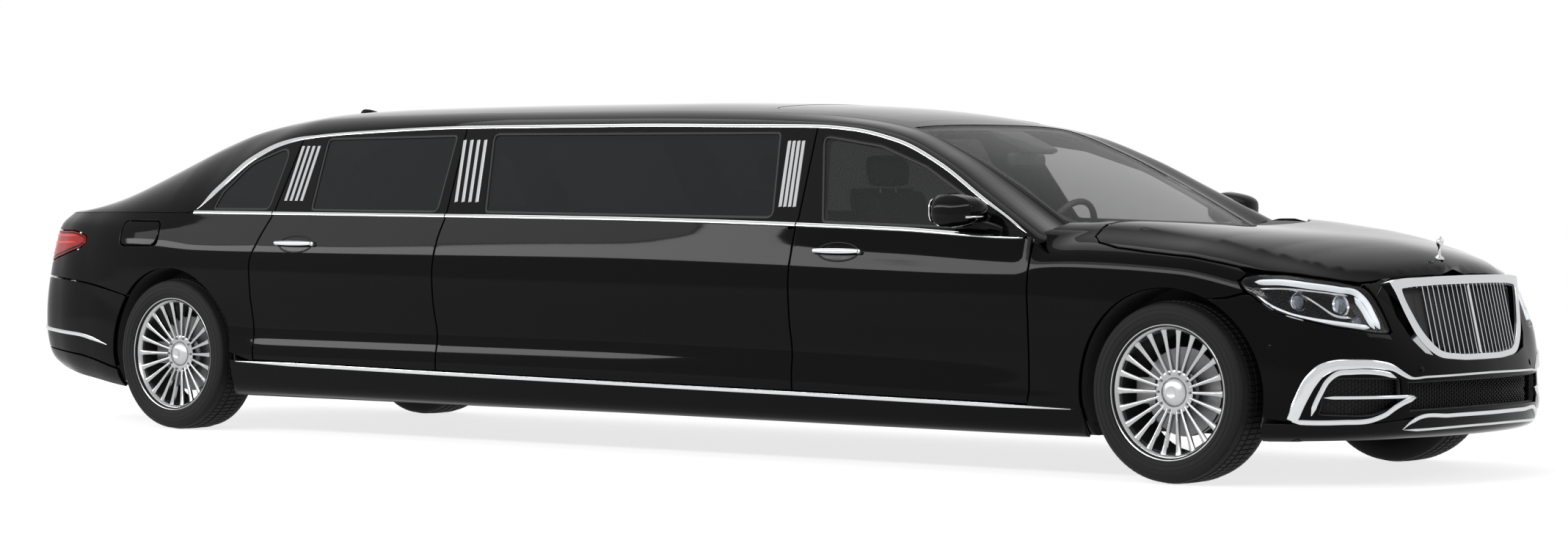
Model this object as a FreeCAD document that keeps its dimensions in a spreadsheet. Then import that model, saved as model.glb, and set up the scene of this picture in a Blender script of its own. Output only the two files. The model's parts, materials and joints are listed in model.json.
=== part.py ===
"""A stretch limousine: a long four-door saloon with a fixed window panel let in between its doors.

Frame: +X forward, +Y to the car's left, +Z up. The origin is on the ground, in the middle of the length
and width. All sizes are in millimetres. The driving dimensions stand in the spreadsheet, and every place is
worked out from them.
"""
import FreeCAD
import Part
import Sketcher
import math
import os
import re
from FreeCAD import Placement, Rotation, Vector

os.makedirs("parts", exist_ok=True)
doc = FreeCAD.newDocument("Limousine")
sheet = doc.addObject("Spreadsheet::Sheet", "Dimensions")

# alias, value, what it is
DIMENSIONS = [
    ("wheelbase", 5540, "front axle to rear axle"),
    ("front_overhang", 905, "front axle to nose"),
    ("rear_overhang", 1185, "rear axle to tail"),
    ("body_width", 1900, "widest point of the flanks"),
    ("roof_height", 1496, "ground to roof, centre line"),
    ("belt_height", 1000, "ground to the foot of the side windows"),
    ("belt_half", 895, "half width at the belt"),
    ("tumblehome", 0.50, "how far the side glass leans in for each unit of height"),
    ("tyre_radius", 350, "tyre, outer"),
    ("floor_height", "=tyre_radius - 180", "ground to underside"),
    ("floor_thick", 50, "floor pan, with its ribs and carpet"),
    ("crown_radius", "=3200 * (body_width / 1900) ^ 2", "cross curve of bonnet, roof, glass and boot lid"),
    ("skin_thick", 25, "wing, bumper and bonnet with its inner frame"),
    ("door_thick", 110, "door below the belt, skin to trim"),
    ("frame_thick", 50, "window frames and pillars"),
    ("roof_thick", 35, "roof with its headlining"),
    ("glass_thick", 6, "every window"),
    ("glass_inset", 8, "how far glass sits inside the skin"),
    ("shut_gap", 8, "between a moving panel and its neighbour"),
    ("rear_door_long", 1155, "rear door at the sill"),
    ("rear_door_start", 545, "rear axle to the back of the rear door"),
    ("front_door_long", 1195, "front door at the sill"),
    ("front_door_start", 640, "front door's leading edge behind the front axle"),
    ("hinge_back", 60, "door hinge pin behind the leading edge"),
    ("hinge_deep", 20, "door hinge pin inside the widest point"),
    ("hinge_pin_rad", 5, "door, bonnet and boot hinge pins"),
    ("pin_play", 0.3, "radial clearance on every hinge pin"),
    ("arch_radius", 408, "wheel arch opening"),
    ("tyre_width", 245, "tyre section"),
    ("rim_radius", "=tyre_radius - 88", "rim flange, outer"),
    ("rim_width", 226, "rim over its flanges"),
    ("spoke_count", 22, "wheel spokes"),
    ("track_half", 812, "centre line to wheel centre"),
    ("kingpin_half", 745, "centre line to the steering axis"),
    ("spindle_rad", 22, "wheel spindle"),
    ("bearing_play", 0.08, "radial running clearance of each wheel"),
    ("disc_radius", "=rim_radius - 82", "brake disc"),
    ("disc_thick", 30, "brake disc"),
    ("steer_wheel_rad", 187, "steering wheel, outer"),
    ("slat_count", 27, "upright bars of the grille"),
]
for row, (alias, value, note) in enumerate(DIMENSIONS, 1):
    sheet.set(f"A{row}", alias)
    sheet.set(f"B{row}", str(value))
    sheet.setAlias(f"B{row}", alias)
    sheet.set(f"C{row}", note)
doc.recompute()


def size(alias):
    return float(sheet.get(alias))


HALF = size("body_width") / 2
LONG = size("wheelbase") + size("front_overhang") + size("rear_overhang")
NOSE = LONG / 2
TAIL = -LONG / 2
FRONT_AXLE = NOSE - size("front_overhang")
REAR_AXLE = TAIL + size("rear_overhang")
BELT = size("belt_height")
BELT_HALF = HALF - (950 - size("belt_half"))
ROOF = size("roof_height")
FLOOR = size("floor_height")
FLOOR_TOP = FLOOR + size("floor_thick")
LEAN = size("tumblehome")
SKIN = size("skin_thick")
DOOR = size("door_thick")
FRAME = size("frame_thick")
GAP = size("shut_gap")
AXLE_HIGH = size("tyre_radius")
FAR = 2 * HALF + LONG  # longer than anything: cutters reach this far

# ---------------------------------------------------------------- outlines and prisms


def rounded(points, place):
    """A closed wire through (a, b) or (a, b, radius) points; place(a, b) gives the point in space."""
    count = len(points)
    flat = [(p[0], p[1]) for p in points]
    radii = [p[2] if len(p) > 2 else 0 for p in points]
    ends = []
    for i in range(count):
        ax, ay = flat[i - 1]
        bx, by = flat[i]
        cx, cy = flat[(i + 1) % count]
        back = math.hypot(ax - bx, ay - by)
        ahead = math.hypot(cx - bx, cy - by)
        ux, uy = (ax - bx) / back, (ay - by) / back
        vx, vy = (cx - bx) / ahead, (cy - by) / ahead
        turn = math.pi - math.acos(max(-1.0, min(1.0, ux * vx + uy * vy)))
        if radii[i] <= 0 or turn < 1e-4:
            ends.append(None)
            continue
        reach = min(radii[i] * math.tan(turn / 2), 0.48 * back, 0.48 * ahead)
        radius = reach / math.tan(turn / 2)
        mx, my = ux + vx, uy + vy
        length = math.hypot(mx, my)
        deep = radius / math.cos(turn / 2) - radius
        ends.append(((bx + ux * reach, by + uy * reach), (bx + mx / length * deep, by + my / length * deep),
                     (bx + vx * reach, by + vy * reach)))
    edges = []
    for i in range(count):
        j = (i + 1) % count
        if ends[i]:
            edges.append(Part.Arc(*[place(*p) for p in ends[i]]).toShape())
        start = ends[i][2] if ends[i] else flat[i]
        stop = ends[j][0] if ends[j] else flat[j]
        if math.hypot(start[0] - stop[0], start[1] - stop[1]) > 1e-6:
            edges.append(Part.LineSegment(place(*start), place(*stop)).toShape())
    return Part.Wire(edges)


def prism(points, plane, low, high):
    """The outline in a row plane, extruded along that plane's normal from low to high."""
    places = {
        "XZ": (lambda a, b: Vector(a, low, b), Vector(0, high - low, 0)),
        "YZ": (lambda a, b: Vector(low, a, b), Vector(high - low, 0, 0)),
        "XY": (lambda a, b: Vector(a, b, low), Vector(0, 0, high - low)),
    }
    place, along = places[plane]
    return Part.Face(rounded(points, place)).extrude(along)


def box(x0, x1, y0, y1, z0, z1):
    return Part.makeBox(x1 - x0, y1 - y0, z1 - z0, Vector(x0, y0, z0))


def rod(start, end, radius):
    along = end - start
    return Part.makeCylinder(radius, along.Length, start, along)


def mirrored(shape):
    return shape.mirror(Vector(0, 0, 0), Vector(0, 1, 0))


def both(shape):
    return Part.makeCompound([shape, mirrored(shape)])


def grown(points, by):
    """The outline with every side moved out by a distance. Corner radii grow with it."""
    count = len(points)
    area = sum(points[i - 1][0] * points[i][1] - points[i][0] * points[i - 1][1] for i in range(count))
    turn = 1 if area > 0 else -1
    lines = []
    for i in range(count):
        ax, ay = points[i][:2]
        bx, by_ = points[(i + 1) % count][:2]
        length = math.hypot(bx - ax, by_ - ay)
        nx, ny = turn * (by_ - ay) / length, -turn * (bx - ax) / length
        lines.append((nx, ny, nx * ax + ny * ay + by))
    result = []
    for i in range(count):
        n1x, n1y, c1 = lines[i - 1]
        n2x, n2y, c2 = lines[i]
        det = n1x * n2y - n1y * n2x
        x = (c1 * n2y - c2 * n1y) / det
        y = (n1x * c2 - n2x * c1) / det
        radius = points[i][2] if len(points[i]) > 2 else 0
        result.append((x, y, max(radius + by, 0) if radius else 0))
    return result


# ---------------------------------------------------------------- the outer form

SCREEN_FOOT = (FRONT_AXLE - 200, 990)
SCREEN_SLOPE = math.tan(math.radians(24))
REAR_GLASS_SLOPE = math.tan(math.radians(20.7))
ROOF_FRONT_X = SCREEN_FOOT[0] - (ROOF - SCREEN_FOOT[1]) / SCREEN_SLOPE
ROOF_REAR_X = REAR_AXLE + 300
CABIN_PATH = [
    (ROOF_REAR_X - (ROOF - 900) / REAR_GLASS_SLOPE, 900),
    (ROOF_REAR_X, ROOF, 2600),
    (ROOF_FRONT_X, ROOF, 3200),
    (SCREEN_FOOT[0] + 90 / SCREEN_SLOPE, SCREEN_FOOT[1] - 90),
]
BONNET_PATH = [
    (FRONT_AXLE - 760, 1052),
    (FRONT_AXLE + 360, 925, 2600),
    (NOSE + 60, 726),
]
BOOT_PATH = [
    (TAIL - 60, 1026),
    (REAR_AXLE + 300, 1248),
]


def swept_under(path, drop):
    """The space under a crowned surface that follows a path of (x, z) points with bend radii, tail to nose.

    The cross section is an arc of crown_radius, and drop lowers the surface along its normal. Straight
    stretches are prisms and bends are turned about a cross axis, so every face is a plane, a cylinder or
    a torus.
    """
    crown = size("crown_radius")
    wide = HALF + 150
    sag = crown - math.sqrt(crown * crown - wide * wide)

    def section(x, z, nx, nz, deep):
        def at(y, down):
            return Vector(x - nx * down, y, z - nz * down)

        top = Part.Arc(at(-wide, drop + sag), at(0, drop), at(wide, drop + sag)).toShape()
        sides = [
            Part.LineSegment(at(wide, drop + sag), at(wide, deep)).toShape(),
            Part.LineSegment(at(wide, deep), at(-wide, deep)).toShape(),
            Part.LineSegment(at(-wide, deep), at(-wide, drop + sag)).toShape(),
        ]
        return Part.Face(Part.Wire([top] + sides))

    pieces = []
    start = path[0][:2]
    for i in range(1, len(path)):
        corner = path[i][:2]
        length = math.hypot(corner[0] - start[0], corner[1] - start[1])
        ux, uz = (corner[0] - start[0]) / length, (corner[1] - start[1]) / length
        if i < len(path) - 1:
            after = path[i + 1]
            ahead = math.hypot(after[0] - corner[0], after[1] - corner[1])
            vx, vz = (after[0] - corner[0]) / ahead, (after[1] - corner[1]) / ahead
            turn = math.acos(max(-1.0, min(1.0, ux * vx + uz * vz)))
            radius = path[i][2]
            reach = radius * math.tan(turn / 2)
            stop = (corner[0] - ux * reach, corner[1] - uz * reach)
        else:
            stop = corner
        length = math.hypot(stop[0] - start[0], stop[1] - start[1])
        pieces.append(section(start[0], start[1], -uz, ux, 1300).extrude(Vector(ux * length, 0, uz * length)))
        if i < len(path) - 1:
            axis = Vector(stop[0] + uz * radius, 0, stop[1] - ux * radius)
            bend = section(stop[0], stop[1], -uz, ux, 1300)
            pieces.append(bend.revolve(axis, Vector(0, 1, 0), math.degrees(turn)))
            start = (corner[0] + vx * reach, corner[1] + vz * reach)
    return pieces[0].multiFuse(pieces[1:]) if len(pieces) > 1 else pieces[0]


def flank(drop):
    """Cross section of the whole body below the roof, extruded from tail to nose."""
    top = ROOF + 300
    half = [
        (0, FLOOR + drop),
        (HALF - 85 - drop, FLOOR + drop, 40),
        (HALF - 20 - drop, 285, 120),
        (HALF - 14 - drop, 440, 500),
        (HALF - drop, 775, 420),
        (BELT_HALF - drop, BELT, 260),
        (BELT_HALF - drop - LEAN * (top - BELT), top),
        (0, top),
    ]
    body = prism(half, "YZ", TAIL - 50, NOSE + 50)
    return body.fuse(mirrored(body)).removeSplitter()


def plan(drop):
    """Plan outline: the nose and tail corners."""
    nose, tail, wide = NOSE - drop, TAIL + drop, HALF - drop
    half = [
        (tail, 0),
        (tail + 45, 600, 900),
        (tail + 165, 835 - drop, 260),
        (tail + 760, wide, 1500),
        (nose - 780, wide, 1500),
        (nose - 245, 845 - drop, 380),
        (nose - 45, 500, 800),
        (nose, 0),
    ]
    other = [(p[0], -p[1]) + tuple(p[2:]) for p in reversed(half[1:-1])]
    return prism(half + other, "XY", 0, ROOF + 200)


def profile(drop):
    """Side outline: the underside, the nose and the tail."""
    nose, tail, low = NOSE - drop, TAIL + drop, FLOOR + drop
    points = [
        (tail + 90, 310 + drop, 40),
        (REAR_AXLE - 420, 200 + drop, 200),
        (REAR_AXLE - 200, low),
        (FRONT_AXLE + 300, low),
        (nose - 160, 185 + drop, 60),
        (nose - 20, 250 + drop, 60),
        (nose, 330, 60),
        (nose, 430, 60),
        (nose - 60, 510, 60),
        (nose - 210, 840),
        (nose - 210, ROOF + 200),
        (tail + 95, ROOF + 200),
        (tail + 85, 960, 60),
        (tail + 8, 680, 200),
        (tail, 560, 120),
        (tail + 18, 400, 60),
    ]
    return prism(points, "XZ", -FAR, FAR)


FORMS = {}


def form(drop):
    """The car's outer form as one solid, with every surface moved in by drop."""
    if drop not in FORMS:
        front = box(FRONT_AXLE - 750, NOSE + 50, -HALF, HALF, 0, ROOF).common(swept_under(BONNET_PATH, drop))
        back = box(TAIL - 50, REAR_AXLE + 200, -HALF, HALF, 0, ROOF).common(swept_under(BOOT_PATH, drop))
        middle = box(REAR_AXLE + 100, FRONT_AXLE - 700, -HALF, HALF, 0, 870)
        cabin = box(REAR_AXLE - 900, SCREEN_FOOT[0] + 100, -HALF, HALF, 700, ROOF + 50)
        whole = cabin.common(swept_under(CABIN_PATH, drop)).multiFuse([front, back, middle])
        FORMS[drop] = whole.common(flank(drop)).common(plan(drop)).common(profile(drop))
    return FORMS[drop]


# ---------------------------------------------------------------- outlines of the panels, seen from the side

DOOR_FOOT = 285
REAR_DOOR_BACK = REAR_AXLE + size("rear_door_start")
REAR_DOOR_FRONT = REAR_DOOR_BACK + size("rear_door_long")
FRONT_DOOR_FRONT = FRONT_AXLE - size("front_door_start")
FRONT_DOOR_BACK = FRONT_DOOR_FRONT - size("front_door_long")
TOP = ROOF - 112  # upper edge of the side frames
MITRE = 0.35  # how much shorter a door's trailing edge grows for each unit inwards
BACK_EDGE = [(10, DOOR_FOOT), (0, 400), (0, 770), (35, 870), (115, BELT - 10), (115, TOP)]
MIDDLE_BACK = [(0, DOOR_FOOT), (0, BELT - 120), (28, BELT), (-40, TOP)]
MIDDLE_FRONT = [(0, DOOR_FOOT), (0, BELT - 60), (12, BELT), (-55, TOP)]
PILLAR_LINE = [(-1100, TOP), (-960, 1366), (-792, 1322), (-551, 1232), (-278, 1092), (-16, 955)]


def skin_at(z):
    """Roughly how far out the flank stands at a height."""
    table = [(0, HALF - 85), (285, HALF - 20), (440, HALF - 12), (775, HALF - 4), (BELT, BELT_HALF)]
    for (za, ya), (zb, yb) in zip(table, table[1:]):
        if z <= zb:
            return ya + (yb - ya) * (z - za) / (zb - za)
    return BELT_HALF - LEAN * (z - BELT)


def side(points, slant=0.0):
    """A side view outline cut through the left side. A slant moves it forward for each unit inwards."""
    outer = HALF + 60
    sheared = [(p[0] - slant * (outer - skin_at(p[1])), p[1]) + tuple(p[2:]) for p in points]
    wire = rounded(sheared, lambda a, b: Vector(a, outer, b))
    return Part.Face(wire).extrude(Vector(slant * 560, -560, 0))


def line(base, table, shift=0.0):
    return [(base + dx + shift, z) for dx, z in table]


def ahead_of(edge, slant=0.0):
    """Everything ahead of an edge that runs from sill to roof."""
    low, high = edge[0], edge[-1]
    return side([(low[0], 0)] + edge + [(high[0], 2000), (NOSE + 500, 2000), (NOSE + 500, 0)], slant)


def behind(edge, slant=0.0):
    low, high = edge[0], edge[-1]
    behind_it = [(TAIL - 900, 0), (TAIL - 900, 2000), (high[0], 2000)]
    return side(behind_it + list(reversed(edge)) + [(low[0], 0)], slant)


LEFT = box(TAIL - 50, NOSE + 50, 0.5, HALF + 50, 0, ROOF + 50)
RISE = box(TAIL - 50, NOSE + 50, 0, HALF + 50, BELT - 75, ROOF + 50)
DEEP = box(TAIL - 50, NOSE + 50, HALF - DOOR - 70, HALF + 50, 0, BELT - 75)
outer_form = form(0)
thick_wall = outer_form.cut(form(DOOR)).common(LEFT).common(DEEP)
thin_wall = outer_form.cut(form(FRAME)).common(LEFT)
flank_wall = thick_wall.fuse(thin_wall.common(RISE))
skin_wall = outer_form.cut(form(SKIN))
roof_wall = outer_form.cut(form(size("roof_thick")))
pane_out = size("glass_inset")
pane_wall = form(pane_out).cut(form(pane_out + size("glass_thick")))


# ---------------------------------------------------------------- the document's objects

ALIASES = {alias for alias, _, _ in DIMENSIONS}
NODES = {}


def bound(text):
    """An expression over the sheet's own names."""
    return re.sub(r"[a-z][a-z0-9_]*", lambda m: "Dimensions." + m[0] if m[0] in ALIASES else m[0], text)


def keep(label, shape, joined=False):
    """A node made by cutting the outer form, one solid or several like ones."""
    item = doc.addObject("Part::Feature", label.title().replace("_", ""))
    item.Label = label
    solids = shape.Solids
    item.Shape = solids[0] if len(solids) == 1 else Part.makeCompound(solids)
    NODES[label] = item
    return item


def place(item, x="0", y="0", z="0"):
    for axis, text in zip("xyz", (x, y, z)):
        item.setExpression(f"Placement.Base.{axis}", bound(text))


def outline(body, plane, points):
    """A closed sketch whose corners are each held by two expressions."""
    sketch = body.newObject("Sketcher::SketchObject", "Outline")
    origin = next(o for o in body.Origin.OriginFeatures if o.Role == plane)
    sketch.AttachmentSupport = [(origin, "")]
    sketch.MapMode = "FlatFace"
    count = len(points)
    turns = [2 * math.pi * i / count for i in range(count)]
    ring = [(300 * math.cos(turn), 300 * math.sin(turn)) for turn in turns]
    for i in range(count):
        (ax, ay), (bx, by) = ring[i], ring[(i + 1) % count]
        sketch.addGeometry(Part.LineSegment(Vector(ax, ay, 0), Vector(bx, by, 0)))
    for i in range(count):
        sketch.addConstraint(Sketcher.Constraint("Coincident", i, 2, (i + 1) % count, 1))
    for i, pair in enumerate(points):
        for kind, text, value in zip(("DistanceX", "DistanceY"), pair, ring[i]):
            index = sketch.addConstraint(Sketcher.Constraint(kind, -1, 1, i, 1, value))
            sketch.setExpression(f"Constraints[{index}]", bound(text))
    return sketch


def turned(label, points, x="0", y="0", z="0"):
    """A body turned about its own Y axis from (radius, along) corners."""
    body = doc.addObject("PartDesign::Body", label.title().replace("_", ""))
    body.Label = label
    sketch = outline(body, "XY_Plane", points)
    turn = body.newObject("PartDesign::Revolution", "Turned")
    turn.Profile = sketch
    turn.ReferenceAxis = (sketch, ["V_Axis"])
    turn.Angle = 360
    body.Tip = turn
    place(body, x, y, z)
    NODES[label] = body
    return body


def padded(label, points, width, x="0", y="0", z="0"):
    """A body padded evenly to both sides of a side-view outline."""
    body = doc.addObject("PartDesign::Body", label.title().replace("_", ""))
    body.Label = label
    sketch = outline(body, "XZ_Plane", points)
    pad = body.newObject("PartDesign::Pad", "Padded")
    pad.Profile = sketch
    pad.Midplane = True
    pad.setExpression("Length", bound(width))
    body.Tip = pad
    place(body, x, y, z)
    NODES[label] = body
    return body


def solid(kind, name, sizes, x="0", y="0", z="0"):
    """One Part primitive whose sizes and place are expressions."""
    item = doc.addObject(f"Part::{kind}", name)
    for key, text in sizes.items():
        item.setExpression(key, bound(text))
    place(item, x, y, z)
    return item


def fused(label, items):
    """Primitives joined into one node."""
    item = doc.addObject("Part::MultiFuse", label.title().replace("_", ""))
    item.Shapes = items
    item.Label = label
    NODES[label] = item
    return item


def grouped(label, items):
    """Like pieces that don't touch, kept as one node."""
    item = doc.addObject("Part::Compound", label.title().replace("_", ""))
    item.Links = items
    item.Label = label
    NODES[label] = item
    return item

# ---------------------------------------------------------------- doors

rear_door_region = ahead_of(line(REAR_DOOR_BACK, BACK_EDGE), MITRE)
rear_door_region = rear_door_region.common(behind(line(REAR_DOOR_FRONT, MIDDLE_BACK)))
front_door_region = ahead_of(line(FRONT_DOOR_BACK, MIDDLE_FRONT), MITRE).common(
    side(
        [(FRONT_DOOR_BACK - 400, DOOR_FOOT), (FRONT_DOOR_FRONT, DOOR_FOOT), (FRONT_DOOR_FRONT, 925)]
        + [(FRONT_DOOR_FRONT + dx, z) for dx, z in reversed(PILLAR_LINE)]
        + [(FRONT_DOOR_BACK - 400, TOP)]
    )
)
rear_door_region = rear_door_region.common(box(TAIL, NOSE, 0, HALF + 60, DOOR_FOOT, TOP))

quarter_window = side(
    [
        (REAR_DOOR_BACK - 312, 1021, 20),
        (REAR_DOOR_BACK + 65, 1021, 30),
        (REAR_DOOR_BACK + 61, 1325, 60),
        (REAR_DOOR_BACK - 171, 1252, 200),
        (REAR_DOOR_BACK - 290, 1120, 60),
    ]
)
rear_door_window = side(
    [
        (REAR_DOOR_BACK + 332, 1019, 30),
        (REAR_DOOR_FRONT - 27, 1015, 30),
        (REAR_DOOR_FRONT - 72, 1358, 30),
        (REAR_DOOR_BACK + 271, 1352, 30),
    ]
)
middle_window = side(
    [
        (REAR_DOOR_FRONT + 256, 1015, 30),
        (FRONT_DOOR_BACK - 121, 1001, 30),
        (FRONT_DOOR_BACK - 231, 1358, 30),
        (REAR_DOOR_FRONT + 137, 1362, 30),
    ]
)
front_door_window = side(
    [
        (FRONT_DOOR_BACK + 140, 997, 30),
        (FRONT_DOOR_FRONT - 90, 975, 10),
        (FRONT_DOOR_FRONT - 333, 1095, 200),
        (FRONT_DOOR_FRONT - 616, 1227, 200),
        (FRONT_DOOR_FRONT - 873, 1318, 200),
        (FRONT_DOOR_BACK - 5, 1350, 30),
    ]
)

HINGE_Y = HALF - size("hinge_deep")
HINGE_LEVELS = [(500, "lower"), (740, "upper")]
ARM_HALF = 20  # half the height of a hinge arm
ARM_THICK = 12
ARM_IN = 64  # how far inboard of the pin the arm turns forward
PIN_RAD = size("hinge_pin_rad")
PIN_END = 22  # how far each pin end reaches into the door


def hinge_room(pin_x, edge_x):
    """What is cut from a door around its hinges: a pocket open to the front, and two bores a hinge."""
    rooms = []
    for level, _ in HINGE_LEVELS:
        high = ARM_HALF + 5
        rooms.append(box(pin_x - 16, edge_x + 30, HALF - DOOR - 60, HINGE_Y + 13, level - high, level + high))
        bore = PIN_RAD + size("pin_play")
        deep = high + PIN_END + 1
        rooms.append(Part.makeCylinder(bore, 2 * deep, Vector(pin_x, HINGE_Y, level - deep)))
    return rooms


def hinge_arms(pin_x, anchor_x):
    """The fixed halves: a pin, a knuckle round it, and an arm that goes inboard before it goes forward."""
    arms = []
    for level, _ in HINGE_LEVELS:
        pin_half = ARM_HALF + 5 + PIN_END
        pin = Part.makeCylinder(PIN_RAD, 2 * pin_half, Vector(pin_x, HINGE_Y, level - pin_half))
        knuckle = Part.makeCylinder(10, 2 * ARM_HALF, Vector(pin_x, HINGE_Y, level - ARM_HALF))
        half = ARM_THICK / 2
        inward = box(pin_x - half, pin_x + half, HINGE_Y - ARM_IN, HINGE_Y,
                     level - ARM_HALF, level + ARM_HALF)
        forward = box(pin_x - half, anchor_x, HINGE_Y - ARM_IN - half, HINGE_Y - ARM_IN + half,
                      level - ARM_HALF, level + ARM_HALF)
        arms.append(pin.multiFuse([knuckle, inward, forward]).removeSplitter())
    return arms


REAR_PIN_X = REAR_DOOR_FRONT - size("hinge_back")
FRONT_PIN_X = FRONT_DOOR_FRONT - size("hinge_back")
rear_door = flank_wall.common(rear_door_region).cut(rear_door_window)
rear_door = rear_door.cut(Part.makeCompound(hinge_room(REAR_PIN_X, REAR_DOOR_FRONT)))
front_door = flank_wall.common(front_door_region).cut(front_door_window)
front_door = front_door.cut(Part.makeCompound(hinge_room(FRONT_PIN_X, FRONT_DOOR_FRONT)))
rear_door_glass = pane_wall.common(rear_door_window)
front_door_glass = pane_wall.common(front_door_window)

for hand, turn in (("left", lambda s: s), ("right", mirrored)):
    keep(f"rear_door_{hand}", turn(rear_door))
    keep(f"rear_door_glass_{hand}", turn(rear_door_glass))
    keep(f"front_door_{hand}", turn(front_door))
    keep(f"front_door_glass_{hand}", turn(front_door_glass))

# ---------------------------------------------------------------- fixed side panels

middle_region = ahead_of(line(REAR_DOOR_FRONT, MIDDLE_BACK, GAP)).common(
    behind(line(FRONT_DOOR_BACK, MIDDLE_FRONT, -GAP), MITRE)
)
middle_region = middle_region.common(box(TAIL, NOSE, 0, HALF + 60, DOOR_FOOT - GAP, TOP + GAP))
middle_panel = flank_wall.common(middle_region).cut(middle_window)
keep("middle_panels", both(middle_panel))


# ---------------------------------------------------------------- bonnet, wings, roof, tail


def largest(shape):
    """The main solid of a cut, without the slivers beside it."""
    return max(shape.Solids, key=lambda piece: piece.Volume)


def plan_cut(half, low, high):
    """A plan outline given for its left half, cut straight down."""
    other = [(p[0], -p[1]) + tuple(p[2:]) for p in reversed(half)]
    return prism(half + other, "XY", low, high)


SCREEN_TOP = REAR_AXLE + 4060
ROOF_REAR = REAR_AXLE + 290
BONNET_NOSE = NOSE - 215
screen_region = plan_cut(
    [(FRONT_AXLE - 245, 360, 200), (FRONT_AXLE - 520, 735, 60), (SCREEN_TOP, 575, 60)], 800, ROOF + 50
)
rear_glass_region = plan_cut(
    [(REAR_AXLE - 760, 600, 90), (ROOF_REAR, 520, 90)], 800, ROOF + 50
)
BONNET = [(FRONT_AXLE - 165, 350, 300), (FRONT_AXLE - 430, 700), (FRONT_AXLE + 300, 668), (BONNET_NOSE, 560)]
bonnet_region = plan_cut(BONNET, 560, ROOF)
bonnet_room = plan_cut(grown(BONNET + [(BONNET_NOSE, -10), (FRONT_AXLE - 165, -10)], GAP)[:4], 560, ROOF)
BOOT_FRONT = REAR_AXLE - 776
boot_region = plan_cut([(BOOT_FRONT, 590, 40), (TAIL - 50, 560)], 690, ROOF)
boot_room = plan_cut([(BOOT_FRONT + 2 * GAP, 590 + GAP, 40), (TAIL - 50, 560 + GAP)], 690 - GAP, ROOF)

wells = Part.makeCompound(
    [
        Part.makeCylinder(size("arch_radius"), 600, Vector(x, y, AXLE_HIGH), Vector(0, 1, 0))
        for x in (FRONT_AXLE, REAR_AXLE)
        for y in (HALF - 470, -HALF - 130)
    ]
)
front_bumper_region = prism(
    [(FRONT_AXLE + 330, 0), (FRONT_AXLE + 330, 560), (FRONT_AXLE + 430, 620), (NOSE - 380, 690),
     (NOSE + 60, 640),
     (NOSE + 60, 0)], "XZ", -FAR, FAR
)
grille_outline = [(472, 806), (440, 640, 150), (330, 505, 120), (200, 470, 60)]


def front_cut(half, x0, x1):
    """A front view outline given for its left half from the top down, cut straight back."""
    other = [(-p[0], p[1]) + tuple(p[2:]) for p in reversed(half)]
    return prism(half + other, "YZ", x0, x1)


grille_region = front_cut(grille_outline, NOSE - 400, NOSE + 60)
lamp_region = prism(
    [(FRONT_AXLE + 245, 775, 10), (FRONT_AXLE + 330, 900), (NOSE + 20, 900), (NOSE + 20, 655),
     (FRONT_AXLE + 480, 655, 60)],
    "XZ", 478, HALF + 60
)
rear_bumper_region = prism(
    [(REAR_AXLE - 330, 0), (REAR_AXLE - 330, 540), (REAR_AXLE - 430, 640), (TAIL + 200, 682),
     (TAIL - 60, 682),
     (TAIL - 60, 0)], "XZ", -FAR, FAR
)
tail_lamp_region = prism(
    [(TAIL - 60, 735), (TAIL + 200, 790, 60), (TAIL + 330, 880, 10), (TAIL + 200, 935, 60), (TAIL - 60, 960)],
    "XZ", 575, HALF + 60
)
above_doors = [(-1100, TOP + GAP), (-955, 1366 + GAP), (-788, 1322 + GAP), (-547, 1232 + GAP),
               (-272, 1092 + GAP), (-6, 958)]
over_line = side(
    [(TAIL, TOP + GAP)] + [(FRONT_DOOR_FRONT + dx, z) for dx, z in above_doors]
    + [(FRONT_DOOR_FRONT + GAP, 940), (NOSE, 940), (NOSE, 2000), (TAIL, 2000)]
)
roof_line = [(TAIL, TOP + GAP)] + [(FRONT_DOOR_FRONT + dx, z) for dx, z in above_doors[:4]]
roof_line = roof_line + [(NOSE, 1210), (NOSE, 2000), (TAIL, 2000)]
over_both = prism(roof_line, "XZ", -HALF, HALF)
roof_box = box(ROOF_REAR, SCREEN_TOP, -HALF, HALF, BELT, ROOF + 50)
pillar_box = box(SCREEN_TOP, FRONT_AXLE - 470, 0, HALF, 940, ROOF + 50)

bonnet = skin_wall.common(bonnet_region)
roof = roof_wall.common(roof_box).common(over_both)
pillar = thin_wall.common(pillar_box).common(over_line).cut(screen_region)
wing_room = box(FRONT_DOOR_FRONT + GAP, NOSE - 205, 0, HALF + 50, DOOR_FOOT - GAP, ROOF)
wing = skin_wall.common(LEFT).common(wing_room)
wing = wing.cut(Part.makeCompound([bonnet_room, wells]))
wing = wing.cut(pillar_box).cut(screen_region).cut(front_bumper_region).cut(grille_region).cut(lamp_region)
cowl_region = box(FRONT_AXLE - 520, FRONT_AXLE - 100, -690, 690, 800, ROOF)
cowl = largest(skin_wall.common(cowl_region).cut(screen_region).cut(bonnet_room).cut(both(pillar_box)))
wing = largest(wing.cut(cowl_region))
lamp_wall = outer_form.cut(form(SKIN))
headlamp = lamp_wall.common(lamp_region).cut(bonnet_room).cut(front_bumper_region).cut(grille_region)
plate = outer_form.cut(form(size("floor_thick")))
plate = plate.common(box(TAIL + 300, NOSE - 400, -790, 790, 0, 420)).cut(wells)
front_bumper = largest(skin_wall.common(front_bumper_region).cut(grille_region).cut(wells).cut(plate))
grille_ring = skin_wall.common(grille_region).common(box(BONNET_NOSE + GAP, NOSE + 60, -HALF, HALF, 0, 806))
whole_outline = grille_outline + [(-p[0], p[1]) for p in reversed(grille_outline)]
inner = grown([(p[0], p[1], 40) for p in whole_outline], -30)
grille_ring = grille_ring.cut(prism(inner, "YZ", NOSE - 500, NOSE + 100))
slats = []
count = int(size("slat_count"))
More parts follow.
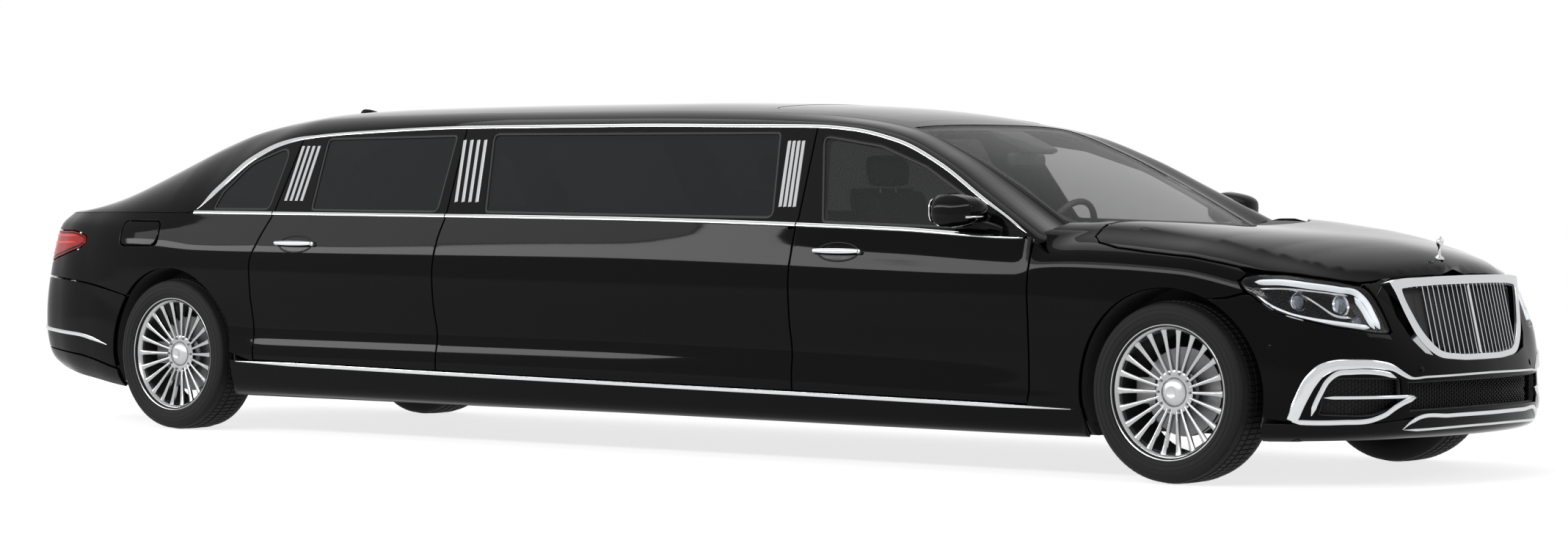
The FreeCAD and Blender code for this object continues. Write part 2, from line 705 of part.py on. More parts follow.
for i in range(count):
    y = -420 + 840 * (i + 0.5) / count
    slats.append(box(BONNET_NOSE + GAP, NOSE + 60, y - 4, y + 4, 400, 800))
bars = skin_wall.common(Part.makeCompound(slats)).common(prism(inner, "YZ", NOSE - 300, NOSE + 100))
grille = grille_ring.fuse(bars)

quarter_side = flank_wall.common(box(REAR_AXLE + 405, REAR_DOOR_BACK + 400, 0, HALF + 50, 0, ROOF))
quarter_back = skin_wall.common(box(TAIL - 50, REAR_AXLE + 405, 500, HALF + 50, 0, BELT - 75))
pillar_room = box(TAIL - 50, REAR_AXLE + 405, 500, HALF + 50, BELT - 75, ROOF + 50)
quarter_back = quarter_back.fuse(thin_wall.common(pillar_room))
quarter = quarter_side.common(behind(line(REAR_DOOR_BACK, BACK_EDGE, -GAP), MITRE)).fuse(quarter_back)
quarter = quarter.common(box(TAIL - 50, NOSE, 0, HALF + 50, DOOR_FOOT - GAP, ROOF + 50))
quarter = quarter.cut(quarter_window).cut(Part.makeCompound([boot_room, wells]))
quarter = quarter.cut(rear_glass_region).cut(rear_bumper_region).cut(tail_lamp_region)
quarter = largest(quarter.cut(roof_box.common(over_both)).cut(box(TAIL - 50, NOSE, 0, 500, 0, ROOF + 50)))
boot_lid = skin_wall.common(boot_region)
tail_lamp = skin_wall.common(tail_lamp_region).cut(boot_room)
rear_bumper = largest(skin_wall.common(rear_bumper_region).cut(wells).cut(plate))

keep("bonnet", bonnet)
keep("roof_panel", roof)
keep("windscreen_pillars", both(pillar))
keep("front_wings", both(wing))
keep("headlamps", both(headlamp))
keep("front_bumper", front_bumper)
keep("grille", grille)
keep("rear_quarters", both(quarter))
keep("boot_lid", boot_lid)
keep("tail_lamps", both(tail_lamp))
keep("rear_bumper", rear_bumper)
keep("windscreen", pane_wall.common(screen_region))
keep("rear_window", pane_wall.common(rear_glass_region))
keep("fixed_side_glass", both(pane_wall.common(quarter_window.fuse(middle_window))))

# ---------------------------------------------------------------- floor, liners and inner structure

sill_box = box(REAR_AXLE + 350, FRONT_AXLE - 350, 790, HALF + 50, 0, DOOR_FOOT - GAP)
floor = plate.multiFuse(both(outer_form.common(sill_box).cut(wells)).Solids)
keep("floor_pan", floor)

inside_skin = form(SKIN)
liners = []
for x in (FRONT_AXLE, REAR_AXLE):
    arch = size("arch_radius")
    ring = Part.makeCylinder(arch, 460, Vector(x, HALF - 470, AXLE_HIGH), Vector(0, 1, 0))
    ring = ring.cut(Part.makeCylinder(arch - 5, 454, Vector(x, HALF - 464, AXLE_HIGH), Vector(0, 1, 0)))
    ring = ring.cut(box(x - 300, x + 300, 0, HALF - 460, 0, AXLE_HIGH + 130))
    ring = ring.common(box(x - 500, x + 500, 0, HALF, FLOOR_TOP, ROOF)).common(inside_skin)
    liners.append(ring)
keep("wheel_arch_liners", both(Part.makeCompound(liners)))

post = box(FRONT_DOOR_FRONT + GAP, FRONT_DOOR_FRONT + GAP + 60, HALF - 160, HALF - 40, DOOR_FOOT - GAP, 900)
post = post.common(inside_skin)
firewall_room = box(FRONT_AXLE - 520, FRONT_AXLE - 500, -790, 790, FLOOR_TOP, 915).common(form(FRAME))
seat_wall = box(REAR_AXLE - 60, REAR_AXLE - 40, -455, 455, FLOOR_TOP + 215, 900).common(form(FRAME))
shelf = box(REAR_AXLE - 720, REAR_AXLE - 40, -790, 790, 880, 900).common(form(FRAME))
keep("hinge_posts", both(post))
keep("bulkheads", Part.makeCompound([firewall_room, seat_wall.fuse(shelf)]))

arms = hinge_arms(REAR_PIN_X, REAR_DOOR_FRONT + GAP) + hinge_arms(FRONT_PIN_X, FRONT_DOOR_FRONT + GAP)
keep("door_hinges", both(Part.makeCompound(arms)))

# ---------------------------------------------------------------- axles, wheels and steering

wheel_depth = "spindle_rad + bearing_play"
rim_points = [
    ("rim_radius - 32", "-rim_width / 2"),
    ("rim_radius", "-rim_width / 2"),
    ("rim_radius", "-rim_width / 2 + 10"),
    ("rim_radius - 14", "-rim_width / 2 + 10"),
    ("rim_radius - 14", "rim_width / 2 - 10"),
    ("rim_radius", "rim_width / 2 - 10"),
    ("rim_radius", "rim_width / 2"),
    ("rim_radius - 26", "rim_width / 2"),
    ("rim_radius - 40", "rim_width / 2 - 30"),
    ("70", "rim_width / 2 - 45"),
    ("45", "rim_width / 2 - 38"),
    ("0", "rim_width / 2 - 38"),
    ("0", "rim_width / 2 - 56"),
    (wheel_depth, "rim_width / 2 - 56"),
    (wheel_depth, "-disc_thick"),
    ("disc_radius", "-disc_thick"),
    ("disc_radius", "-2"),
    ("75", "-2"),
    ("75", "rim_width / 2 - 78"),
    ("rim_radius - 44", "rim_width / 2 - 64"),
    ("rim_radius - 26", "-rim_width / 2 + 12"),
]
tyre_points = [
    ("rim_radius - 14", "-rim_width / 2 + 10"),
    ("rim_radius", "-rim_width / 2 + 10"),
    ("rim_radius + 4", "-rim_width / 2 - 2"),
    ("rim_radius + 40", "-tyre_width / 2"),
    ("tyre_radius - 32", "-tyre_width / 2 + 4"),
    ("tyre_radius - 8", "-tyre_width / 2 + 18"),
    ("tyre_radius", "-tyre_width / 2 + 42"),
    ("tyre_radius", "tyre_width / 2 - 42"),
    ("tyre_radius - 8", "tyre_width / 2 - 18"),
    ("tyre_radius - 32", "tyre_width / 2 - 4"),
    ("rim_radius + 40", "tyre_width / 2"),
    ("rim_radius + 4", "rim_width / 2 + 2"),
    ("rim_radius", "rim_width / 2 - 10"),
    ("rim_radius - 14", "rim_width / 2 - 10"),
]
CORNERS = [
    # name, sign of y, axle place
    ("front_left", 1, "wheelbase + rear_overhang - (wheelbase + front_overhang + rear_overhang) / 2"),
    ("front_right", -1, "wheelbase + rear_overhang - (wheelbase + front_overhang + rear_overhang) / 2"),
    ("rear_left", 1, "rear_overhang - (wheelbase + front_overhang + rear_overhang) / 2"),
    ("rear_right", -1, "rear_overhang - (wheelbase + front_overhang + rear_overhang) / 2"),
]


def spoked(body):
    """Windows between the spokes of a wheel body."""
    sketch = body.newObject("Sketcher::SketchObject", "SpokeWindow")
    origin = next(o for o in body.Origin.OriginFeatures if o.Role == "XZ_Plane")
    sketch.AttachmentSupport = [(origin, "")]
    sketch.MapMode = "FlatFace"
    corners = [(90, -5), (218, -18), (218, 18), (90, 5)]
    for i in range(4):
        (ax, ay), (bx, by) = corners[i], corners[(i + 1) % 4]
        sketch.addGeometry(Part.LineSegment(Vector(ax, ay, 0), Vector(bx, by, 0)))
    for i in range(4):
        sketch.addConstraint(Sketcher.Constraint("Coincident", i, 2, (i + 1) % 4, 1))
    texts = [("90", "-5"), ("rim_radius - 46", "-(rim_radius - 46) * 3.1416 / spoke_count + 12"),
             ("rim_radius - 46", "(rim_radius - 46) * 3.1416 / spoke_count - 12"), ("90", "5")]
    for i, pair in enumerate(texts):
        for kind, text, value in zip(("DistanceX", "DistanceY"), pair, corners[i]):
            index = sketch.addConstraint(Sketcher.Constraint(kind, -1, 1, i, 1, value))
            sketch.setExpression(f"Constraints[{index}]", bound(text))
    doc.recompute()
    pocket = body.newObject("PartDesign::Pocket", "SpokeGap")
    pocket.Profile = sketch
    pocket.Type = "ThroughAll"
    pocket.Midplane = True
    body.Tip = pocket
    pattern = body.newObject("PartDesign::PolarPattern", "SpokeRing")
    pattern.Originals = [pocket]
    pattern.Axis = (sketch, ["N_Axis"])
    pattern.Angle = 360
    pattern.setExpression("Occurrences", bound("spoke_count"))
    body.Tip = pattern


for name, sign, axle in CORNERS:
    rim = turned(f"wheel_{name}", rim_points, axle, f"{sign} * track_half", "tyre_radius")
    spoked(rim)
    tyre = turned(f"tyre_{name}", tyre_points, axle, f"{sign} * track_half", "tyre_radius")
    if sign < 0:
        for body in (rim, tyre):
            body.Placement = Placement(body.Placement.Base, Rotation(Vector(0, 0, 1), 180))
doc.recompute()

SPINDLE_LONG = "track_half + rim_width / 2 - 59 - kingpin_half"
FRONT_X = CORNERS[0][2]
REAR_X = CORNERS[2][2]


def caliper_parts(name, x, sign):
    """The brake caliper behind the disc: two cheeks, a bridge beyond its rim and an arm to the upright."""
    rows = [
        # part, along x, x offset, along y, distance out of the wheel's middle, along z, z offset
        ("Outer", "85", "-disc_radius - 20", "12", "5", "100", "-50"),
        ("Inner", "85", "-disc_radius - 20", "16", "-disc_thick - 21", "100", "-50"),
        ("Bridge", "12", "-disc_radius - 20", "disc_thick + 36", "-disc_thick - 20", "100", "-50"),
        ("Bracket", "130", "-130", "14", "-disc_thick - 21", "40", "-20"),
    ]
    made = []
    for part, long, dx, wide, out, high, dz in rows:
        y = f"track_half + {out}" if sign > 0 else f"-track_half - ({out}) - ({wide})"
        sizes = {"Length": long, "Width": wide, "Height": high}
        made.append(solid("Box", name + part, sizes, f"{x} + {dx}", y, f"tyre_radius + {dz}"))
    return made


def lying(name, radius, length, x, y, z, sign=1):
    """A cylinder along Y, from y outwards to the given side."""
    item = solid("Cylinder", name, {"Radius": radius, "Height": length}, x, y, z)
    item.Placement = Placement(item.Placement.Base, Rotation(Vector(1, 0, 0), -90 * sign))
    return item


for hand, sign in (("left", 1), ("right", -1)):
    name = f"Knuckle{hand.title()}"
    upright = solid("Cylinder", name + "Upright", {"Radius": "30", "Height": "200"}, FRONT_X,
                    f"{sign} * kingpin_half", "tyre_radius - 100")
    spindle = lying(name + "Spindle", "spindle_rad", SPINDLE_LONG, FRONT_X, f"{sign} * kingpin_half",
                    "tyre_radius", sign)
    join = doc.addObject("Part::MultiFuse", name + "Body")
    join.Shapes = [upright, spindle] + caliper_parts(name, FRONT_X, sign)
    bore = solid("Cylinder", name + "Bore", {"Radius": "12 + bearing_play", "Height": "240"}, FRONT_X,
                 f"{sign} * kingpin_half", "tyre_radius - 120")
    knuckle = doc.addObject("Part::Cut", f"FrontKnuckle{hand.title()}")
    knuckle.Base = join
    knuckle.Tool = bore
    knuckle.Label = f"front_knuckle_{hand}"
    NODES[knuckle.Label] = knuckle

cross = [
    solid("Box", "Crossmember", {"Length": "140", "Width": "860", "Height": "42"}, f"{FRONT_X} - 70", "-430",
          "floor_height + floor_thick")
]
for hand, sign in (("Left", 1), ("Right", -1)):
    low = "0" if sign > 0 else "-kingpin_half - 15"
    inner_y = "430" if sign > 0 else "-kingpin_half - 15"
    lower = {"Length": "56", "Width": "kingpin_half - 415", "Height": "20"}
    cross.append(solid("Box", "LowerArm" + hand, lower, f"{FRONT_X} - 28", inner_y,
                       "floor_height + floor_thick + 4"))
    higher = {"Length": "56", "Width": "kingpin_half - 415", "Height": "18"}
    cross.append(solid("Box", "UpperArm" + hand, higher, f"{FRONT_X} - 28", inner_y, "tyre_radius + 104"))
    tower = {"Length": "120", "Width": "50", "Height": "260"}
    tower_y = "425" if sign > 0 else "-475"
    cross.append(solid("Box", "Tower" + hand, tower, f"{FRONT_X} - 60", tower_y, "floor_height + floor_thick"))
    cross.append(solid("Cylinder", "Kingpin" + hand, {"Radius": "12", "Height": "252"}, FRONT_X,
                       f"{sign} * kingpin_half", "floor_height + floor_thick + 4"))
fused("front_axle", cross)

beam = [lying("RearBeam", "34", "2 * kingpin_half", REAR_X, "-kingpin_half", "tyre_radius")]
drive = {"Length": "300", "Width": "320", "Height": "210"}
beam.append(solid("Box", "RearDrive", drive, f"{REAR_X} - 150", "-160",
                  "floor_height + floor_thick"))
for hand, sign in (("Left", 1), ("Right", -1)):
    beam.append(lying("RearSpindle" + hand, "spindle_rad", SPINDLE_LONG, REAR_X, f"{sign} * kingpin_half",
                      "tyre_radius", sign))
    beam += caliper_parts("Rear" + hand, REAR_X, sign)
fused("rear_axle", beam)

padded("engine_block", [("-340", "0"), ("340", "0"), ("340", "380"), ("200", "500"), ("-340", "500")], "560",
       f"{FRONT_X} - 20", "0", "floor_height + floor_thick + 42")
keep("radiator", box(NOSE - 450, NOSE - 410, -430, 430, 200, 700).common(form(size("floor_thick"))))

# ---------------------------------------------------------------- cabin

DASH_X = f"{FRONT_X} - 520"
dash = padded("dash_body", [("0", "560"), ("0", "880"), ("-120", "925"), ("-330", "905"), ("-430", "850"),
                            ("-400", "700"), ("-300", "560")], "1540", DASH_X)
del NODES["dash_body"]
COLUMN = Rotation(Vector(0, 1, 0), -66)
wheel_x = f"{FRONT_X} - 1360"
rim_parts = [
    solid("Torus", "SteerRim", {"Radius1": "steer_wheel_rad - 13", "Radius2": "13"}),
    solid("Cylinder", "SteerHub", {"Radius": "70", "Height": "46"}, z="-30"),
    solid("Box", "SteerBar", {"Length": "34", "Width": "2 * steer_wheel_rad - 20", "Height": "14"}, "-17",
          "-steer_wheel_rad + 10", "-20"),
    solid("Box", "SteerStem", {"Length": "steer_wheel_rad - 20", "Width": "34", "Height": "14"},
          "10", "-17", "-20"),
]
whole = doc.addObject("Part::MultiFuse", "SteerJoined")
whole.Shapes = rim_parts
hole = solid("Cylinder", "SteerBore", {"Radius": "10 + bearing_play", "Height": "32"}, z="-31")
steer = doc.addObject("Part::Cut", "SteeringWheel")
steer.Base = whole
steer.Tool = hole
steer.Label = "steering_wheel"
place(steer, wheel_x, "370", "900")
steer.Placement = Placement(steer.Placement.Base, COLUMN)
NODES["steering_wheel"] = steer
column = doc.addObject("Part::MultiFuse", "SteeringColumn")
column.Shapes = [
    solid("Cylinder", "Shaft", {"Radius": "10", "Height": "300"}, z="-300"),
    solid("Cylinder", "Shroud", {"Radius": "38", "Height": "480"}, z="-530"),
]
place(column, wheel_x, "370", "900")
column.Placement = Placement(column.Placement.Base, COLUMN)
fused("dashboard", [dash, column])

SEAT = [("0", "0"), ("0", "290"), ("-30", "315"), ("-470", "285"), ("-640", "850"), ("-655", "1030"),
        ("-720", "1060"),
        ("-760", "1000"), ("-740", "840"), ("-610", "240"), ("-560", "0")]


def seats(label, pairs, width, x):
    made = []
    for i, y in enumerate(pairs):
        padded(f"{label}_{i}", SEAT, width, x, y, "floor_height + floor_thick")
        made.append(NODES.pop(f"{label}_{i}"))
    grouped(label, made)


seats("front_seats", ["370", "-370"], "520", f"{FRONT_X} - 1640")
seats("rear_seats", ["235", "-235"], "440", f"{REAR_X} + 1060")

# ---------------------------------------------------------------- mirrors, ornament, flap, hinges of the lids

FRONT_EDGE = FRONT_DOOR_FRONT
for hand, sign in (("left", 1), ("right", -1)):
    stem = box(FRONT_EDGE - 125, FRONT_EDGE - 65, HALF - 100, HALF - 5, BELT - 50, BELT)
    head = prism(
        [(FRONT_EDGE - 150, HALF - 45, 20), (FRONT_EDGE - 45, HALF - 45, 50),
         (FRONT_EDGE - 70, HALF + 115, 40),
         (FRONT_EDGE - 150, HALF + 115, 10)], "XY", BELT - 15, BELT + 120
    )
    mirror = stem.fuse(head).cut(outer_form).removeSplitter()
    mirror = max(mirror.Solids, key=lambda s: s.Volume)
    keep(f"door_mirror_{hand}", mirror if sign > 0 else mirrored(mirror))

cone = Part.makeCone(15, 4, 110, Vector(NOSE - 262, 0, 800))
keep("bonnet_ornament", cone.cut(outer_form))

CAP_BACK = REAR_AXLE - 348
CAP_FRONT = REAR_AXLE - 84
CAP = [(CAP_BACK, 850, 25), (CAP_FRONT, 850, 25), (CAP_FRONT, 968, 25), (CAP_BACK, 968, 25)]
CAP_THICK = 9


def cap_skin(z):
    return HALF - 0.2444 * (z - 775)


flap = outer_form.cut(form(CAP_THICK)).common(side(CAP))
room = side(grown(CAP, 5))
depth = CAP_THICK / 2
tilt = Vector(0, -0.2444, 1)
tilt.normalize()
pins = []
bores = []
for z in (850, 968):
    out = 1 if z > 900 else -1
    middle = Vector(CAP_FRONT - 12, cap_skin(z) - depth, z)
    pins.append(Part.makeCylinder(2, 30, middle + tilt * (out * 15 - 15 - out * 14), tilt))
    bores.append(Part.makeCylinder(2.2, 32, middle + tilt * (out * 15 - 16 - out * 14), tilt))
flap = flap.cut(Part.makeCompound(bores))
cup = box(CAP_BACK - 12, CAP_FRONT + 12, 840, HALF, 838, 980).common(inside_skin)
cup = cup.cut(box(CAP_BACK - 7, CAP_FRONT + 7, 846, HALF, 843, 975))
left_quarter, right_quarter = quarter, mirrored(quarter)
right_quarter = right_quarter.cut(mirrored(room)).multiFuse([mirrored(cup)] + [mirrored(p) for p in pins])
NODES["rear_quarters"].Shape = Part.makeCompound([left_quarter.Solids[0], right_quarter.Solids[0]])
keep("fuel_flap", mirrored(flap))


def top_at(x, y):
    """Height of the outer surface above a point of the plan."""
    return outer_form.common(Part.makeLine(Vector(x, y, 500), Vector(x, y, ROOF + 50))).BoundBox.ZMax


LID_PIN = 4
BONNET_PIN_X = FRONT_AXLE - 400
BOOT_PIN_X = BOOT_FRONT - 60


def lid_pin(x, edge):
    """A pin across the gap beside a lid: its rod, and the bore it turns in."""
    z = top_at(x, edge + GAP / 2) - SKIN / 2 - 1
    rod = Part.makeCylinder(LID_PIN, 40 + GAP, Vector(x, edge - 20, z), Vector(0, 1, 0))
    bore = Part.makeCylinder(LID_PIN + size("pin_play"), 60, Vector(x, edge - 21, z), Vector(0, 1, 0))
    return rod, bore, z


bonnet_edge = 700 - 32 * (BONNET_PIN_X - (FRONT_AXLE - 430)) / 730
boot_edge = 590 - 30 * 60 / (BOOT_FRONT - TAIL + 50)
bonnet_rod, bonnet_bore, bonnet_pin_z = lid_pin(BONNET_PIN_X, bonnet_edge)
boot_rod, boot_bore, _ = lid_pin(BOOT_PIN_X, boot_edge)
# the bonnet's rear corners turn down past the cowl, which stands back from them
relief = Part.makeCylinder(45, 116, Vector(BONNET_PIN_X, 588, bonnet_pin_z), Vector(0, 1, 0))
keep("cowl_panel", largest(cowl.cut(both(relief))))
NODES["bonnet"].Shape = bonnet.cut(both(bonnet_bore))
NODES["boot_lid"].Shape = boot_lid.cut(both(boot_bore))
NODES["rear_quarters"].Shape = NODES["rear_quarters"].Shape.cut(both(boot_rod))
NODES["front_wings"].Shape = NODES["front_wings"].Shape.cut(both(relief.fuse(bonnet_rod)))
keep("lid_pins", both(Part.makeCompound([bonnet_rod, boot_rod])))

# ---------------------------------------------------------------- check and write

doc.recompute()
for item in doc.Objects:
    for word in ("Invalid", "Error"):
        if word in item.State:
            raise RuntimeError(f"{item.Label} is {item.State}")
for label, item in NODES.items():
    if item.Shape.isNull() or not item.Shape.isValid() or not item.Shape.Solids:
        raise RuntimeError(f"{label} has no valid solid")
    item.Shape.exportStep(f"parts/{label}.step")
    print(f"{label:26s} {len(item.Shape.Solids):3d} solids {item.Shape.Volume / 1e6:9.2f} litres")
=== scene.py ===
# %% [markdown]
# # A stretch limousine
# A long four-door saloon in black with bright trim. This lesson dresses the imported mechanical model, whose
# parts carry the joints, in finished bodywork: each cell says what a piece is on a real car and why it is
# made so. All lengths are metres: X forward, Y to the car's left, Z up, and the ground at zero.

# %% Load the frame
import json
import math

import bpy
import numpy as np
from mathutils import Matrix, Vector
from mathutils.geometry import delaunay_2d_cdt

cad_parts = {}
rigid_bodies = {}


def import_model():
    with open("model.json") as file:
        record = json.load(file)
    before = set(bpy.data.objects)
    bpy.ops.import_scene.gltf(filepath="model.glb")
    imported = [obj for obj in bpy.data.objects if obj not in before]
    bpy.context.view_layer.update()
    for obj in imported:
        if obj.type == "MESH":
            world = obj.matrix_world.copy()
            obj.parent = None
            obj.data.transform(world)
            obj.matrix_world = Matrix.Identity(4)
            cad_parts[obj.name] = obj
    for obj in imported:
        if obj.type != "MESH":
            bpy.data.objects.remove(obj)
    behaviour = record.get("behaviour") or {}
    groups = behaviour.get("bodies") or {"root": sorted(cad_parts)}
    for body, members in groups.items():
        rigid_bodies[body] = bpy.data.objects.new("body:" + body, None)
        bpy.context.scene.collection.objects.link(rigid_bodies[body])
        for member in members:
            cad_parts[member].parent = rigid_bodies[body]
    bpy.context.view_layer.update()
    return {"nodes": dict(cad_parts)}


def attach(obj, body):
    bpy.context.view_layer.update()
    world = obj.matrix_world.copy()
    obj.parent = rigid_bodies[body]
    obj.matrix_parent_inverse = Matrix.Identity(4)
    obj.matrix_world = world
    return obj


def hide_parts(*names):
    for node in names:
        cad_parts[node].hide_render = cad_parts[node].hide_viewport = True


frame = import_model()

# %% [markdown]
# The limousine's body is one long smooth surface that panels are cut from, as a real maker's body drawing
# is. It is written as formulas: a plan curve that runs round the car, and heights where the flank bulges,
# creases and tucks in. Every panel, strip and lamp asks these formulas for its points, so neighbours meet
# without a step.

# %% Curves through given values
def smooth(xs, ys, x):
    """A smooth curve through (xs, ys) that never swings past its own points."""
    xs, ys = np.asarray(xs, float), np.asarray(ys, float)
    step, rise = np.diff(xs), np.diff(ys) / np.diff(xs)
    slope = np.zeros_like(ys)
    same = rise[:-1] * rise[1:] > 0
    before, after = np.where(same, rise[:-1], 1), np.where(same, rise[1:], 1)
    lean = (2 * step[1:] + step[:-1]) / before + (step[1:] + 2 * step[:-1]) / after
    slope[1:-1] = np.where(same, 3 * (step[:-1] + step[1:]) / lean, 0)
    slope[0], slope[-1] = rise[0], rise[-1]
    x = np.clip(x, xs[0], xs[-1])
    k = np.clip(np.searchsorted(xs, x, side="right") - 1, 0, len(xs) - 2)
    return hermite(ys[k], slope[k] * step[k], ys[k + 1], slope[k + 1] * step[k], (x - xs[k]) / step[k])


def hermite(p0, m0, p1, m1, t):
    """From p0 to p1 with starting direction m0 and closing direction m1."""
    return (((2 * t - 3) * t * t + 1) * p0 + ((t - 2) * t + 1) * t * m0
            + (3 - 2 * t) * t * t * p1 + (t - 1) * t * t * m1)


def through(points, t, ends=None):
    """Points of a round curve through the given ones, for t from 0 to 1 along it."""
    p = np.array(points, float)
    far = np.concatenate([[0], np.cumsum(np.linalg.norm(np.diff(p, axis=0), axis=1))])
    gap = np.diff(far)[:, None]
    rise = np.diff(p, axis=0) / gap
    slope = np.zeros_like(p)
    slope[1:-1] = (rise[1:] * gap[:-1] + rise[:-1] * gap[1:]) / (gap[:-1] + gap[1:])
    slope[0], slope[-1] = (rise[0], rise[-1]) if ends is None else ends
    want = np.clip(np.asarray(t, float), 0, 1) * far[-1]
    k = np.clip(np.searchsorted(far, want, side="right") - 1, 0, len(gap) - 1)
    return hermite(p[k], slope[k] * gap[k], p[k + 1], slope[k + 1] * gap[k],
                   (want[:, None] - far[k][:, None]) / gap[k])


def paired(a, b):
    """Two numbers or lists as float arrays of the same length."""
    return np.broadcast_arrays(*[np.atleast_1d(np.asarray(part, float)) for part in (a, b)])


print("a smooth curve through 0, 1 and 4, read between them:", smooth([0, 1, 2], [0, 1, 4], [.5, 1.5]))

# %% [markdown]
# Seen from above, the body's edge is one curve from the middle of the tail to the middle of the nose.
# Places on it are told by its own length, s, so that a strip or a gap keeps its width round the corners.

# %% Plan curve of the flanks
# (x, y) of the widest outline on one side, from the middle of the tail to the middle of the nose
PLAN = [(-3.806, 0.0), (-3.800, 0.25), (-3.778, 0.50), (-3.725, 0.69), (-3.625, 0.815), (-3.45, 0.890),
        (-3.20, 0.928), (-2.90, 0.944), (-2.50, 0.948), (-1.5, 0.948), (0.0, 0.948), (1.5, 0.948),
        (2.4, 0.948), (2.80, 0.945), (3.05, 0.930), (3.28, 0.888), (3.46, 0.812), (3.59, 0.706),
        (3.685, 0.566), (3.75, 0.395), (3.787, 0.20), (3.80, 0.0)]
around = through(PLAN, np.linspace(0, 1, 6000), ends=((0, 1), (0, -1)))
girth = np.concatenate([[0], np.cumsum(np.hypot(*np.diff(around, axis=0).T))])
girth -= np.interp(0, around[:, 0], girth)
TAIL_S, NOSE_S = girth[0], girth[-1]
# the nose is pressed back to the car's real length; s stays the length along the unpressed curve
around[:, 0] -= .0185 * np.clip((around[:, 0] - 3.30) / .50, 0, 1) ** 2


def plan(s):
    """Plan point and outward normal at a distance s round the car; s is 0 amidships and grows forward."""
    x, y = np.interp(s, girth, around[:, 0]), np.interp(s, girth, around[:, 1])
    dx = np.interp(s + 0.01, girth, around[:, 0]) - np.interp(s - 0.01, girth, around[:, 0])
    dy = np.interp(s + 0.01, girth, around[:, 1]) - np.interp(s - 0.01, girth, around[:, 1])
    size = np.hypot(dx, dy)
    return x, y, -dy / size, dx / size


print("plan curve: half width at the middle", round(float(plan(0.0)[1]), 4))

# %% [markdown]
# Across the flank, v counts the lines of the side from the sill upwards. Each section along the car says
# how far in and how high every line is, and smooth curves join the sections.

# %% Flank sections
# s, then (inset from the plan curve, height) of nine lines: underside, sill, sill top, flare, crease,
# middle, shoulder, under the belt, upper edge
SECTIONS = [
    (-4.55, [(.100, .300), (.030, .345), (.006, .420), (.000, .530), (.006, .620), (.030, .720), (.066, .860),
             (.085, .955), (.120, 1.000)]),
    (-4.05, [(.100, .290), (.028, .340), (.006, .420), (.000, .530), (.006, .620), (.030, .720), (.062, .860),
             (.085, .955), (.125, .998)]),
    (-3.70, [(.100, .260), (.030, .320), (.006, .400), (.000, .520), (.006, .620), (.022, .720), (.050, .860),
             (.080, .950), (.135, 1.000)]),
    (-3.30, [(.090, .200), (.036, .270), (.010, .380), (.004, .500), (.006, .620), (.008, .740), (.022, .860),
             (.050, .945), (.105, 1.004)]),
    (-2.90, [(.080, .170), (.050, .200), (.020, .300), (.014, .400), (.012, .560), (.003, .700), (.003, .820),
             (.028, .930), (.062, 1.006)]),
    (-2.45, [(.080, .170), (.050, .195), (.020, .290), (.014, .380), (.020, .480), (.004, .680), (.002, .815),
             (.0235, .905), (.053, 1.005)]),
    (-2.00, [(.090, .172), (.055, .190), (.018, .300), (.014, .380), (.031, .460), (.008, .640), (.002, .808),
             (.0235, .900), (.053, 1.003)]),
    (0.00, [(.090, .167), (.055, .185), (.018, .295), (.014, .375), (.031, .455), (.008, .620), (.0025, .800),
            (.0225, .892), (.050, .992)]),
    (1.60, [(.090, .160), (.055, .178), (.018, .280), (.016, .360), (.022, .440), (.008, .600), (.002, .780),
            (.0220, .868), (.034, .960)]),
    (2.20, [(.090, .158), (.055, .176), (.018, .272), (.016, .350), (.016, .430), (.007, .600), (.001, .765),
            (.0185, .850), (.028, .934)]),
    (2.50, [(.080, .158), (.050, .178), (.018, .276), (.015, .360), (.012, .445), (.004, .610), (.001, .762),
            (.022, .862), (.200, .978)]),
    (2.95, [(.080, .160), (.040, .185), (.016, .280), (.010, .380), (.006, .480), (.002, .620), (.002, .740),
            (.024, .842), (.225, .940)]),
    (3.35, [(.080, .165), (.030, .195), (.010, .280), (.004, .380), (.002, .480), (.004, .580), (.012, .660),
            (.038, .768), (.222, .872)]),
    (3.75, [(.080, .170), (.020, .205), (.004, .280), (.002, .380), (.006, .470), (.020, .560), (.046, .640),
            (.090, .730), (.185, .818)]),
    (4.00, [(.080, .175), (.018, .205), (.002, .280), (.000, .380), (.014, .460), (.042, .550), (.080, .640),
            (.128, .730), (.172, .802)]),
    (4.30, [(.080, .175), (.018, .205), (.002, .280), (.000, .380), (.020, .460), (.050, .550), (.090, .640),
            (.138, .730), (.172, .800)]),
]
LINES = len(SECTIONS[0][1])
STATION = [row[0] for row in SECTIONS]
INSET = np.array([[p[0] for p in row[1]] for row in SECTIONS])
LEVEL = np.array([[p[1] for p in row[1]] for row in SECTIONS])
# middle line of the bonnet and of the boot deck: (s, x, z)
BONNET_LINE = [(2.20, 2.22, 1.000), (2.50, 2.53, .988), (2.95, 2.97, .960), (3.35, 3.29, .926),
               (3.75, 3.48, .885), (4.00, 3.56, .850), (4.30, 3.615, .812), (4.45, 3.625, .803)]


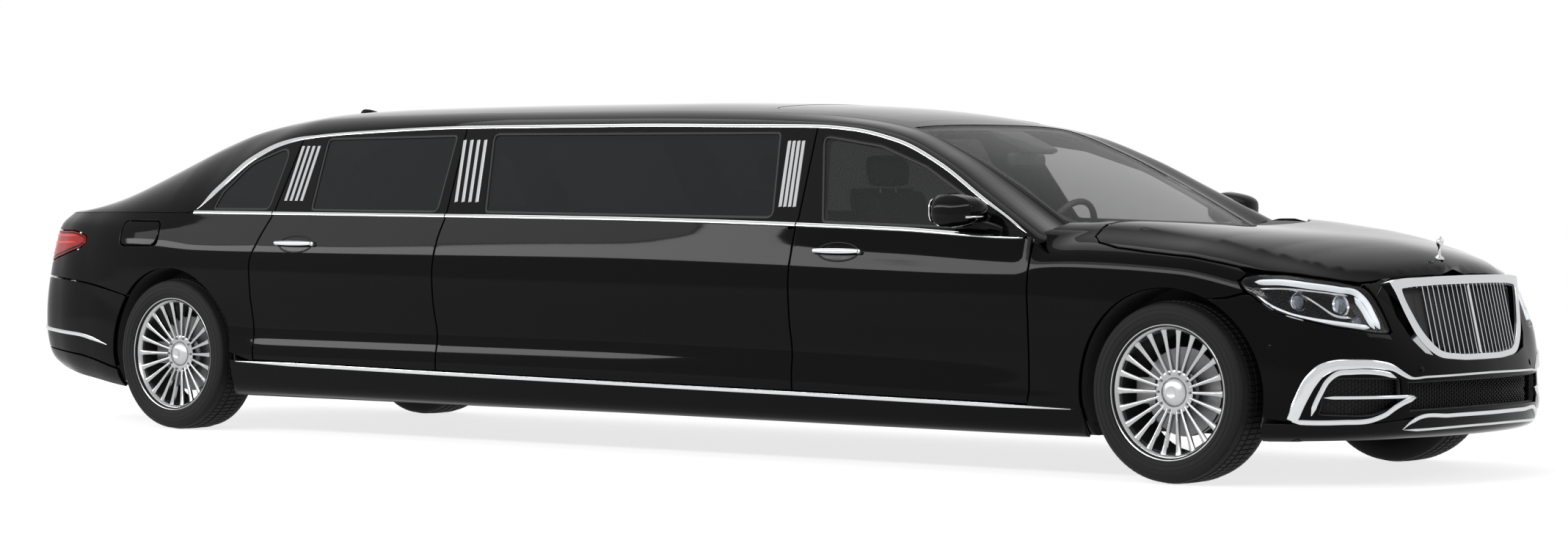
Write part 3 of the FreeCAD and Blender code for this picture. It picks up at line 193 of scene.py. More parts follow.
def flank(s, v, hand=-1):
    """The lower body: v counts the nine lines upwards from the underside, and 8 to 9 crosses the lid."""
    s, v = paired(s, v)
    inset = np.stack([smooth(STATION, INSET[:, i], s) for i in range(LINES)], -1)
    level = np.stack([smooth(STATION, LEVEL[:, i], s) for i in range(LINES)], -1)
    row, k = np.arange(len(s)), np.clip(v.astype(int), 0, LINES - 2)
    long = np.hypot(np.diff(inset, axis=1), np.diff(level, axis=1))

    def slope(f, j):
        m = np.clip(j, 1, LINES - 2)
        under, over = long[row, m - 1], long[row, m]
        low = (f[row, m] - f[row, m - 1]) / under
        high = (f[row, m + 1] - f[row, m]) / over
        mid = (low * over + high * under) / (under + over)
        first = (f[row, 1] - f[row, 0]) / long[row, 0]
        last = (f[row, -1] - f[row, -2]) / long[row, -1]
        return np.where(j == 0, first, np.where(j == LINES - 1, last, mid))

    def along(f):
        return hermite(f[row, k], long[row, k] * slope(f, k), f[row, k + 1],
                       long[row, k] * slope(f, k + 1), np.clip(v - k, 0, 1))

    x, y, nx, ny = plan(s)
    deep, z = along(inset), along(level)
    low = np.stack([x - nx * deep, y - ny * deep, z], -1)
    lid = v > LINES - 1
    if lid.any():
        edge = LINES - 1
        start = np.stack([x - nx * inset[:, edge], y - ny * inset[:, edge], level[:, edge]], -1)
        at_s, mid_x, mid_z = np.array(BONNET_LINE).T
        middle = np.stack([smooth(at_s, mid_x, s), np.zeros_like(s), smooth(at_s, mid_z, s)], -1)
        span = np.linalg.norm(middle - start, axis=1)[:, None]
        up = np.full(len(s), edge)
        rise = np.stack([-nx * slope(inset, up), -ny * slope(inset, up), 0.6 * slope(level, up)], -1)
        flat = np.array([0, -1.0, 0])
        over = hermite(start, 0.55 * rise * span, middle, flat * span, (v - edge)[:, None])
        low = np.where(lid[:, None], over, low)
    low[:, 1] *= hand
    return low


def on_flank(x, z):
    """(s, v) of the flank point that shows at (x, z) in a side view."""
    x, z = paired(x, z)
    s = np.interp(x, around[:, 0], girth)
    for _ in range(4):
        low, high = np.zeros_like(s), np.full_like(s, LINES - 1.0)
        for _ in range(22):
            v = (low + high) / 2
            under = flank(s, v)[:, 2] < z
            low, high = np.where(under, v, low), np.where(under, high, v)
        s = s + (x - flank(s, v)[:, 0])
    return np.stack([s, v], -1)


print("flank: line 5 at the middle of the car", flank([0.0], [5.0])[0].round(3))

# %% [markdown]
# Above the belt the side glass leans in, and roof, screens and boot deck are one crown between two edge
# curves. Glass, pillars and roof ask the same formulas, so they line up.

# %% Cabin and deck
# Above the belt every cross-section has three parts: flat side glass, a turned strip over it, and the crown
# that carries roof, windscreen, rear window and boot. At the tail the sections fan round with the plan
# curve.
LEAN = 0.53
BELT_Z = 1.0
# where the flat side ends and the turned strip starts: (x, z), tail to windscreen foot
FRAME_TOP = [(-2.56, 1.004), (-2.50, 1.020), (-2.40, 1.110), (-2.26, 1.240), (-2.10, 1.318),
             (-1.967, 1.345), (-1.58, 1.370), (-0.958, 1.387), (0.0, 1.388), (0.576, 1.382),
             (1.022, 1.376), (1.211, 1.363), (1.477, 1.313), (1.718, 1.223), (1.991, 1.083), (2.258, .948),
             (2.34, .905)]
# outer edge of boot, rear window, roof and windscreen: (s, y, z)
CROWN_EDGE = [(-4.50, .010, .998), (-4.20, .270, .998), (-3.95, .440, .998), (-3.75, .530, 1.000),
              (-3.55, .570, 1.010), (-3.40, .575, 1.034), (-3.22, .562, 1.096), (-3.00, .552, 1.181),
              (-2.80, .548, 1.256), (-2.62, .550, 1.318), (-2.42, .556, 1.372), (-2.20, .562, 1.408),
              (-1.97, .568, 1.434), (-1.58, .572, 1.446), (-0.958, .575, 1.452), (0.0, .575, 1.451),
              (0.55, .572, 1.444), (0.92, .566, 1.430), (1.20, .556, 1.405), (1.44, .552, 1.362),
              (1.70, .576, 1.265), (1.98, .615, 1.128), (2.24, .650, .985), (2.40, .668, .895)]
# middle line from tail to windscreen foot: (s, x, z)
CROWN_MIDDLE = [(-4.50, -3.690, .999), (-4.20, -3.680, 1.002), (-3.95, -3.660, 1.006),
                (-3.75, -3.610, 1.012), (-3.55, -3.510, 1.028), (-3.40, -3.385, 1.060),
                (-3.22, -3.21, 1.132), (-3.00, -2.995, 1.226), (-2.80, -2.80, 1.304),
                (-2.62, -2.62, 1.370), (-2.42, -2.42, 1.426), (-2.20, -2.20, 1.460), (-1.97, -1.97, 1.477),
                (-1.58, -1.58, 1.488), (-0.70, -0.70, 1.4945), (0.0, 0.0, 1.4945), (0.55, 0.55, 1.484),
                (0.92, 0.92, 1.466), (1.20, 1.20, 1.436), (1.44, 1.44, 1.386), (1.70, 1.70, 1.302),
                (1.98, 1.98, 1.198), (2.24, 2.24, 1.088), (2.45, 2.45, .990), (2.62, 2.62, .905)]


def crown_drop(u):
    """How far the crown has dropped, as a share, from the middle line at u 0 to its edge at u 1."""
    return 0.62 * u ** 2 + 0.38 * u ** 4


def side_y(z):
    """Half width of the side glass at a height."""
    return 0.895 - LEAN * (np.asarray(z) - 1)


def glass_side(x, z, hand=-1):
    """The flat that side glass and window frames lie on."""
    x, z = paired(x, z)
    return np.stack([x, side_y(z) * hand, z], -1)


def upper(s, t, hand=-1):
    """Cabin and deck: t is -1 at the belt, 0 over the glass, 1 at the crown's edge and 2 in the middle."""
    s, t = paired(s, t)
    rim = flank(np.minimum(s, -2.3), np.full_like(s, LINES - 1.0), 1)
    frame_z = smooth(*np.array(FRAME_TOP).T, s)
    ahead = np.clip((s + 2.62) / 0.12, 0, 1)[:, None]
    ahead = ahead * ahead * (3 - 2 * ahead)
    x = np.where(s > -2.4, s, rim[:, 0])
    foot = (1 - ahead) * rim + ahead * np.stack([x, side_y(frame_z), frame_z], -1)
    foot[:, 0] = x
    edge_s, edge_y, edge_z = np.array(CROWN_EDGE).T
    mid_s, mid_x, mid_z = np.array(CROWN_MIDDLE).T
    wide, edge = smooth(edge_s, edge_y, s), smooth(edge_s, edge_z, s)
    top_x, top_z = smooth(mid_s, mid_x, s), smooth(mid_s, mid_z, s)
    edge_x = np.where(s > -3.3, x, top_x + (x - top_x) * 0.72)
    top_x = np.where(s > -3.3, x, top_x)
    head = np.stack([edge_x, wide, edge], -1)
    close = np.stack([2 * (top_x - edge_x), -wide, 2.76 * (top_z - edge)], -1)
    close /= np.linalg.norm(close, axis=1)[:, None]
    tip = np.radians(np.interp(s, [-3.5, -2.7], [68, 28]))
    start = np.stack([np.zeros_like(s), -np.sin(tip), np.cos(tip)], -1)
    span = np.linalg.norm(head - foot, axis=1)[:, None]
    strip = hermite(foot, start * span * 0.85, head, close * span * 0.75, np.clip(t, 0, 1)[:, None])
    u = np.clip(2 - t, 0, 1)
    sheet = np.stack([top_x + (edge_x - top_x) * u ** 2, wide * u, top_z - (top_z - edge) * crown_drop(u)],
                     -1)
    belt = np.stack([x, np.full_like(x, side_y(BELT_Z)), np.full_like(x, BELT_Z)], -1)
    low = foot + (foot - belt) * np.minimum(t, 0)[:, None]
    out = np.where((t < 0)[:, None], low, np.where((t <= 1)[:, None], strip, sheet))
    out[:, 1] *= hand
    return out


def across(x, y):
    """The crown over a plan point, both sides: for roof, windscreen and rear window."""
    x, y = paired(x, y)
    edge_s, edge_y, edge_z = np.array(CROWN_EDGE).T
    mid_s, _, mid_z = np.array(CROWN_MIDDLE).T
    u = np.abs(y) / smooth(edge_s, edge_y, x)
    top = smooth(mid_s, mid_z, x)
    return np.stack([x, y, top - (top - smooth(edge_s, edge_z, x)) * crown_drop(u)], -1)


def wrap(s, v):
    """The flank carried on past nose and tail to the other side, for pieces that span the car."""
    s, v = paired(s, v)
    back = np.where(s > NOSE_S, 2 * NOSE_S - s, np.where(s < TAIL_S, 2 * TAIL_S - s, s))
    spot = flank(back, v, -1)
    spot[:, 1] *= np.where(back == s, 1, -1)
    return spot


def over_nose(x, y):
    """The bonnet surface over a plan point, found by stepping (s, v) until the flank point stands over it."""
    x, y = paired(x, y)
    far = np.abs(y)
    s, v = np.meshgrid(np.linspace(2.2, NOSE_S, 60), np.linspace(6.6, 9, 40))
    s, v = s.ravel(), v.ravel()
    known = flank(s, v, 1)
    near = np.array([np.argmin((known[:, 0] - a) ** 2 + (known[:, 1] - b) ** 2) for a, b in zip(x, far)])
    s, v, e = s[near], v[near], 1e-4
    for _ in range(12):
        here = flank(s, v, 1)
        ds = (flank(s + e, v, 1) - flank(s - e, v, 1)) / (2 * e)
        dv = (flank(s, v + e, 1) - flank(s, v - e, 1)) / (2 * e)
        ex, ey = x - here[:, 0], far - here[:, 1]
        det = ds[:, 0] * dv[:, 1] - ds[:, 1] * dv[:, 0]
        det = np.where(np.abs(det) < 1e-5, 1e-5, det)
        s = np.clip(s + np.clip((ex * dv[:, 1] - ey * dv[:, 0]) / det, -.2, .2), 2.0, NOSE_S)
        v = np.clip(v + np.clip((ey * ds[:, 0] - ex * ds[:, 1]) / det, -.5, .5), 6, 9)
    here = flank(s, v, 1)
    return np.stack([x, y, here[:, 2]], -1)


def deck(x, y):
    """The boot lid's top over a plan point."""
    x, y = paired(x, y)
    middle = smooth([-3.72, -3.66, -3.61, -3.51, -3.385], [.996, 1.005, 1.012, 1.028, 1.060], x)
    edge = smooth([-3.72, -3.60, -3.50, -3.385], [.992, 1.002, 1.012, 1.034], x)
    u = np.abs(y) / .575
    return np.stack([x, y, middle - (middle - edge) * crown_drop(u)], -1)


print("body: girth from", round(TAIL_S, 3), "to", round(NOSE_S, 3))

# %% [markdown]
# Painted steel panels are stamped sheets with folded edges, and light shows every flaw in them. Flat-sided
# boxes would look wrong at once, so a panel is cut out of the body formulas: its outline is laid on the
# surface, the inside is filled with small triangles, the rim is rolled over by a few millimetres, and walls
# run in to a back sheet. Every corner keeps the surface's own normal, which makes reflections flow across
# the triangles.

# %% A mesh in the making
class Making:
    """Points, faces and corner normals of one object, gathered shell by shell."""

    def __init__(self):
        self.points, self.faces, self.normals, self.finish, self.count = [], [], [], [], 0

    def add(self, points, faces, normals=None, sheet=0, finish=0, back=None):
        """The last faces, as many as sheet says, are a panel's inner sheet and get the finish called back."""
        inner = len(faces) - (0 if back is None else sheet)
        self.points.append(np.asarray(points, float))
        for i, face in enumerate(faces):
            self.faces.append([int(k) + self.count for k in face])
            self.finish.append(finish if i < inner else back)
            self.normals.extend([(0, 0, 0)] * len(face) if normals is None else normals[i])
        self.count += len(points)
        return self

    def build(self, name, finishes, body, stands_for=(), slot=None, sharp=32):
        mesh = bpy.data.meshes.new(name)
        mesh.from_pydata(np.concatenate(self.points).tolist(), [], self.faces)
        for one in finishes if isinstance(finishes, (list, tuple)) else [finishes]:
            mesh.materials.append(one)
        mesh.polygons.foreach_set("material_index", self.finish)
        mesh.polygons.foreach_set("use_smooth", [True] * len(self.faces))
        mesh.set_sharp_from_angle(angle=math.radians(sharp))
        if any(n[0] or n[1] or n[2] for n in self.normals):
            mesh.normals_split_custom_set([tuple(map(float, n)) for n in self.normals])
        made = bpy.data.objects.new(name, mesh)
        bpy.context.scene.collection.objects.link(made)
        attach(made, body)
        if stands_for:
            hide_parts(*stands_for)
        return made


print("pieces can be gathered")

# %% [markdown]
# A panel starts as a flat outline. Its corners are worked out from a few points with radii, because a real
# pressing has no sharp corner, and long sides are divided so that they can follow a curved surface.

# %% Outlines
def soften(points, fine=5):
    """A closed outline from (a, b) or (a, b, radius) corners, its corners rounded."""
    out, count = [], len(points)
    for i, p in enumerate(points):
        here = np.array(p[:2], float)
        if len(p) < 3:
            out.append(here)
            continue
        back = np.array(points[i - 1][:2], float) - here
        ahead = np.array(points[(i + 1) % count][:2], float) - here
        lb, la = np.linalg.norm(back), np.linalg.norm(ahead)
        half = math.acos(np.clip(back @ ahead / lb / la, -1, 1)) / 2
        reach = min(p[2] / math.tan(half), 0.48 * lb, 0.48 * la)
        a, b = here + back / lb * reach, here + ahead / la * reach
        for t in np.linspace(0, 1, fine):
            out.append((1 - t) ** 2 * a + 2 * t * (1 - t) * here + t * t * b)
    return np.array(out)


def oblong(low, high, radius, fine):
    """A rounded rectangle between two corners."""
    (a, b), (c, d) = low, high
    return soften([(a, b, radius), (c, b, radius), (c, d, radius), (a, d, radius)], fine)


def divide(points, gap, closed=True):
    """The outline with no stretch longer than gap."""
    p = np.array(points, float)
    out = []
    for a, b in zip(p, np.roll(p, -1, axis=0) if closed else p[1:]):
        parts = max(1, int(math.ceil(np.linalg.norm(b - a) / gap)))
        out += [a + (b - a) * k / parts for k in range(parts)]
    return np.array(out if closed else out + [p[-1]])


def inside(points, loops):
    """Which points lie inside the first loop and outside the others."""
    hits = np.zeros(len(points), int)
    for loop in loops:
        a, b = loop, np.roll(loop, -1, axis=0)
        x, y = points[:, :1], points[:, 1:]
        spans = (a[:, 1] > y) != (b[:, 1] > y)
        rise = np.where(b[:, 1] == a[:, 1], 1e-12, b[:, 1] - a[:, 1])
        hits += (spans & (x < a[:, 0] + (y - a[:, 1]) * (b[:, 0] - a[:, 0]) / rise)).sum(axis=1)
    return hits % 2 == 1


print("a softened square has", len(oblong((0, 0), (1, 1), .1, 4)), "points")

# %% [markdown]
# A panel is a sheet with a wall, a folded edge and holes. Its outline is filled with small triangles on the
# body surface, as a pressing is trimmed to its line, so its edge is exact where a grid would leave steps.

# %% Panels cut from a surface
def slopes(form, p, e=1e-4):
    """Both directions along a surface at its points p, and its unit normal."""
    da = (form(p[:, 0] + e, p[:, 1]) - form(p[:, 0] - e, p[:, 1])) / (2 * e)
    db = (form(p[:, 0], p[:, 1] + e) - form(p[:, 0], p[:, 1] - e)) / (2 * e)
    n = np.cross(da, db)
    return da, db, n / np.maximum(np.linalg.norm(n, axis=1), 1e-9)[:, None]


def plate(form, loops, step, deep, metric=(1, 1), roll=0.003, turn=1, slant=None, into=None):
    """A panel as (points, faces, normals, inner faces): loops lie on form; turn -1 faces the other way."""
    metric = np.array(metric, float)
    points, rims = [], []
    for number, loop in enumerate(loops):
        loop = np.array(loop, float)
        a = loop * metric
        loop = loop[np.linalg.norm(np.roll(a, -1, axis=0) - a, axis=1) > 2e-4]
        a = loop * metric
        area = np.sum(a[:, 0] * np.roll(a[:, 1], -1) - a[:, 1] * np.roll(a[:, 0], -1))
        if (area > 0) != (number == 0):
            loop = loop[::-1]
        spot = form(*loop.T)
        da, db, n = slopes(form, loop)
        n = n * turn
        run = np.roll(spot, -1, axis=0) - spot
        run /= np.maximum(np.linalg.norm(run, axis=1), 1e-9)[:, None]
        mean = run + np.roll(run, 1, axis=0)
        mean /= np.maximum(np.linalg.norm(mean, axis=1), 1e-9)[:, None]
        inner = np.cross(n, mean) * turn
        inner /= np.linalg.norm(inner, axis=1)[:, None]
        stretch = np.clip(1 / np.maximum(np.sum(mean * run, axis=1), 0.5), 1, 1.6)[:, None]
        round_by = np.broadcast_to(roll(loop) if callable(roll) else roll, len(loop))[:, None]
        move = inner * round_by * stretch
        aa, ab, bb = (np.sum(da * da, 1), np.sum(da * db, 1), np.sum(db * db, 1))
        ma, mb = np.sum(da * move, 1), np.sum(db * move, 1)
        det = aa * bb - ab * ab
        shift = np.stack([(bb * ma - ab * mb) / det, (aa * mb - ab * ma) / det], -1)
        points.append(loop + shift)
        rims.append((loop, spot, n, inner, move, round_by))
    flat = [p * metric for p in points]
    low, high = flat[0].min(0), flat[0].max(0)
    gx, gy = np.meshgrid(np.arange(low[0] + step / 2, high[0], step),
                         np.arange(low[1] + step / 2, high[1], step))
    gx[::2] += step / 2
    grid = np.stack([gx.ravel(), gy.ravel()], -1)
    grid = grid[inside(grid, flat)]
    edge = np.concatenate(flat)
    near = np.array([np.min(np.hypot(*(edge - g).T)) for g in grid]) if len(grid) else np.zeros(0)
    grid = grid[near > 0.35 * step]
    every = np.concatenate([edge, grid])
    lines, first = [], 0
    for loop in flat:
        count = len(loop)
        lines += [(first + k, first + (k + 1) % count) for k in range(count)]
        first += count
    got = delaunay_2d_cdt([Vector(p) for p in every], lines, [], 0, 1e-7)
    source = np.array([o[0] if o else -1 for o in got[3]])
    tri = source[np.array([f for f in got[2] if len(f) == 3])]
    tri = tri[(tri >= 0).all(axis=1)]
    tri = tri[inside(every[tri].mean(axis=1), flat)]
    ends = every[tri]
    area = np.cross(ends[:, 1] - ends[:, 0], ends[:, 2] - ends[:, 0])
    tri = tri[np.abs(area) > 1e-9]
    tri = np.where((area[np.abs(area) > 1e-9] * turn > 0)[:, None], tri, tri[:, ::-1])
    domain = every / metric
    outer = form(*domain.T)
    normal = slopes(form, domain)[2] * turn
    verts, faces, corners = [outer], [list(t) for t in tri], [normal[t] for t in tri]
    count = len(outer)
    inner_points = outer - normal * deep
    if into is not None:
        inner_points = outer + np.array(into) * deep
    first = 0
    inner_rim = {}
    for loop, spot, n, inner, move, round_by in rims:
        size = len(loop)
        centre = spot + move - n * round_by
        rings = [np.arange(first, first + size)]
        shades = [n]
        for angle in (30, 60, 90):
            c, s = math.cos(math.radians(angle)), math.sin(math.radians(angle))
            verts.append(centre + n * round_by * c - move * s)
            rings.append(np.arange(count, count + size))
            shades.append(n * c - inner * s)
            count += size
        bottom = spot - n * deep if into is None else spot + np.array(into) * deep
        inner_points[first:first + size] = bottom
        first += size
        inner_rim[id(loop)] = (rings, shades, -inner)
    if slant is not None:
        inner_points = inner_points + slant(domain)
    verts.append(inner_points)
    first = 0
    for loop, spot, n, inner, move, round_by in rims:
        rings, shades, wall = inner_rim[id(loop)]
        size = len(loop)
        rings = rings + [np.arange(count + first, count + first + size)]
        for r in range(len(rings) - 1):
            a, b = rings[r], rings[r + 1]
            na, nb = (shades[r], shades[r + 1]) if r < 3 else (wall, wall)
            for k in range(size):
                j = (k + 1) % size
                quad = [a[k], b[k], b[j], a[j]]
                shade = [na[k], nb[k], nb[j], na[j]]
                if turn < 0:
                    quad, shade = quad[::-1], shade[::-1]
                faces.append(quad)
                corners.append(shade)
        first += size
    for t in tri:
        faces.append([k + count for k in t[::-1]])
        corners.append([-normal[k] for k in t[::-1]])
    return np.concatenate(verts), faces, corners, len(tri)


print("panels can be cut")

# %% [markdown]
# What isn't a panel is swept, lofted or turned: a section is carried along a path, rings are joined by
# faces, or a profile is spun round an axis.

# %% Strips, tubes and turned parts
def sweep(path, out, shape, closed=False, size=None):
    """A closed section of (across, outward) pairs carried along a path whose outward direction is given."""
    path, out = np.asarray(path, float), np.asarray(out, float)
    run = np.roll(path, -1, axis=0) - np.roll(path, 1, axis=0)
    if not closed:
        run[0], run[-1] = path[1] - path[0], path[-1] - path[-2]
    run /= np.linalg.norm(run, axis=1)[:, None]
    across = np.cross(out, run)
    across /= np.linalg.norm(across, axis=1)[:, None]
    out = np.cross(run, across)
    shape = np.asarray(shape, float)
    size = np.ones((len(path), 2)) if size is None else np.asarray(size, float)
    points = (path[:, None] + across[:, None] * (shape[None, :, :1] * size[:, None, :1])
              + out[:, None] * (shape[None, :, 1:] * size[:, None, 1:]))
    rows, cols = points.shape[:2]
    faces = []
    for i in range(rows if closed else rows - 1):
        for j in range(cols):
            a, b = i, (i + 1) % rows
            k = (j + 1) % cols
            faces.append([a * cols + j, b * cols + j, b * cols + k, a * cols + k])
    if not closed:
        faces += [list(range(cols)), [(rows - 1) * cols + k for k in reversed(range(cols))]]
    points = points.reshape(-1, 3)
    return right_way(points, faces)


def right_way(points, faces):
    """The faces turned so that the closed shell's volume is positive."""
    volume = 0
    for f in faces:
        for k in range(1, len(f) - 1):
            volume += np.dot(points[f[0]], np.cross(points[f[k]], points[f[k + 1]]))
    return points, (faces if volume > 0 else [list(f)[::-1] for f in faces])


def loft(rings):
    """Faces over rings of equal length, with flat ends."""
    count, last = len(rings[0]), (len(rings) - 1) * len(rings[0])
    points = np.concatenate([np.asarray(ring, float) for ring in rings])
    faces = [[first + k, first + count + k, first + count + (k + 1) % count, first + (k + 1) % count]
             for first in range(0, last, count) for k in range(count)]
    faces += [list(range(count)), list(range(last, last + count))[::-1]]
    return right_way(points, faces)


def slab(outline, layers, put):
    """A block made of one outline in layers of (depth, growth); put(a, b, depth) gives the point."""
    return loft([[put(a, b, deep) for a, b in grow(outline, by)] for deep, by in layers])


def oval(wide, high, count=12):
    """A round or oval cross-section."""
    turn = np.linspace(0, 2 * math.pi, count, endpoint=False)
    return np.stack([wide * np.cos(turn), high * np.sin(turn)], -1)


def bar_shape(wide, high, sink=0.002):
    """The section of a bright strip: soft shoulders on top, sunk a little into what it lies on."""
    return [(-wide, -sink), (-wide, high * 0.35), (-wide * 0.86, high * 0.78), (-wide * 0.55, high * 0.97),
            (0, high), (wide * 0.55, high * 0.97), (wide * 0.86, high * 0.78), (wide, high * 0.35),
            (wide, -sink)]


def lathe(profile, centre, axis=(0, 1, 0), count=64):
    """(radius, along) pairs turned round an axis; the profile is closed or touches the axis at both ends."""
    axis = np.array(axis, float) / np.linalg.norm(axis)
    u = np.cross(axis, (0, 0, 1.0)) if abs(axis[2]) < 0.9 else np.cross(axis, (1.0, 0, 0))
    u /= np.linalg.norm(u)
    w = np.cross(axis, u)
    rings = []
    points = []
    for radius, along in profile:
        if abs(radius) < 1e-9:
            rings.append([len(points)] * count)
            points.append(np.array(centre) + axis * along)
        else:
            rings.append(list(range(len(points), len(points) + count)))
            for k in range(count):
                a = 2 * math.pi * k / count
                points.append(np.array(centre) + axis * along + radius * (math.cos(a) * u + math.sin(a) * w))
    loop = abs(profile[0][0]) > 1e-9
    faces = []
    for r in range(len(rings) if loop else len(rings) - 1):
        a, b = rings[r], rings[(r + 1) % len(rings)]
        for k in range(count):
            j = (k + 1) % count
            quad = [a[k], b[k], b[j], a[j]]
            face = [q for i, q in enumerate(quad) if q not in quad[:i]]
            if len(face) > 2:
                faces.append(face)
    return right_way(np.array(points), faces)


print("a turned disc has", len(lathe([(0, 0), (1, 0), (1, 1), (0, 1)], (0, 0, 0), (0, 0, 1), 12)[1]), "faces")

# %% [markdown]
# Outlines on the body are given in (s, v), where a step of s is a metre and a step of v is one line of the
# flank. METRIC turns both into near metres, so that points can be spread evenly and an outline can grow by
# a true width.

# %% Outline helpers
# s runs in metres and v counts lines about a tenth of a metre apart, so outlines are measured after this
# scaling
METRIC = (1, .1)


def even(loop, gap=.03):
    """The closed (s, v) outline with no stretch longer than gap."""
    return divide(loop * METRIC, gap) / METRIC


def curve(points, count):
    """A round run of (s, v) points through the given ones."""
    return through(np.array(points) * METRIC, np.linspace(0, 1, count)) / METRIC


def beyond(points, end):
    """The same (s, v) points on the other side of the car, in turned order; end is NOSE_S or TAIL_S."""
    p = np.array(points, float)[::-1].copy()
    p[:, 0] = 2 * end - p[:, 0]
    return p


def spanning(points, end):
    """Points of one side that close at the middle of nose or tail, followed by their mirror beyond it."""
    p, q = np.array(points, float), beyond(points, end)
    return np.concatenate([p, q[1:] if abs(p[-1, 0] - end) < 1e-6 else q])


def squarish(count, power):
    """(across, up) pairs round a circle that is pulled out towards a square by a power under 1."""
    pairs = [(math.cos(a), math.sin(a)) for a in np.linspace(0, 2 * math.pi, count, endpoint=False)]
    return [tuple(math.copysign(abs(part) ** power, part) for part in pair) for pair in pairs]


def grow(loop, by):
    """The closed outline moved outwards by a distance, or inwards if by is negative."""
    p = np.asarray(loop, float)
    area = np.sum(p[:, 0] * np.roll(p[:, 1], -1) - p[:, 1] * np.roll(p[:, 0], -1))
    run = np.roll(p, -1, axis=0) - p
    run /= np.linalg.norm(run, axis=1)[:, None]
    side = np.stack([run[:, 1], -run[:, 0]], -1) * (1 if area > 0 else -1)
    mean = side + np.roll(side, 1, axis=0)
    mean /= np.linalg.norm(mean, axis=1)[:, None]
    return p + mean * by / np.maximum(np.sum(mean * side, axis=1), 0.4)[:, None]


def widen(loop, by):
    """The closed (s, v) outline moved outwards by a distance in metres."""
    return grow(loop * METRIC, by) / METRIC


def line(form, a, b, e=1e-4):
    """Points on a surface along matching parameters, with its unit normals."""
    p = np.stack(np.broadcast_arrays(np.asarray(a, float), np.asarray(b, float)), -1)
    return form(*p.T), slopes(form, p, e)[2]


def sunk(form, by, turn=1):
    """A copy of a surface moved in along its own normal."""
    def lower(a, b):
        p = np.stack(paired(a, b), -1)
        return form(*p.T) - slopes(form, p, 1e-4)[2] * by * turn
    return lower


def strip(form, a, b, wide, high, turn=1, closed=False, taper=0, sink=0.002, steps=None):
    """A bright strip laid on a surface along (a, b), thinner at its ends where taper is given."""
    path, out = line(form, a, b)
    far = np.concatenate([[0], np.cumsum(np.linalg.norm(np.diff(path, axis=0), axis=1))])
    size = np.ones((len(path), 2))
    if taper:
        close = np.minimum(far, far[-1] - far)
        size = np.repeat(np.clip(0.12 + 0.88 * close / taper, 0.12, 1)[:, None], 2, axis=1)
    if steps is not None:
        steps = np.asarray(steps, float)
        size = size * (steps if steps.ndim == 2 else steps[:, None])
    return sweep(path, out * turn, bar_shape(wide, high, sink), closed, size)


print("helpers ready")

# %% [markdown]
# Finishes are node materials. None is one flat colour: paint has a trace of orange peel, bright trim and
# alloy have fine brushing, rubber and leather have grain. All patterns read Object coordinates, so they
# stay put when parts move.

# %% A material maker
def finish(name, colour, rough=0.3, metal=0.0, vary=0.06, grain=60.0, rough_vary=0.05, bump=0.0, depth=0.0005,
           stretch=(1, 1, 1), kind="NOISE_TEXTURE", **sockets):
    """Principled shader whose colour and roughness drift with a noise, and with a fine bump if asked."""
    made = bpy.data.materials.new(name)
    made.use_nodes = True
    made.diffuse_color = (*colour, 1)
    tree = made.node_tree
    nodes, link = tree.nodes, tree.links.new
    shader = nodes["Principled BSDF"]
    where = nodes.new("ShaderNodeTexCoord")
    place = nodes.new("ShaderNodeMapping")
    place.inputs["Scale"].default_value = stretch
    link(where.outputs["Object"], place.inputs["Vector"])
    drift = nodes.new("ShaderNodeTexNoise")
    drift.inputs["Scale"].default_value = grain
    drift.inputs["Detail"].default_value = 3
    link(place.outputs["Vector"], drift.inputs["Vector"])
    tones = nodes.new("ShaderNodeMix")
    tones.data_type = "RGBA"
    tones.inputs["A"].default_value = (*[c * (1 - vary) for c in colour], 1)
    tones.inputs["B"].default_value = (*[min(1, c * (1 + vary)) for c in colour], 1)
    link(drift.outputs["Fac"], tones.inputs["Factor"])
    link(tones.outputs["Result"], shader.inputs["Base Color"])
    shine = nodes.new("ShaderNodeMapRange")
    shine.inputs["To Min"].default_value = max(0, rough - rough_vary)
    shine.inputs["To Max"].default_value = rough + rough_vary
    link(drift.outputs["Fac"], shine.inputs["Value"])
    link(shine.outputs["Result"], shader.inputs["Roughness"])
    shader.inputs["Metallic"].default_value = metal
    for key, value in sockets.items():
        shader.inputs[key.replace("_", " ")].default_value = value
    if bump:
        relief = nodes.new("ShaderNodeBump")
        relief.inputs["Strength"].default_value = bump
        relief.inputs["Distance"].default_value = depth
        grainy = drift
        if kind == "VORONOI":
            grainy = nodes.new("ShaderNodeTexVoronoi")
            grainy.inputs["Scale"].default_value = grain
            link(place.outputs["Vector"], grainy.inputs["Vector"])
        link(grainy.outputs[0], relief.inputs["Height"])
        link(relief.outputs["Normal"], shader.inputs["Normal"])
    return made


print("finishes can be made")

# %% [markdown]
# These are the car's own finishes, from its paint to the hide of the seats. Black paint isn't quite zero,
# because no real surface is.

# %% The car's finishes
PAINT = finish("black_paint", (.0018, .0018, .0020), rough=.04, vary=.25, grain=2500, rough_vary=.012,
               IOR=1.165)
BRIGHT = finish("bright_trim", (.60, .61, .62), rough=.09, metal=1, grain=300, rough_vary=.03)
GLOSS = finish("gloss_black_trim", (.0025, .0025, .0028), rough=.07, vary=.2, grain=400, rough_vary=.02,
               IOR=1.20)
MATT = finish("moulded_plastic", (.022, .022, .023), rough=.6, vary=.15, grain=900, rough_vary=.08, bump=.25)
SEAL = finish("rubber_seal", (.012, .012, .012), rough=.75, vary=.15, grain=500, bump=.1)
TINT = finish("privacy_glass", (.005, .006, .007), rough=0, vary=.2, grain=3, rough_vary=.001, IOR=1.30,
              Alpha=.80)
TINT_FRONT = finish("tinted_glass", (.006, .007, .008), rough=0, vary=.2, grain=3, rough_vary=.001,
                    IOR=1.45, Alpha=.42)
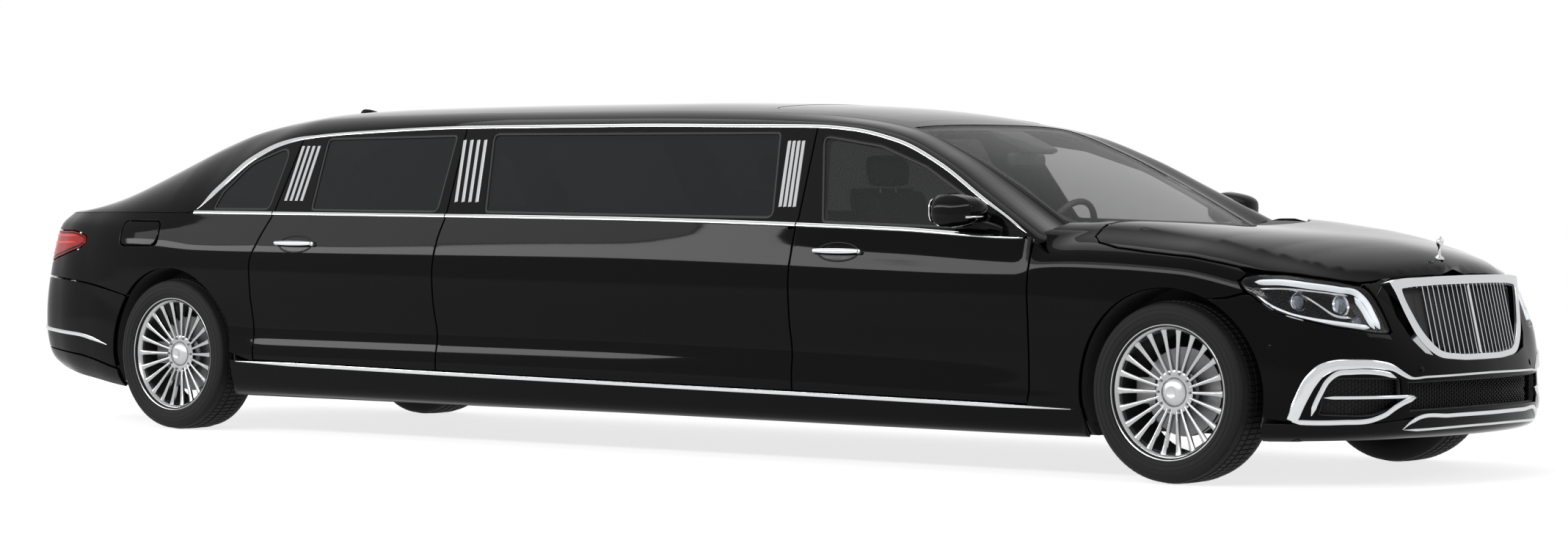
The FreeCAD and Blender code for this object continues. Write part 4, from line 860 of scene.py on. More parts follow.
SCREEN = finish("windscreen_glass", (.012, .016, .016), rough=0, vary=.2, grain=3, rough_vary=.001,
                IOR=1.80, Alpha=.22)
LENS = finish("clear_lens", (.03, .03, .032), rough=0, vary=.1, grain=5, rough_vary=.002, IOR=1.60, Alpha=.10)
EYE = finish("projector_glass", (.62, .70, .80), rough=.03, vary=.05, grain=30, rough_vary=.02,
             Transmission_Weight=.7, IOR=1.5)
RED_LENS = finish("red_lens", (.33, .004, .006), rough=.05, vary=.15, grain=60, rough_vary=.02, IOR=1.28)
LAMP_FACE = finish("lamp_bowl", (.70, .71, .73), rough=.16, metal=1, grain=220, rough_vary=.05)
GLOW = finish("light_guide", (.80, .83, .86), rough=.22, vary=.05, grain=120, Coat_Weight=.5,
              Emission_Color=(.9, .95, 1, 1), Emission_Strength=.55)
ALLOY = finish("polished_alloy", (.42, .425, .43), rough=.20, metal=1, vary=.05, grain=40, rough_vary=.06,
               stretch=(1, 14, 1))
BRUSHED = finish("brushed_alloy", (.46, .465, .47), rough=.32, metal=1, vary=.10, grain=30, rough_vary=.08,
                 stretch=(1, 30, 1), bump=.06)
CAST = finish("cast_metal", (.16, .16, .17), rough=.6, metal=.8, vary=.25, grain=90, rough_vary=.12,
              bump=.35, depth=.001)
# the wheel's alloy again, painted dark to stand for the shade inside the barrel behind the spokes
PAINTED_SHADE_ALLOY = finish("alloy_painted_in_shade", (.035, .035, .036), rough=.5, metal=.6, vary=.15, grain=40, rough_vary=.1)
STEEL = finish("bare_steel", (.20, .20, .205), rough=.42, metal=1, vary=.15, grain=55, rough_vary=.12,
               bump=.1)
RUBBER = finish("tyre_rubber", (.009, .009, .009), rough=.72, vary=.25, grain=140, rough_vary=.08, bump=.3,
                Specular_IOR_Level=.22)
UNDER = finish("underbody_coat", (.020, .020, .021), rough=.85, vary=.35, grain=45, rough_vary=.1, bump=.6,
               depth=.002)
CARPET = finish("carpet", (.035, .033, .032), rough=.95, vary=.5, grain=600, bump=.8, depth=.002,
                Sheen_Weight=.3)
CABIN = finish("cabin_trim", (.060, .058, .056), rough=.62, vary=.2, grain=700, rough_vary=.08, bump=.3,
               depth=.0004)
HIDE = finish("leather", (.085, .078, .070), rough=.45, vary=.2, grain=420, rough_vary=.1, bump=.45,
              depth=.0006, kind="VORONOI")
CLOTH = finish("headlining", (.36, .35, .33), rough=.9, vary=.12, grain=900, bump=.4, depth=.0006)
WOOD = finish("dark_wood", (.055, .022, .010), rough=.18, vary=.55, grain=9, stretch=(1, 9, 1),
              Coat_Weight=.6)
PLATE = finish("blank_plate", (.72, .72, .70), rough=.4, vary=.03, grain=40)
print("finishes:", len(bpy.data.materials))

# %% [markdown]
# Spokes, bolts, slats, mesh cells and tread blocks repeat. Geometry Nodes place one small modelled unit on
# every point of a ring, a row or a set of places, so the count and the spacing are plain numbers that can
# be changed. The result is turned into a normal mesh at the end, because a finished piece keeps no
# instances.

# %% Geometry Nodes trees that repeat a unit
def repeating_tree(name, *inputs):
    """A tree and its input and instance nodes; a unit and its finish come after the given inputs."""
    tree = bpy.data.node_groups.new(name, "GeometryNodeTree")
    for label, kind in (*inputs, ("Unit", "Object"), ("Finish", "Material")):
        tree.interface.new_socket(label, in_out="INPUT", socket_type="NodeSocket" + kind)
    tree.interface.new_socket("Geometry", in_out="OUTPUT", socket_type="NodeSocketGeometry")
    new, link = tree.nodes.new, tree.links.new
    given, out = new("NodeGroupInput"), new("NodeGroupOutput")
    unit, put = new("GeometryNodeObjectInfo"), new("GeometryNodeInstanceOnPoints")
    real, coat = new("GeometryNodeRealizeInstances"), new("GeometryNodeSetMaterial")
    link(given.outputs["Unit"], unit.inputs["Object"])
    link(unit.outputs["Geometry"], put.inputs["Instance"])
    link(put.outputs[0], real.inputs[0])
    link(real.outputs[0], coat.inputs["Geometry"])
    link(given.outputs["Finish"], coat.inputs["Material"])
    link(coat.outputs[0], out.inputs[0])
    return tree, given, put


def ring_tree():
    """The unit is repeated Count times round the Y axis, each Turn further than the last."""
    tree, given, put = repeating_tree("ring_of_units", ("Count", "Int"), ("Turn", "Float"))
    new, link = tree.nodes.new, tree.links.new
    row, number = new("GeometryNodeMeshLine"), new("GeometryNodeInputIndex")
    step, angle = new("ShaderNodeMath"), new("ShaderNodeCombineXYZ")
    row.inputs["Offset"].default_value = (0, 0, 0)
    step.operation = "MULTIPLY"
    link(given.outputs["Count"], row.inputs["Count"])
    link(row.outputs["Mesh"], put.inputs["Points"])
    link(number.outputs[0], step.inputs[0])
    link(given.outputs["Turn"], step.inputs[1])
    link(step.outputs[0], angle.inputs["Y"])
    link(angle.outputs[0], put.inputs["Rotation"])
    return tree


def field_tree():
    """The unit goes on every point of the host, turned and stretched by the point's own attributes."""
    tree, given, put = repeating_tree("units_on_places", ("Places", "Geometry"), ("Size", "Float"))
    new, link = tree.nodes.new, tree.links.new
    turn, stretch = new("GeometryNodeInputNamedAttribute"), new("GeometryNodeInputNamedAttribute")
    scale = new("ShaderNodeVectorMath")
    for node, name in ((turn, "turn"), (stretch, "stretch")):
        node.data_type = "FLOAT_VECTOR"
        node.inputs["Name"].default_value = name
    scale.operation = "SCALE"
    link(given.outputs["Places"], put.inputs["Points"])
    link(turn.outputs["Attribute"], put.inputs["Rotation"])
    link(stretch.outputs["Attribute"], scale.inputs[0])
    link(given.outputs["Size"], scale.inputs["Scale"])
    link(scale.outputs[0], put.inputs["Scale"])
    return tree


RING, FIELD = ring_tree(), field_tree()


def spread(name, tree, unit, places=None, **values):
    """Run a tree on a helper object and give back (points, faces) of the plain mesh it makes."""
    shape = bpy.data.meshes.new(name + "_unit")
    shape.from_pydata([tuple(p) for p in unit[0]], [], [list(map(int, f)) for f in unit[1]])
    single = bpy.data.objects.new(name + "_unit", shape)
    base = bpy.data.meshes.new(name + "_places")
    base.from_pydata([(0, 0, 0)] if places is None else [tuple(p) for p in places[0]], [], [])
    if places is not None:
        spots, *ways = [np.asarray(part, float) for part in places]
        ways += [np.ones(spots.shape)] * (2 - len(ways))
        for key, way in zip(("turn", "stretch"), ways):
            base.attributes.new(key, "FLOAT_VECTOR", "POINT").data.foreach_set("vector", way.ravel())
    host = bpy.data.objects.new(name + "_host", base)
    bpy.context.scene.collection.objects.link(host)
    bpy.context.scene.collection.objects.link(single)
    nodes = host.modifiers.new("repeat", "NODES")
    nodes.node_group = tree
    sockets = {item.name: item.identifier for item in tree.interface.items_tree if item.in_out == "INPUT"}
    nodes[sockets["Unit"]] = single
    for key, value in values.items():
        nodes[sockets[key]] = value
    graph = bpy.context.evaluated_depsgraph_get()
    graph.update()
    mesh = bpy.data.meshes.new_from_object(host.evaluated_get(graph))
    points = np.empty(len(mesh.vertices) * 3)
    mesh.vertices.foreach_get("co", points)
    faces = [list(p.vertices) for p in mesh.polygons]
    host.modifiers.remove(nodes)
    for one in (host, single):
        bpy.data.objects.remove(one)
    return points.reshape(-1, 3), faces


print("trees:", [tree.name for tree in bpy.data.node_groups])

# %% [markdown]
# Doors, wings and quarters are one surface cut by shut lines, which lean and curve so that the doors can
# swing. Each panel keeps 7 mm off its neighbour, as real ones do. Below the belt a door is a deep shell;
# above it a thin frame holds the glass, so each door is made of two plates that meet under the bright belt
# strip.

# %% Shut lines and edges
SHUT = {
    "rear_trail": ([.20, .30, .54, .77, .87, 1.0], [-2.070, -2.073, -2.087, -2.086, -2.050, -1.980], -1.967),
    "rear_lead": ([.20, .34, .66, .88, 1.0], [-.922, -.925, -.934, -.924, -.897], -.960),
    "front_trail": ([.20, .275, .57, .87, 1.0], [1.089, 1.086, 1.075, 1.078, 1.090], 1.030),
    "front_lead": ([.20, .25, .35, .93, 1.0], [2.235, 2.250, 2.274, 2.274, 2.274], 2.274),
}
GAP = 0.0035
# the flank's upper edge, with room for the strip that covers it
EDGE_V = 7.985
DOOR_DEEP, FRAME_DEEP, MIDDLE_DEEP = .095, .045, .06


def shut(name, z):
    """x of a shut line at a height; above the belt it runs straight to its upper end at z 1.38."""
    zs, xs, top = SHUT[name]
    z = np.asarray(z, float)
    return np.where(z > 1, xs[-1] + (top - xs[-1]) * (z - 1) / 0.38, smooth(zs, xs, z))


def sill(x):
    """Height of the bright sill strip."""
    return np.interp(x, [-2.2, -.93, 1.08, 2.45], [.329, .311, .289, .272])


def belt(x):
    """Height of the flank's upper edge."""
    return smooth(STATION, LEVEL[:, -1], np.asarray(x, float))


def frame_z(x):
    """Height of the bright line over the side windows."""
    return smooth(*np.array(FRAME_TOP).T, np.asarray(x, float))


def laid(points):
    """(s, v) of side-view points; heights over the upper edge land just inside it."""
    p = on_flank(*np.asarray(points, float).T)
    p[:, 1] = np.minimum(p[:, 1], EDGE_V)
    return p


def hand_form(form, hand):
    return lambda a, b: form(a, b, hand)


def seam_roll(loop):
    """Hairline rims along the upper edge, full ones elsewhere."""
    return np.where(loop[:, 1] > 7.9, 0.0006, 0.003)


def frame_roll(loop):
    return np.where(loop[:, 1] < belt(loop[:, 0]) + .004, 0.0006, 0.003)


SIDES = (("right", -1), ("left", 1))
print("belt at the doors:", np.round(belt([-2, 0, 2]), 3))

# %% [markdown]
# Four doors and the panel let in between them share one flank. Each is a lower shell and a window frame,
# cut along the shut lines with a small gap, and each door rides on its own body.

# %% Doors and the fixed panel between them
def lower_loop(back, front, foot=0.013):
    """Outline below the belt between two shut lines, in (s, v)."""
    xb, xf = shut(back, .33) + GAP, shut(front, .31) - GAP
    floor = [(x, sill(x) + foot) for x in np.linspace(xb, xf, 30)]
    rise = [(shut(front, z) - GAP, z) for z in np.linspace(sill(xf) + foot, 1.0, 36)[1:]]
    fall = [(shut(back, z) + GAP, z) for z in np.linspace(1.0, sill(xb) + foot, 36)[:-1]]
    top = [(x, 1.2) for x in np.linspace(rise[-1][0], fall[0][0], 40)]
    return laid(floor + rise[:-1] + top + fall[1:])


def upper_loop(back, front):
    """Outline of the window frame over it, in (x, z)."""
    xb, xf = float(shut(back, 1.0)) + GAP, float(shut(front, 1.0)) - GAP
    foot = [(x, float(belt(x))) for x in np.linspace(xb, xf, 40)]
    high_f = float(frame_z(shut(front, 1.38))) - .006
    rise = [(float(shut(front, z)) - GAP, z) for z in np.linspace(foot[-1][1], high_f, 14)[1:]]
    high_b = float(frame_z(shut(back, 1.36))) - .006
    fall = [(float(shut(back, z)) + GAP, z) for z in np.linspace(high_b, foot[0][1], 14)[:-1]]
    roof = [(x, float(frame_z(x)) - .006) for x in np.linspace(rise[-1][0], fall[0][0], 40)[1:-1]]
    return np.array(foot + rise + roof + fall)


def front_frame_loop():
    """The front door's frame follows the windscreen pillar down to a point."""
    back = "front_trail"
    xb = float(shut(back, 1.0)) + GAP
    foot = [(x, float(belt(x))) for x in np.linspace(xb, 2.255, 50)]
    high = float(frame_z(shut(back, 1.37))) - .006
    fall = [(float(shut(back, z)) + GAP, z) for z in np.linspace(high, foot[0][1], 14)[:-1]]
    roof = [(x, float(frame_z(x)) - .006) for x in np.linspace(2.235, fall[0][0], 60)[:-1]]
    return np.array(foot + roof + fall)


WINDOWS = {
    "rear_door": [(-1.753, 1.019, .03), (-.957, 1.015, .03), (-1.002, 1.358, .03), (-1.814, 1.349, .03)],
    "middle": [(-.674, 1.015, .03), (.954, 1.001, .03), (.844, 1.358, .03), (-.793, 1.364, .03)],
    "front_door": [(1.215, .985, .03), (2.150, .962, .01), (1.947, 1.076, .2), (1.660, 1.215, .2),
                   (1.397, 1.300, .2), (1.070, 1.345, .03)],
    "quarter": [(-2.397, 1.021, .02), (-2.020, 1.021, .03), (-2.024, 1.325, .06), (-2.256, 1.237, .2),
                (-2.375, 1.105, .06)],
}
HOLES = {key: divide(soften(points, 7), .05) for key, points in WINDOWS.items()}


def door_slant(amount=.35, deep=.1):
    """Moves the inner sheet's trailing edge forward, to clear its neighbour as the door swings out."""
    def shift(domain):
        x = domain[:, 0]
        near = np.clip(1 - (x - x.min()) / .12, 0, 1)
        move = np.zeros((len(x), 3))
        move[:, 0] = amount * deep * near
        return move
    return shift


for side, hand in SIDES:
    low, high = hand_form(flank, hand), hand_form(glass_side, hand)
    for place, back, front, hole in (("rear", "rear_trail", "rear_lead", "rear_door"),
                                     ("front", "front_trail", "front_lead", "front_door")):
        door = Making()
        door.add(*plate(low, [lower_loop(back, front)], .024, DOOR_DEEP, METRIC, seam_roll, -hand,
                        slant=door_slant()), finish=0, back=1)
        outline = upper_loop(back, front) if place == "rear" else front_frame_loop()
        door.add(*plate(high, [divide(outline, .04), HOLES[hole]], .035, FRAME_DEEP, (1, 1), frame_roll,
                        -hand, slant=door_slant(deep=FRAME_DEEP)), finish=2, back=1)
        door.build(f"{place}_door_shell_{side}", [PAINT, CABIN, GLOSS], f"{place}_door_{side}",
                   [f"{place}_door_{side}"], "paint")

middle = Making()
for side, hand in SIDES:
    low, high = hand_form(flank, hand), hand_form(glass_side, hand)
    loop = lower_loop("rear_lead", "front_trail")
    outline = upper_loop("rear_lead", "front_trail")
    middle.add(*plate(low, [loop], .03, MIDDLE_DEEP, METRIC, seam_roll, -hand), finish=0, back=1)
    middle.add(*plate(high, [divide(outline, .04), HOLES["middle"]], .035, FRAME_DEEP, (1, 1), frame_roll,
                      -hand), finish=2, back=1)
middle.build("middle_panel_shells", [PAINT, CABIN, GLOSS], "chassis", ["middle_panels"], "paint")
print("doors and middle panels built")

# %% [markdown]
# The front wings and rear quarters carry the wheel openings, which are parts of circles about the axles.
# Everything beside them has its own line already, so their outlines take the lines of the lamps, bumpers
# and doors, and leave a gap.

# %% Quarters, wings and sills
FRONT_X, REAR_X, AXLE_Z, ARCH = 2.910, -2.630, .350, .400


def arch(axle, start, stop, count=40):
    """Side-view points round a wheel opening, by angle in degrees from the front."""
    return [(axle + ARCH * math.cos(math.radians(a)), AXLE_Z + ARCH * math.sin(math.radians(a)))
            for a in np.linspace(start, stop, count)]


LAMP_REAR = even(soften([(-3.935, 5.25), (-3.935, 6.62), (-3.70, 6.62, .1), (-3.50, 6.58, .1),
                         (-3.36, 6.60, .1), (-3.262, 6.36, .08), (-3.25, 6.02, .08), (-3.30, 5.80, .1),
                         (-3.443, 5.56, .2), (-3.642, 5.34, .2)], 5))
LAMP_TOP = np.array([(-3.933, 6.68), (-3.70, 6.68), (-3.50, 6.64), (-3.38, 6.67), (-3.30, 6.56),
                     (-3.245, 6.37), (-3.240, 6.18)])
LAMP_FOOT = np.array([(-3.240, 6.0), (-3.29, 5.74), (-3.443, 5.50), (-3.642, 5.28), (-3.933, 5.19)])
BUMPER_LINE = np.array([(-2.935, 4.40), (-3.10, 4.42), (-3.27, 4.47), (-3.604, 4.74), (-3.80, 4.80),
                        (-3.96, 4.82)])
TAIL_CUT = -3.945

FLAP = even(laid(oblong((-2.975, .853), (-2.717, .964), .03, 6)), .02)

quarters = Making()
for side, hand in SIDES:
    low, high = hand_form(flank, hand), hand_form(glass_side, hand)
    xb = float(shut("rear_trail", .33)) - GAP
    arch_turn = laid(arch(REAR_X, 3, 138, 60))
    bumper = np.array([p for p in BUMPER_LINE if p[0] > TAIL_CUT] + [(TAIL_CUT, 4.82)]) + (0, .035)
    rise = laid([(float(shut("rear_trail", z)) - GAP, z) for z in np.linspace(1.0, sill(xb) + .004, 36)])
    top = [(x, EDGE_V) for x in np.linspace(TAIL_CUT, rise[0][0] - .01, 60)]
    loop = np.concatenate([arch_turn, bumper[1:], LAMP_FOOT[::-1], LAMP_TOP[::-1], top, rise])
    loop = even(loop)
    holes = [widen(FLAP, .005)] if hand < 0 else []
    quarters.add(*plate(low, [loop] + holes, .026, .022, METRIC, seam_roll, -hand), finish=0, back=1)
    xs = np.linspace(-2.545, float(shut("rear_trail", 1.0)) - GAP, 26)
    foot = [(x, float(belt(x))) for x in xs]
    rise = [(float(shut("rear_trail", z)) - GAP, z) for z in np.linspace(foot[-1][1], 1.338, 14)[1:]]
    roof = [(x, float(frame_z(x)) - .003) for x in np.linspace(rise[-1][0], -2.535, 50)[1:]]
    quarters.add(*plate(high, [divide(np.array(foot + rise + roof), .04), HOLES["quarter"]], .035, .03,
                        (1, 1), frame_roll, -hand), finish=2, back=1)
quarters.build("quarter_shells", [PAINT, CABIN, GLOSS], "chassis", ["rear_quarters"], "paint")

HEADLAMP = np.array([(3.217, 6.83), (3.245, 7.05), (3.303, 7.19), (3.40, 7.28), (3.518, 7.34),
                     (3.65, 7.37), (3.75, 7.28), (3.783, 7.12), (3.80, 6.8), (3.82, 6.36), (3.838, 5.8),
                     (3.848, 5.40), (3.835, 5.33), (3.762, 5.35), (3.593, 5.57), (3.444, 5.88),
                     (3.368, 6.06), (3.308, 6.31), (3.25, 6.6)])
BONNET_LINE_SIDE = np.array([(2.515, 7.62), (2.56, 7.42), (2.66, 7.28), (2.80, 7.225), (2.932, 7.21),
                             (3.08, 7.225), (3.202, 7.26), (3.30, 7.31), (3.40, 7.38), (3.518, 7.44),
                             (3.65, 7.47), (3.76, 7.47), (3.84, 7.56), (3.91, 7.72), (4.02, 7.82),
                             (4.15, 7.86), (4.30, 7.87), (4.40, 7.87)])

wings = Making()
for side, hand in SIDES:
    low = hand_form(flank, hand)
    xf = float(shut("front_lead", .28)) + GAP
    rise = laid([(float(shut("front_lead", z)) + GAP, z) for z in np.linspace(sill(xf) + .004, .93, 36)])
    head = [(2.30, 8.05), (2.32, 8.25), (2.42, 8.28), (2.492, 8.22), (2.498, 7.9), (2.508, 7.62)]
    side_line = BONNET_LINE_SIDE[:7] - (0, .05)
    beside_lamp = [(3.236, 7.12), (3.208, 6.86), (3.236, 6.50), (3.167, 6.20)]
    round_arch = laid(arch(FRONT_X, 64.5, 191, 70))
    loop = np.concatenate([rise, head, side_line, beside_lamp, round_arch])
    loop = even(loop)
    wings.add(*plate(low, [loop], .022, .022, METRIC, .003, -hand), finish=0, back=1)
wings.build("wing_shells", [PAINT, UNDER], "chassis", ["front_wings"], "paint")

sills = Making()
for side, hand in SIDES:
    low = hand_form(flank, hand)
    xs = np.linspace(-2.232, 2.518, 140)
    top = laid([(x, sill(x) + .006) for x in xs])
    foot = [(x, .26) for x in np.linspace(2.524, -2.24, 120)]
    sills.add(*plate(low, [np.concatenate([top, foot])], .03, .02, METRIC, .003, -hand), finish=0, back=1)
sills.build("sill_shells", [PAINT, UNDER], "chassis", (), "paint")
print("quarters, wings and sills built")

# %% [markdown]
# Roof, bonnet and boot lid are crowned sheets that span the car. A grid pulled over the body would put its
# edges in the wrong place, so each has its own outline, drawn for one side and mirrored, and is cut from
# the crown.

# %% Roof, rails, screen surround and lids
def edge_y(x):
    return smooth(*np.array(CROWN_EDGE)[:, :2].T, x)


rails = Making()
for side, hand in SIDES:
    form = hand_form(upper, hand)
    base = [(s, .004) for s in np.linspace(-3.935, 2.33, 230)]
    crown = [(s, .995) for s in np.linspace(2.30, -3.62, 220)]
    tail = [(-3.70, .97), (-3.80, .90), (-3.90, .72), (-3.935, .5)]
    rails.add(*plate(form, [np.array(base + crown + tail)], .03, .035, (1, .18), .0012, -hand), finish=0,
              back=1)
rails.build("roof_rails", [PAINT, CLOTH], "chassis", ["windscreen_pillars"], "paint")

GLASS_TOP = 1.405
roof = Making()
REAR_GLASS_TOP = -2.335
half = [(x, -(edge_y(x) - .001)) for x in np.linspace(REAR_GLASS_TOP, GLASS_TOP, 90)]
front_end = [(GLASS_TOP + .03 * (1 - (y / .55) ** 2), y) for y in np.linspace(-.54, .54, 24)]
rear_end = [(REAR_GLASS_TOP - .03 * (1 - (y / .55) ** 2), y) for y in np.linspace(.54, -.54, 24)]
loop = np.array(half + front_end + [(x, -y) for x, y in half[::-1]] + rear_end)
PANEL_EDGE = divide(oblong((.600, -.475), (1.345, .475), .08, 8), .04)
roof.add(*plate(across, [loop, PANEL_EDGE], .045, .03, (1, 1), .0015, 1), finish=0, back=1)
roof.add(*plate(sunk(across, .001, 1), [grow(PANEL_EDGE, -.003)], .05, .012, (1, 1), .0015, 1), finish=2)
roof.build("roof_shell", [PAINT, CLOTH, GLOSS], "chassis", ["roof_panel"], "paint")

bonnet = Making()
edge = flank(*BONNET_LINE_SIDE.T, 1)
right = [(2.742, 0.0), (2.738, .22), (2.715, .38), (2.66, .50), (2.58, .60), (2.525, .69), (2.505, .76)]
right += [tuple(p[:2]) for p in edge[:-1]]
half = divide(np.array(right), .03, closed=False)
loop = np.concatenate([half, [(edge[-1][0], 0)], (half * (1, -1))[:0:-1]])
bonnet.add(*plate(over_nose, [loop], .024, .022, (1, 1), .003, 1), finish=0, back=1)
bonnet.build("bonnet_shell", [PAINT, UNDER], "bonnet", ["bonnet"], "paint")

lid = Making()
rim = flank(np.linspace(-3.975, TAIL_S, 26), 7.97, 1)
right = [(-3.402, 0.0), (-3.405, .30), (-3.425, .50), (-3.46, .563), (-3.60, .562), (-3.655, .552)]
right += [(x + .006, y) for x, y, _ in rim]
half = divide(np.array(right), .03, closed=False)
loop = np.concatenate([half[:-1], [(half[-1][0], 0)], (half * (1, -1))[-2:0:-1]])
lid.add(*plate(deck, [loop], .03, .02, (1, 1), .002, 1), finish=0, back=1)
LID_S, FACE_LOW, FACE_HIGH = -3.962, 4.93, 7.96
other_s = 2 * TAIL_S - LID_S
face = [(s, FACE_LOW) for s in np.linspace(LID_S, other_s, 60)]
face += [(other_s, v) for v in np.linspace(5.0, 7.9, 12)]
face += [(s, FACE_HIGH) for s in np.linspace(other_s, LID_S, 60)]
face += [(LID_S, v) for v in np.linspace(7.9, 5.0, 12)]
lid.add(*plate(wrap, [np.array(face)], .03, .022, METRIC, .0025, 1), finish=0, back=1)
lid.build("boot_lid_shell", [PAINT, UNDER], "boot_lid", ["boot_lid"], "paint")
print("roof, rails, bonnet and boot lid built")

# %% [markdown]
# Side glass sits eight millimetres inside its frame, behind a black rubber seal, so each pane has a shadow
# line round it. Panes are real sheets with an edge: light goes in and out of them, and the tint is in the
# glass itself.

# %% Panes and seals
PANE_IN, SEAL_IN = .008, .003


def pane(form, loop, turn, step=.12, deep=.005, metric=(1, 1)):
    return plate(form, [loop], step, deep, metric, .001, turn)


def seal(form, loop, turn, out=.001, inner=-.009, deep=.012, metric=(1, 1)):
    return plate(form, [grow(loop, out), grow(loop, inner)], .2, deep, metric, .002, turn)


fixed = Making()
for side, hand in SIDES:
    skin = hand_form(glass_side, hand)
    glass, gasket = sunk(skin, PANE_IN, -hand), sunk(skin, SEAL_IN, -hand)
    for key, body, node in (("rear_door", f"rear_door_{side}", f"rear_door_glass_{side}"),
                            ("front_door", f"front_door_{side}", f"front_door_glass_{side}")):
        one = Making()
        one.add(*pane(glass, HOLES[key], -hand), finish=0)
        one.add(*seal(gasket, HOLES[key], -hand), finish=1)
        one.build(f"{node}_pane", [TINT if key == "rear_door" else TINT_FRONT, SEAL], body, [node],
                  "tinted_glass")
    for key in ("middle", "quarter"):
        fixed.add(*pane(glass, HOLES[key], -hand), finish=0)
        fixed.add(*seal(gasket, HOLES[key], -hand), finish=1)
fixed.build("fixed_side_panes", [TINT, SEAL], "chassis", ["fixed_side_glass"], "tinted_glass")
print("panes and seals built")

# %% [markdown]
# Bonded glass has a black printed edge that hides the glue. The pane is one sheet on the crown's own curve,
# and the printed band is a thin ring under it, so both stay flush with the roof. The rear pane has heating
# wires.

# %% Windscreen and rear window
SCREEN_SIDE = [(1.42, .530), (1.70, .555), (1.98, .592), (2.21, .628)]
SCREEN_FOOT = [(2.30, .60), (2.42, .50), (2.52, .34), (2.575, .17), (2.59, 0.0)]
half = np.array([(GLASS_TOP + .034, 0.0), (GLASS_TOP + .030, .20),
                 (GLASS_TOP + .018, .38)] + SCREEN_SIDE + SCREEN_FOOT)
half = through(half[::-1], np.linspace(0, 1, 90))
screen_loop = np.concatenate([half * (1, -1), half[::-1][1:-1]])
front = Making()
front.add(*plate(sunk(across, .002, 1), [screen_loop], .05, .006, (1, 1), .0015, 1), finish=0)
front.add(*plate(sunk(across, .009, 1), [screen_loop, grow(screen_loop, -.030)], .05, .004, (1, 1), .001,
                 1), finish=1)
xs = np.linspace(-.47, .47, 24)
shade = [(GLASS_TOP + .012 - .02 * (y / .47) ** 2, y)
         for y in xs] + [(GLASS_TOP + .085 - .03 * (y / .47) ** 2, y) for y in xs[::-1]]
front.add(*plate(sunk(across, .0095, 1), [np.array(shade)], .05, .002, (1, 1), .0008, 1), finish=1)
front.build("windscreen_pane", [SCREEN, SEAL], "chassis", ["windscreen"], "tinted_glass")


def pillar_covers(name, coat, slot, start, stop, inner_x, inner_y):
    """A strip on each side from the crown's edge to the glass, whose edge is at (inner_x, inner_y)."""
    covers = Making()
    for hand in (-1, 1):
        there, back_again = np.linspace(start, stop, 60), np.linspace(stop, start, 60)
        outer = np.stack([there, -(edge_y(there) - .0015)], -1)
        inner = np.stack([back_again, -np.interp(back_again, inner_x, inner_y)], -1)
        loop = np.concatenate([outer, inner]) * (1, -hand)
        covers.add(*plate(across, [loop], .04, .03, (1, 1), .0015, 1), finish=0)
    covers.build(name, [coat], "chassis", (), slot)


pillar_covers("screen_pillar_covers", GLOSS, "dark_trim", 1.40, 2.30,
              [1.40, 1.70, 1.98, 2.21, 2.30], [.532, .556, .593, .630, .640])

half = np.array([(-2.352, 0.0), (-2.348, .25), (-2.335, .44), (-2.33, .495), (-2.50, .508), (-2.80, .520),
                 (-3.05, .530), (-3.30, .545), (-3.388, .548), (-3.394, .40), (-3.394, .20),
                 (-3.394, 0.0)])
half = divide(half, .05, closed=False)
rear_loop = np.concatenate([half * (1, -1), half[::-1][1:-1]])
back = Making()
back.add(*plate(sunk(across, .002, 1), [rear_loop], .05, .006, (1, 1), .0015, 1), finish=0)
back.add(*plate(sunk(across, .009, 1), [rear_loop, grow(rear_loop, -.035)], .05, .004, (1, 1), .001, 1),
         finish=1)
for k in range(13):
    x = -2.50 - .065 * k
    ys = np.linspace(-.47, .47, 24)
    path, out = line(sunk(across, .0095, 1), np.full(24, x), ys)
    back.add(*sweep(path, -out, oval(.0008, .0004, 4)), finish=2)
back.build("rear_window_pane", [TINT, SEAL, CAST], "chassis", ["rear_window"], "tinted_glass")
pillar_covers("rear_pillar_covers", PAINT, "paint", -3.395, -2.34,
              [-3.395, -3.30, -3.05, -2.80, -2.50, -2.34], [.551, .548, .533, .523, .511, .498])
print("glass built")

# %% [markdown]
# Bright strips frame the side windows, run under them along the belt and along the sills. On the real car
# they are thin rolled metal with soft shoulders. Here a small section is swept along a line that lies on
# the body surface, so that every strip follows the bodywork exactly. Strips that cross a door are split
# there and ride on the door.

# %% Window surround, belt and sill strips
STRIP = bar_shape(.0085, .006, .004)


def belt_strip(start, stop, hand):
    """A bright strip on the belt, leaning out with the shoulder."""
    xs = np.linspace(start, stop, 60)
    path = np.stack([xs, hand * (np.abs(flank(xs, 7.95, 1)[:, 1]) + .001), belt(xs) + .001], -1)
    return sweep(path, np.tile((0, hand * .9, .44), (len(xs), 1)), STRIP)


def pillar_slats(making, form, hand, feet, low, high, lean):
    """Upright bright bars on a pillar between two heights, all leaning back alike."""
    zs = np.linspace(low, high, 12)
    for x in feet:
        making.add(*strip(form, x - (zs - low) * lean, zs, .0085, .005, -hand))


